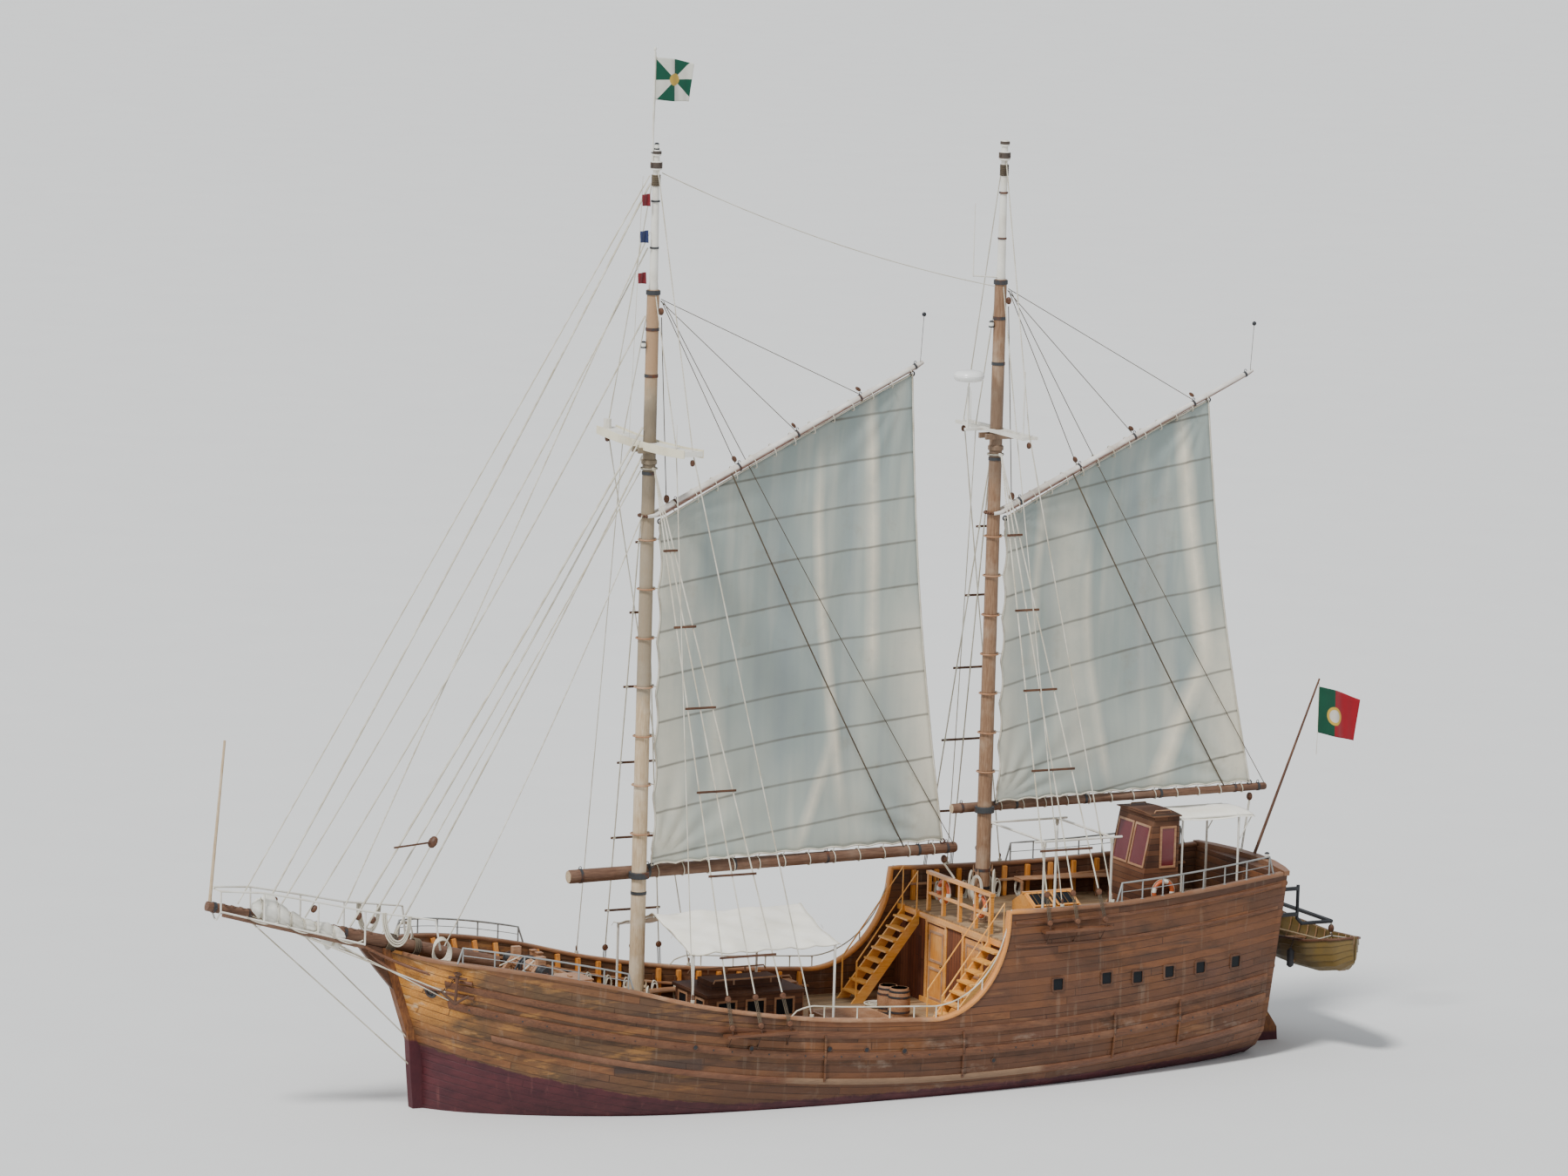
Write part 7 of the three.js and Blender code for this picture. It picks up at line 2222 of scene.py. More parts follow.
# Coils on the forecastle: x, y, radius and its step, thickness
DECK_COILS = [(7.6, 1.25, 0.14, 0.035, 0.017), (6.1, -1.5, 0.12, 0.032, 0.015)]


def deck_ladder(shape, x, y, low, high, reach, width, steps):
    """A short ladder that leans aft from the top at x."""
    for side in (-1, 1):
        beside = y + side * width / 2
        shape.beam((x - reach, beside, low), (x, beside, high + 0.02), 0.09, 0.035, up=PORT)
    for k in range(steps):
        t = (k + 0.6) / steps
        middle = Vector((x - reach * (1 - t), y, low + (high - low) * t))
        half = Vector((0.09, width / 2, 0.015))
        shape.box(middle - half, middle + half)


def bitts(shape, x, y, z, tall):
    """Two posts with caps, and a bar through both."""
    reach = BITTS_SPACING / 2
    for side in (-1, 1):
        at = Vector((x, y + side * reach, z))
        shape.box(at + Vector((-0.06, -0.06, 0)), at + Vector((0.06, 0.06, tall)))
        shape.box(at + Vector((-0.075, -0.075, tall)), at + Vector((0.075, 0.075, tall + 0.035)))
    shape.turned((x, y - reach - 0.17, z + tall * 0.62), (x, y + reach + 0.17, z + tall * 0.62),
                 [(0, 0.03), (0.05, 0.045), (0.95, 0.045), (1, 0.03)], 12)


def make_windlass():
    windlass = Shape()
    x = WINDLASS_X
    floor = forecastle_z(x)
    axle = floor + WINDLASS_AXLE_UP
    for side in (-1, 1):
        windlass.paint = 0
        windlass.box((x - 0.1, side * 0.62 - 0.06, floor), (x + 0.1, side * 0.62 + 0.06, floor + 0.78))
        windlass.beam((x + 0.5, side * 0.62, floor), (x + 0.06, side * 0.62, floor + 0.55), 0.1, 0.1)
        # Barrel, with whelps, and warping ends outside the bitts
        windlass.turned((x, side * 0.07, axle), (x, side * 0.55, axle),
                        [(0, 0.17), (0.08, 0.15), (0.6, 0.13), (1, 0.16)], 18)
        for a in around(8):
            out = Vector((math.cos(a), 0, math.sin(a)))
            start = Vector((x, side * 0.1, axle)) + out * 0.16
            end = Vector((x, side * 0.5, axle)) + out * 0.14
            windlass.beam(start, end, 0.05, 0.04, up=out)
        windlass.paint = 1
        windlass.turned((x, side * 0.68, axle), (x, side * 0.98, axle),
                        [(0, 0.16), (0.1, 0.11), (0.5, 0.085), (0.85, 0.11), (0.9, 0.15), (1, 0.15)], 18)
    # Toothed wheel in the middle, with its pawl
    windlass.paint = 1
    middle = Vector((x, 0, axle))
    windlass.turned(middle - PORT * 0.06, middle + PORT * 0.06,
                    [(0, 0.2), (0.1, 0.215), (0.9, 0.215), (1, 0.2)], 24)
    for a in around(20):
        out = Vector((math.cos(a), 0, math.sin(a)))
        windlass.beam(middle + out * 0.2, middle + out * 0.24, 0.08, 0.03, up=PORT)
    windlass.tube([(x + 0.5, 0, floor + 0.05), (x + 0.36, 0, floor + 0.3), (x + 0.2, 0, axle + 0.14)],
                  0.025, 8)
    windlass.turned(middle - PORT, middle + PORT, [(0, 0.03), (1, 0.03)], 12)
    windlass.make("windlass", [RAIL_WOOD, STEEL], smooth=35, bevel=0.008, slot="dark_wood")


def make_forecastle():
    fittings = Shape()
    for x, half, tall in BITTS:
        for y in (-half, half):
            bitts(fittings, x, y, forecastle_z(x), tall)
    # Hatch with a sliding lid of boards
    z = forecastle_z(5.85)
    fittings.box((HATCH_AFT_X, -HATCH_HALF, z - 0.02), (HATCH_FORE_X, HATCH_HALF, z + 0.24))
    for k in range(5):
        y = 0.01 - HATCH_HALF + 0.164 * k
        fittings.box((HATCH_AFT_X - 0.04, y, z + 0.24), (HATCH_FORE_X + 0.04, y + 0.158, z + 0.275))
    fittings.box((5.82, -0.09, z + 0.275), (5.88, 0.09, z + 0.31))
    # Beam along the deck's aft edge, and ladders down to the waist
    edge_z = forecastle_z(FORECASTLE_X)
    fittings.box((FORECASTLE_X - 0.05, -2.72, edge_z - 0.11), (FORECASTLE_X + 0.035, 2.72, edge_z + 0.055))
    for y in (-LADDER_Y, LADDER_Y):
        deck_ladder(fittings, FORECASTLE_X - 0.05, y, WAIST_Z, edge_z, 0.42, 0.6, 4)
    fittings.make("forecastle_fittings", [RAIL_WOOD], bevel=0.01, slot="dark_wood")
    lines = Shape()
    for k in range(7):
        for x, y, radius, step, thick in DECK_COILS:
            up = 0.02 + 0.022 * (k % 3)
            lines.ring((x, y, forecastle_z(x) + up), radius + step * k, thick, (0.02, 0.0, 1), 28, 6)
    for side in (-1, 1):
        lines.tube([(WINDLASS_X, side * 0.3, forecastle_z(WINDLASS_X) + WINDLASS_AXLE_UP + 0.17),
                    (7.4, side * 0.55, forecastle_z(7.4) + 0.28),
                    (8.3, side * 1.2, forecastle_z(8.3) + 0.3)], 0.018, 6)
    lines.make("forecastle_lines", [ROPE], slot="rope")


# Rails of grey pipe that stand on the cap rails
PipeRail = namedtuple("PipeRail", "start end up posts")
PIPE_RAILS = [PipeRail(8.6, 5.7, 0.34, 7), PipeRail(-6.3, -10.15, 0.42, 8)]


# The rope along the waist: it leaves the cap rail by the fore shrouds and climbs the sweep
WAIST_LINE_FORE_X, WAIST_LINE_AFT_X, WAIST_LINE_UP = 2.0, -3.3, 0.28
WAIST_POSTS = (1.2, 0.4, -0.4, -1.0, -1.55, -2.1, -2.7)


def on_cap(x, side, up):
    """A point above the middle of the cap rail."""
    return outside(x, rail_z(x), side, 0.06) + UP * up


def make_pipe_rails():
    for label, side in SIDES.items():
        rail = Shape()
        for row in PIPE_RAILS:
            for x in spread(row.start, row.end, row.posts):
                foot = on_cap(x, side, 0.06)
                rail.turned(foot, foot + UP * row.up,
                            [(0, 0.042), (0.04, 0.042), (0.06, 0.018), (1, 0.018)], 10)
            xs = spread(row.start, row.end, 16)
            top = [on_cap(x, side, 0.06) + UP * row.up for x in xs]
            fore, aft = on_cap(row.start, side, 0.06), on_cap(row.end, side, 0.06)
            rail.tube([fore + AHEAD * 0.12] + top + [aft - AHEAD * 0.12], 0.021, 8)
            rail.tube([on_cap(x, side, 0.06) + UP * (row.up * 0.52) for x in xs], 0.009, 6)
        # Rope rail along the waist
        rail.paint = 1
        for x in WAIST_POSTS:
            base = on_cap(x, side, 0.05)
            rail.turned(base, base + UP * 0.26, [(0, 0.03), (0.1, 0.016), (0.9, 0.016), (1, 0.026)], 10)
        path = []
        for x in spread(WAIST_LINE_FORE_X, WAIST_LINE_AFT_X, 40):
            risen = min(1, (WAIST_LINE_FORE_X - x) / 0.5) ** 0.5
            path.append(on_cap(x, side, WAIST_LINE_UP * risen + 0.045))
        path.append(outside(CASTLE_FRONT_X - 0.04, SWEEP_HEAD_Z, side, 0.06) + UP * 0.08)
        rail.tube(path, 0.016, 6)
        rail.make(f"pipe_rail_{label}", [GRAY, ROPE], smooth=50, slot="steel")


# Seats: slats on legs, against the bulwarks
Seat = namedtuple("Seat", "start end floor high")
SEATS = [Seat(-6.3, -9.9, QUARTERDECK_Z, 0.42), Seat(-0.9, 3.9, WAIST_Z, 0.42)]
SEAT_SLATS, SEAT_INWARD = 4, SIDE_THICK + 0.14


def make_seats():
    for label, side in SIDES.items():
        seats = Shape()
        for seat in SEATS:
            z = seat.floor + seat.high
            for k in range(SEAT_SLATS):
                inward = SEAT_INWARD + 0.105 * k
                seats.loft([flat_board(x, z, side, inward, 0.09, 0.03)
                            for x in spread(seat.start, seat.end, 10)])
            legs = max(int(abs(seat.start - seat.end) / 0.9), 2) + 1
            for x in spread(seat.start, seat.end, legs):
                near = outside(x, z, side, SEAT_INWARD) - UP * 0.03
                far = outside(x, z, side, SEAT_INWARD + 0.39) - UP * 0.03
                seats.beam(near, far, 0.06, 0.05)
                seats.beam(far, (far.x, far.y, seat.floor), 0.06, 0.05, up=AHEAD)
        seats.make(f"seats_{label}", [RAIL_WOOD], bevel=0.006, slot="orange_varnish")


# Windows and frames, used on the companion house and the castle
def window(shape, middle, across, up, half_wide, half_high, out):
    """A framed pane. Paint 0 is the frame and paint 1 the glass."""
    middle, across, up, out = (Vector(v) for v in (middle, across, up, out))
    corners = [(-1, -1), (1, -1), (1, 1), (-1, 1)]
    inner = [middle + across * half_wide * a + up * half_high * b for a, b in corners]
    outer = [middle + across * (half_wide + 0.05) * a + up * (half_high + 0.05) * b for a, b in corners]
    paint = shape.paint
    shape.loft([[i, o, o + out * 0.022, i + out * 0.022] for i, o in zip(inner, outer)], looped=True)
    shape.paint = paint + 1
    shape.loft([[p + out * 0.004 for p in inner], [p + out * 0.01 for p in inner]])
    shape.paint = paint


def framed(shape, middle, across, up, half_wide, half_high, border, out, proud):
    """A mitred frame of boards around an opening."""
    middle, across, up, out = (Vector(v) for v in (middle, across, up, out))
    rings = []
    for a, b in ((-1, -1), (1, -1), (1, 1), (-1, 1)):
        inner = middle + across * (half_wide - border) * a + up * (half_high - border) * b
        outer = middle + across * half_wide * a + up * half_high * b
        rings.append([inner, outer, outer + out * proud, inner + out * proud])
    shape.loft(rings, looped=True)


# Waist: hatch grating, companion house, casks and a coil of rope
GRATING_LOW, GRATING_HIGH = Vector((-1.75, -0.75, WAIST_Z)), Vector((-0.35, 0.75, WAIST_Z + 0.16))
HOUSE_AFT_X, HOUSE_FORE_X, HOUSE_HALF = 0.6, 2.9, 0.8
HOUSE_DOOR_AFT_X, HOUSE_DOOR_TOP_Z = 0.55, 2.05
HOUSE_RAIL_Y, HOUSE_RAIL_Z = 0.62, 2.42
# Panes in the ends of the companion house: x, y, and which way they face
HOUSE_END_PANES = [(HOUSE_AFT_X, -0.42, -1), (HOUSE_FORE_X, 0.42, 1), (HOUSE_FORE_X, -0.42, 1)]
Cask = namedtuple("Cask", "x y radius tall")
CASKS = [Cask(-2.1, 0.2, 0.25, 0.72), Cask(-2.14, -0.4, 0.24, 0.66), Cask(4.75, 0.75, 0.26, 0.7)]
# Shares of a cask's height and of its radius: its staves, with the sunk head, and its hoops
CASK_PROFILE = [(0, 0.82), (0.03, 0.84), (0.25, 0.96), (0.5, 1), (0.75, 0.96), (0.97, 0.84), (1, 0.82),
                (1.0, 0.76), (0.965, 0.74)]
CASK_HOOPS = [(0.1, 0.885), (0.27, 0.968), (0.73, 0.968), (0.9, 0.885)]


def make_grating():
    grating = Shape()
    low, high = GRATING_LOW, GRATING_HIGH
    middle, half = (low + high) / 2, (high - low) / 2
    framed(grating, (middle.x, middle.y, WAIST_Z - 0.01), AHEAD, PORT, half.x, half.y, 0.08, UP,
           high.z - WAIST_Z + 0.01)
    for x in spread(low.x + 0.12, high.x - 0.12, 13):
        grating.box((x - 0.022, low.y + 0.05, high.z - 0.06), (x + 0.022, high.y - 0.05, high.z - 0.01))
    for y in spread(low.y + 0.12, high.y - 0.12, 14):
        grating.box((low.x + 0.05, y - 0.022, high.z - 0.045), (high.x - 0.05, y + 0.022, high.z + 0.002))
    grating.make("hatch_grating", [RAIL_WOOD], bevel=0.004, slot="dark_wood")


def make_companion_house():
    """Windows, a door of boards, and handrails for the house in the waist."""
    house = Shape()
    for side in (-1, 1):
        for x in (1.05, 1.75, 2.45):
            window(house, (x, side * HOUSE_HALF, 1.78), AHEAD, UP, 0.2, 0.17, PORT * side)
    for x, y, facing in HOUSE_END_PANES:
        window(house, (x, y, 1.82), PORT, UP, 0.17, 0.15, AHEAD * facing)
    x0, x1 = HOUSE_DOOR_AFT_X, HOUSE_DOOR_AFT_X + 0.07
    for y in (0.08, 0.72):
        house.box((x0, y - 0.03, WAIST_Z + 0.02), (x1, y + 0.03, HOUSE_DOOR_TOP_Z + 0.03))
    house.box((x0, 0.05, HOUSE_DOOR_TOP_Z), (x1, 0.75, HOUSE_DOOR_TOP_Z + 0.06))
    for k in range(5):
        y = 0.12 + 0.114 * k
        house.box((x0 + 0.025, y, WAIST_Z + 0.03), (x0 + 0.055, y + 0.108, HOUSE_DOOR_TOP_Z))
    for y in (-HOUSE_RAIL_Y, HOUSE_RAIL_Y):
        house.tube([(0.8, y, 2.345), (0.85, y, HOUSE_RAIL_Z), (2.65, y, HOUSE_RAIL_Z), (2.7, y, 2.345)],
                   0.02, 8)
        for x in (1.3, 1.75, 2.2):
            house.beam((x, y, 2.3), (x, y, HOUSE_RAIL_Z), 0.03, 0.03, up=AHEAD)
    house.make("companion_windows", [RAIL_WOOD, DARK_GLASS], bevel=0.005, slot="dark_wood")


def make_casks():
    casks = Shape()
    for cask in CASKS:
        casks.paint = 0
        base = Vector((cask.x, cask.y, WAIST_Z))
        profile = [(t, cask.radius * share) for t, share in CASK_PROFILE]
        casks.turned(base, base + UP * cask.tall, profile, 24)
        casks.paint = 1
        for t, share in CASK_HOOPS:
            casks.band(base + UP * (cask.tall * t), UP, 0.024, 0.002, cask.radius * share - 0.01, 0.018)
    casks.paint = 2
    for k in range(6):
        casks.ring((-2.32, -1.2, WAIST_Z + 0.02 + 0.03 * (k % 3)), 0.13 + 0.034 * k,
                   0.018, steps=28, sides=6)
    casks.make("casks_and_coil", [RAIL_WOOD, STEEL, ROPE], smooth=40, slot="dark_wood")


# Cabin front: rails and stiles around its doors, and the doors' panels, knobs and hinges
FRONT_RAIL_HALF, FRONT_SILL_HALF = 2.66, 1.55


def make_cabin_front():
    front = Shape()
    x = touch("cabin_front", (-1.0, 0.0, 2.9), -AHEAD).x - 0.005
    door_top = WAIST_Z + DOOR_HEIGHT
    for y in (-DOOR_OUTER - 0.05, -DOOR_INNER + 0.05, DOOR_INNER - 0.05, DOOR_OUTER + 0.05):
        front.box((x, y - 0.045, WAIST_Z), (x + 0.033, y + 0.045, door_top + 0.06))
    for side in (-1, 1):
        y0, y1 = sorted((side * (DOOR_INNER - 0.1), side * (DOOR_OUTER + 0.1)))
        front.box((x, y0, door_top + 0.04), (x + 0.045, y1, door_top + 0.12))
    front.box((x, -FRONT_RAIL_HALF, QUARTERDECK_Z - 0.17),
              (x + 0.055, FRONT_RAIL_HALF, QUARTERDECK_Z - 0.04))
    front.box((x, -FRONT_SILL_HALF, WAIST_Z), (x + 0.035, FRONT_SILL_HALF, WAIST_Z + 0.12))
    front.make("cabin_front_trim", [ORANGE], bevel=0.008, slot="orange_varnish")


def make_doors():
    inner, outer = DOOR_INNER + 0.03, DOOR_OUTER - 0.03
    for label, side in SIDES.items():
        door = Shape()
        face = touch(f"cabin_door_{label}", (-1.0, side * 0.85, 2.0), -AHEAD).x
        for low, high in ((WAIST_Z + 0.12, WAIST_Z + 0.85), (WAIST_Z + 0.97, WAIST_Z + DOOR_HEIGHT - 0.12)):
            middle = Vector((face - 0.003, side * (inner + outer) / 2, (low + high) / 2))
            framed(door, middle, PORT, UP, (outer - inner) / 2 - 0.04, (high - low) / 2, 0.06, AHEAD, 0.018)
        door.paint = 1
        knob = Vector((face, side * (inner + 0.07), WAIST_Z + 0.95))
        door.turned(knob, knob + AHEAD * 0.07,
                    [(0, 0.03), (0.15, 0.012), (0.5, 0.014), (0.7, 0.03), (1, 0.018)], 14)
        for up in (0.25, 1.5):
            hinge = Vector((face + 0.006, side * (outer - 0.02), WAIST_Z + up))
            door.tube([hinge - UP * 0.06, hinge + UP * 0.06], 0.011, 8)
        door.make(f"door_panels_{label}", [RAIL_WOOD, BRONZE], f"{label}_door",
                  bevel=0.004, slot="orange_varnish")


# Quarterdeck: awning frame without its cloth, skylight and lifebuoys
FRAME_XS, FRAME_HALF, FRAME_TOP_Z = (-5.05, -6.75), 1.25, 5.14
SKYLIGHT_AFT_X, SKYLIGHT_FORE_X, SKYLIGHT_HALF = -6.45, -5.25, 0.5
SKYLIGHT_SIDE_Z = QUARTERDECK_Z + 0.3
SKYLIGHT_RIDGE_Z = SKYLIGHT_SIDE_Z + 0.26
Buoy = namedtuple("Buoy", "middle facing")
BUOYS = [Buoy(Vector((-3.71, 0.85, 3.72)), AHEAD), Buoy(Vector((-3.71, -0.85, 3.72)), AHEAD),
         Buoy(Vector((-8.3, 0.885, 3.75)), PORT), Buoy(Vector((-8.3, -0.885, 3.75)), PORT)]
# Each quarter of a lifebuoy: where it starts and ends, its paint, and the thickness there
BUOY_QUARTER = [(0.0, 0.72, 0, 0.052), (0.72, 1.0, 1, 0.055)]


def make_frame_pipes():
    pipes = Shape()
    post = [(0, 0.06), (0.01, 0.06), (0.012, 0.028), (0.985, 0.028), (0.99, 0.036), (1, 0.03)]
    for x in FRAME_XS:
        for y in (-FRAME_HALF, FRAME_HALF):
            pipes.turned((x, y, QUARTERDECK_Z), (x, y, FRAME_TOP_Z + 0.02), post, 12)
        pipes.tube([(x, -FRAME_HALF, FRAME_TOP_Z), (x, FRAME_HALF, FRAME_TOP_Z)], 0.026, 10)
    for y in (-FRAME_HALF, FRAME_HALF):
        pipes.tube([(-4.8, y, FRAME_TOP_Z), (-7.0, y, FRAME_TOP_Z)], 0.026, 10)
    pipes.turned((-4.95, 1.95, QUARTERDECK_Z), (-4.95, 1.95, 5.62),
                 [(0, 0.05), (0.02, 0.03), (0.95, 0.024), (0.96, 0.038), (1, 0.03)], 12)
    pipes.paint = 1
    for y in (FRAME_HALF, -FRAME_HALF):
        for x in FRAME_XS:
            for k in range(5):
                pipes.ring((x, y, 5.02 + 0.022 * k), 0.036, 0.011, steps=14, sides=5)
    pipes.make("quarterdeck_frame_pipes", [WHITE, ROPE], smooth=45, replaces=["quarterdeck_frame"],
               slot="white_paint")


def make_skylight():
    sky = Shape()
    x0, x1, half = SKYLIGHT_AFT_X, SKYLIGHT_FORE_X, SKYLIGHT_HALF
    high, ridge_z = SKYLIGHT_SIDE_Z, SKYLIGHT_RIDGE_Z
    sky.box((x0, -half, QUARTERDECK_Z), (x1, half, high))
    for x in (x0, x1 - 0.05):
        sky.loft([[(x + d, -half, high), (x + d, half, high), (x + d, 0, ridge_z)] for d in (0, 0.05)])
    for side in (-1, 1):
        slope = Vector((0, -side * half, ridge_z - high)).normalized()
        out = Vector((0, side * (ridge_z - high), half)).normalized()
        middle = Vector((0, side * half / 2, (high + ridge_z) / 2))
        for x in ((x0 * 3 + x1) / 4, (x0 + x1 * 3) / 4):
            window(sky, middle + AHEAD * x, AHEAD, slope, 0.22, 0.2, out)
        # Guard bars over the panes
        sky.paint = 2
        for x in spread(x0 + 0.15, x1 - 0.15, 7):
            bar = middle + AHEAD * x + out * 0.035
            sky.tube([bar - slope * 0.22, bar + slope * 0.22], 0.007, 6)
        sky.paint = 0
    sky.beam((x0 - 0.02, 0, ridge_z), (x1 + 0.02, 0, ridge_z), 0.09, 0.04)
    sky.make("skylight_house", [ORANGE, DARK_GLASS, BRONZE], bevel=0.006,
             replaces=["skylight"], slot="orange_varnish")


def make_lifebuoys():
    buoys = Shape()
    for buoy in BUOYS:
        turn = buoy.facing.to_track_quat("Z", "Y")
        for k in range(4):
            for start, end, paint, thick in BUOY_QUARTER:
                buoys.paint = paint
                path = []
                for a in spread((k + start) * math.pi / 2, (k + end) * math.pi / 2, 8):
                    path.append(buoy.middle + turn @ Vector((0.23 * math.cos(a), 0.23 * math.sin(a), 0)))
                buoys.tube(path, thick, 10)
        buoys.paint = 2
        buoys.ring(buoy.middle, 0.295, 0.007, buoy.facing, 32, 5)
    buoys.make("lifebuoys", [BUOY_ORANGE, WHITE, ROPE], smooth=50, slot="white_plastic")


# Helm shelter: its upright front, knee, brow, back, half width and top, as in the part
Shelter = namedtuple("Shelter", "front knee brow back half top")
SHELTER = Shelter(-7.85, 4.15, -8.1, -8.72, 0.79, 5.42)


def make_shelter_trim():
    def on_front(y, z):
        """A point on the raked upper front."""
        rake = (SHELTER.brow - SHELTER.front) / (SHELTER.top - SHELTER.knee)
        return Vector((SHELTER.front + rake * max(z - SHELTER.knee, 0), y, z))

    trim = Shape()
    for side in (-1, 1):
        window(trim, (-8.435, side * SHELTER.half, 4.74), AHEAD, UP, 0.155, 0.42, PORT * side)
        low, high = on_front(side * 0.37, 4.3), on_front(side * 0.37, 5.18)
        rise = (high - low).normalized()
        window(trim, (low + high) / 2, PORT, rise, 0.29, 0.43, (rise.z, 0, -rise.x))
    # Roof boards with a camber, that lie over the shelter's flat top
    trim.paint = 2
    rings = []
    eave = SHELTER.half + 0.06
    for x in spread(SHELTER.back - 0.03, SHELTER.brow + 0.07, 6):
        under = [Vector((x, y, SHELTER.top + 0.004)) for y in spread(eave, -eave, 9)]
        over = [Vector((x, y, SHELTER.top + 0.03 + 0.045 * (1 - (y / eave) ** 2)))
                for y in spread(-eave, eave, 9)]
        rings.append(under + over)
    trim.loft(rings)
    # Handrails on the roof, and boards at the foot
    trim.paint = 0
    for side in (-1, 1):
        y = side * 0.55
        trim.tube([(-8.64, y, 5.45), (-8.6, y, 5.52), (-8.24, y, 5.52), (-8.2, y, 5.45)], 0.017, 8)
        y = side * (SHELTER.half + 0.03)
        trim.box((SHELTER.back - 0.02, y - 0.03, QUARTERDECK_Z),
                 (SHELTER.front + 0.02, y + 0.03, QUARTERDECK_Z + 0.09))
    trim.make("shelter_trim", [RAIL_WOOD, RED_PANE, HOUSE], smooth=35, bevel=0.005, slot="dark_wood")


def make_instruments():
    """A compass bowl on the pedestal, a lever's box and a small screen."""
    gear = Shape()
    top = touch("helm_pedestal", (-8.3, 0, 6.0), -UP).z
    foot, rim, lid = Vector((-8.32, 0, top)), Vector((-8.32, 0, top + 0.14)), Vector((-8.32, 0, top + 0.2))
    gear.turned(foot, rim, [(0, 0.11), (0.3, 0.12), (0.7, 0.125), (1, 0.105)])
    gear.paint = 1
    gear.turned(rim, lid, [(0, 0.1), (0.5, 0.085), (1, 0.02)])
    gear.paint = 2
    gear.box((-8.25, 0.14, top - 0.006), (-8.19, 0.25, top + 0.17))
    gear.box((-8.44, -0.25, top - 0.006), (-8.34, -0.16, top + 0.1))
    gear.make("helm_instruments", [BRONZE, DARK_GLASS, BLACK], smooth=35, bevel=0.005, slot="bronze")


# Stern: mouldings over the transom, corner boards, small ports, straps of the rudder, davit tackles
Moulding = namedtuple("Moulding", "z deep proud")
TRANSOM_MOULDINGS = [Moulding(3.98, 0.1, 0.05), Moulding(3.3, 0.12, 0.05), Moulding(2.1, 0.09, 0.04)]
TRANSOM_EDGE_X = -10.4
TRANSOM_PORT_YS, TRANSOM_PORT_Z = (-1.15, -0.6, 0.6, 1.15), 2.72
RUDDER_STRAP_ZS = (-0.9, -0.1, 0.6)


def make_transom_trim():
    boards = Shape()
    for row in TRANSOM_MOULDINGS:
        rings = []
        half = half_at(TRANSOM_EDGE_X, row.z) - 0.02
        for y in spread(-half, half, 26):
            low, high = (transom_at(y * 0.985, row.z + up) for up in (-row.deep / 2, row.deep / 2))
            face, edge = AHEAD * row.proud, AHEAD * (row.proud * 0.7)
            rings.append([low + AHEAD * 0.02, low - edge, (low + high) / 2 - face,
                          high - edge, high + AHEAD * 0.02])
        boards.loft(rings)
    for side in (-1, 1):
        rings = []
        for z in spread(1.0, 4.02, 14):
            half = half_at(TRANSOM_EDGE_X, z)
            edge, near = transom_at(side * (half - 0.1), z), transom_at(side * (half - 0.17), z)
            rings.append([near, near - AHEAD * 0.03, edge - AHEAD * 0.035, edge])
        boards.loft(rings)
    boards.make("transom_mouldings", [WALE_WOOD], smooth=40, slot="dark_wood")
    ports = Shape()
    for y in TRANSOM_PORT_YS:
        at = transom_at(y, TRANSOM_PORT_Z)
        up = (transom_at(y, 2.9) - transom_at(y, 2.55)).normalized()
        across = (transom_at(y + 0.1, TRANSOM_PORT_Z) - transom_at(y - 0.1, TRANSOM_PORT_Z)).normalized()
        out = across.cross(up)
        window(ports, at, across, up, 0.13, 0.15, out if out.x < 0 else -out)
    ports.make("transom_ports", [WALE_WOOD, DARK_GLASS], bevel=0.005, slot="dark_wood")


def make_rudder_straps():
    straps = Shape()
    for z in RUDDER_STRAP_ZS:
        face = abs(touch("rudder", (RUDDER_X - 0.1, 3.0, z), -PORT).y) + 0.002
        for y, out in ((-face, -0.01), (face, 0.01)):
            straps.beam((RUDDER_X - 0.02, y, z), (RUDDER_X - 0.5, y, z), 0.02, 0.08)
            for k in range(4):
                straps.ball((RUDDER_X - 0.1 - 0.11 * k, y + out, z), 0.018, 4, 8)
    straps.make("rudder_straps", [BRONZE], "rudder", bevel=0.004, slot="bronze")


def make_davit_tackles():
    """Blocks and slings that carry the tender."""
    tackles = Shape()
    for y in DAVIT_YS:
        tackles.paint = 0
        block(tackles, (TENDER_X, y, 2.82), 0.09)
        tackles.paint = 2
        tackles.ring((TENDER_X, y, 2.67), 0.045, 0.012, AHEAD, 14, 6)
        tackles.paint = 1
        tackles.tube([(TENDER_X, y, 2.98), (TENDER_X, y, 2.7)], 0.02, 8)
        for side in (-1, 1):
            reach = side * tender_wide(y) * 0.93
            tackles.tube([(TENDER_X, y, 2.65), (TENDER_X + reach, y, TENDER_SHEER + 0.1)], 0.012, 6)
    tackles.make("davit_tackles", [DARK, ROPE, STEEL], smooth=50, slot="rope")


# Ground tackle: chain from each hawse pipe to its anchor's ring
ANCHOR_STATION, ANCHOR_RING_Z = 8.68, 3.19


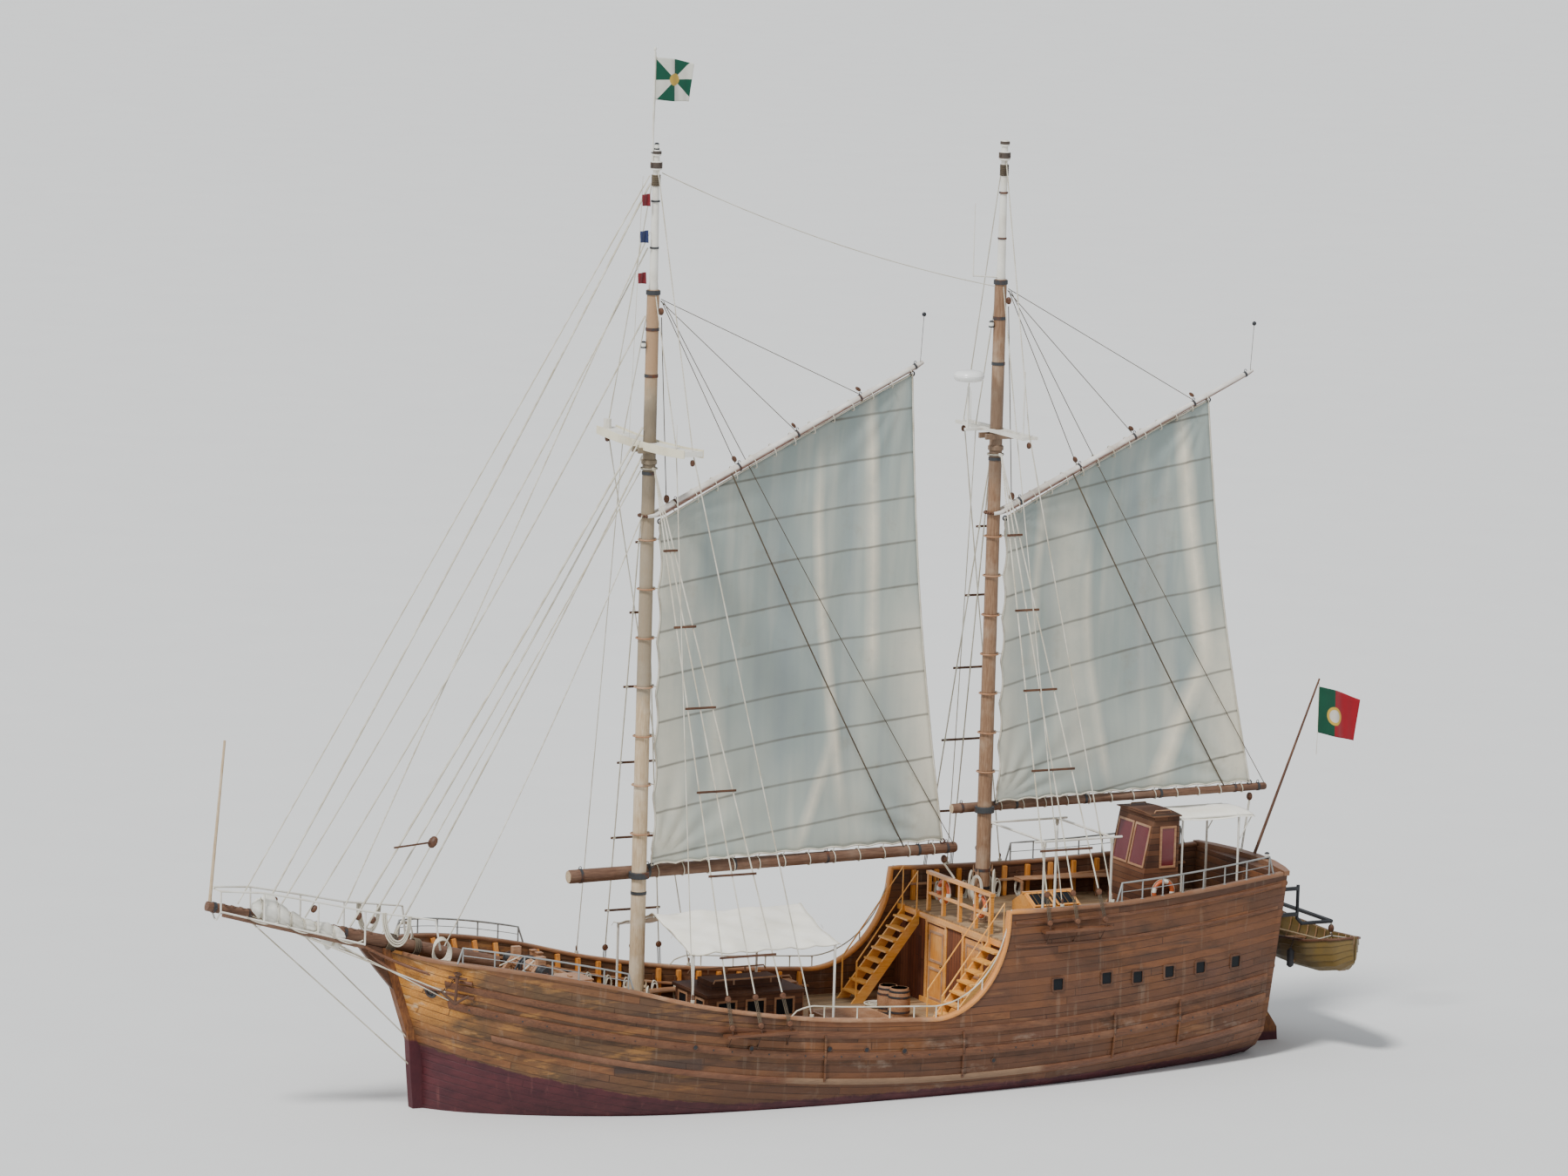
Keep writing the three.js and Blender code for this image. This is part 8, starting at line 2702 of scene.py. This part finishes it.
def make_chains():
    chain = Shape()
    for side in SIDES.values():
        foot = outside(ANCHOR_STATION, ANCHOR_RING_Z, side)
        plank = (outside(ANCHOR_STATION + 0.1, ANCHOR_RING_Z, side) - foot).normalized()
        ring = foot + Vector((-side * plank.y, side * plank.x, 0)) * 0.15 + UP * 0.03
        hawse = outside(HAWSE_STATION, HAWSE_Z, side) + outward(HAWSE_STATION, HAWSE_Z, side) * 0.03
        points = sagging(hawse, ring, 0.16, 16)
        for k, (a, b) in enumerate(zip(points, points[1:])):
            along = (b - a).normalized()
            over = along.cross(Vector((0, side, 0.3))).normalized()
            across = along.cross(over) if k % 2 else over
            chain.oval((a + b) / 2, along * ((b - a).length * 0.62), across * 0.024, 12, 0.009, 5)
        chain.ring(ring, 0.07, 0.014, (0, 0.3, 1), 18, 6)
    chain.make("anchor_chains", [RUST], slot="steel")


make_windlass()
make_forecastle()
make_pipe_rails()
make_seats()
make_grating()
make_companion_house()
make_casks()
make_cabin_front()
make_doors()
make_frame_pipes()
make_skylight()
make_lifebuoys()
make_shelter_trim()
make_instruments()
make_transom_trim()
make_rudder_straps()
make_davit_tackles()
make_chains()


# Stage: floor at the waterline, soft lights, and the camera at the photograph's viewing angle
CAMERA_AZIMUTH, CAMERA_ELEVATION, CAMERA_ROLL = 27.5, 12.0, 1.6
CAMERA_DISTANCE = 176.0
CAMERA_AIM = Vector((0.918, 0.0, 10.858))
CAMERA_LENS, CAMERA_SENSOR = 184.0, 36
CAMERA_NEAR, CAMERA_FAR = 1.0, 1200.0
FLOOR_RADIUS, FLOOR_SIDES = 400, 96
Sun = namedtuple("Sun", "name toward strength softness")
SUNS = [Sun("key", (0.7, 0.42, 1.15), 3.3, 10), Sun("fill", (0.9, -0.3, 0.5), 0.4, 40)]
SKY_COLOR, SKY_STRENGTH = (0.86, 0.9, 0.96, 1.0), 0.72


def make_stage():
    paint = Paint("floor_paint", specular=0.2)
    shade = paint.mix(paint.noise(0.4), srgb(226, 226, 223), srgb(220, 220, 218))
    mesh = bpy.data.meshes.new("floor")
    edge = [(FLOOR_RADIUS * math.cos(a), FLOOR_RADIUS * math.sin(a), -0.001) for a in around(FLOOR_SIDES)]
    mesh.from_pydata(edge, [], [tuple(range(FLOOR_SIDES))])
    mesh.materials.append(paint.finish(shade, 0.9))
    made = bpy.data.objects.new("floor", mesh)
    bpy.context.scene.collection.objects.link(made)


def make_lights():
    world = bpy.data.worlds.new("studio")
    world.use_nodes = True
    sky = world.node_tree.nodes["Background"]
    sky.inputs["Color"].default_value = SKY_COLOR
    sky.inputs["Strength"].default_value = SKY_STRENGTH
    bpy.context.scene.world = world
    for sun in SUNS:
        light = bpy.data.lights.new(sun.name, "SUN")
        light.energy = sun.strength
        light.angle = math.radians(sun.softness)
        made = bpy.data.objects.new(sun.name, light)
        made.rotation_euler = Vector(sun.toward).to_track_quat("Z", "Y").to_euler()
        bpy.context.scene.collection.objects.link(made)


def make_camera():
    across, up = math.radians(CAMERA_AZIMUTH), math.radians(CAMERA_ELEVATION)
    back = Vector((math.sin(across) * math.cos(up), math.cos(across) * math.cos(up), math.sin(up)))
    right = Vector((-math.cos(across), math.sin(across), 0))
    place = back * CAMERA_DISTANCE
    toward = (place - CAMERA_AIM).normalized()
    right = (right - toward * right.dot(toward)).normalized()
    over = toward.cross(right)
    turn = math.radians(CAMERA_ROLL)
    x_axis = right * math.cos(turn) + over * math.sin(turn)
    y_axis = over * math.cos(turn) - right * math.sin(turn)
    camera = bpy.data.cameras.new("camera")
    camera.lens = CAMERA_LENS
    camera.sensor_width = CAMERA_SENSOR
    camera.clip_start, camera.clip_end = CAMERA_NEAR, CAMERA_FAR
    made = bpy.data.objects.new("camera", camera)
    bpy.context.scene.collection.objects.link(made)
    matrix = Matrix((x_axis, y_axis, toward)).transposed().to_4x4()
    matrix.translation = place
    made.matrix_world = matrix
    bpy.context.scene.camera = made


make_stage()
make_lights()
make_camera()
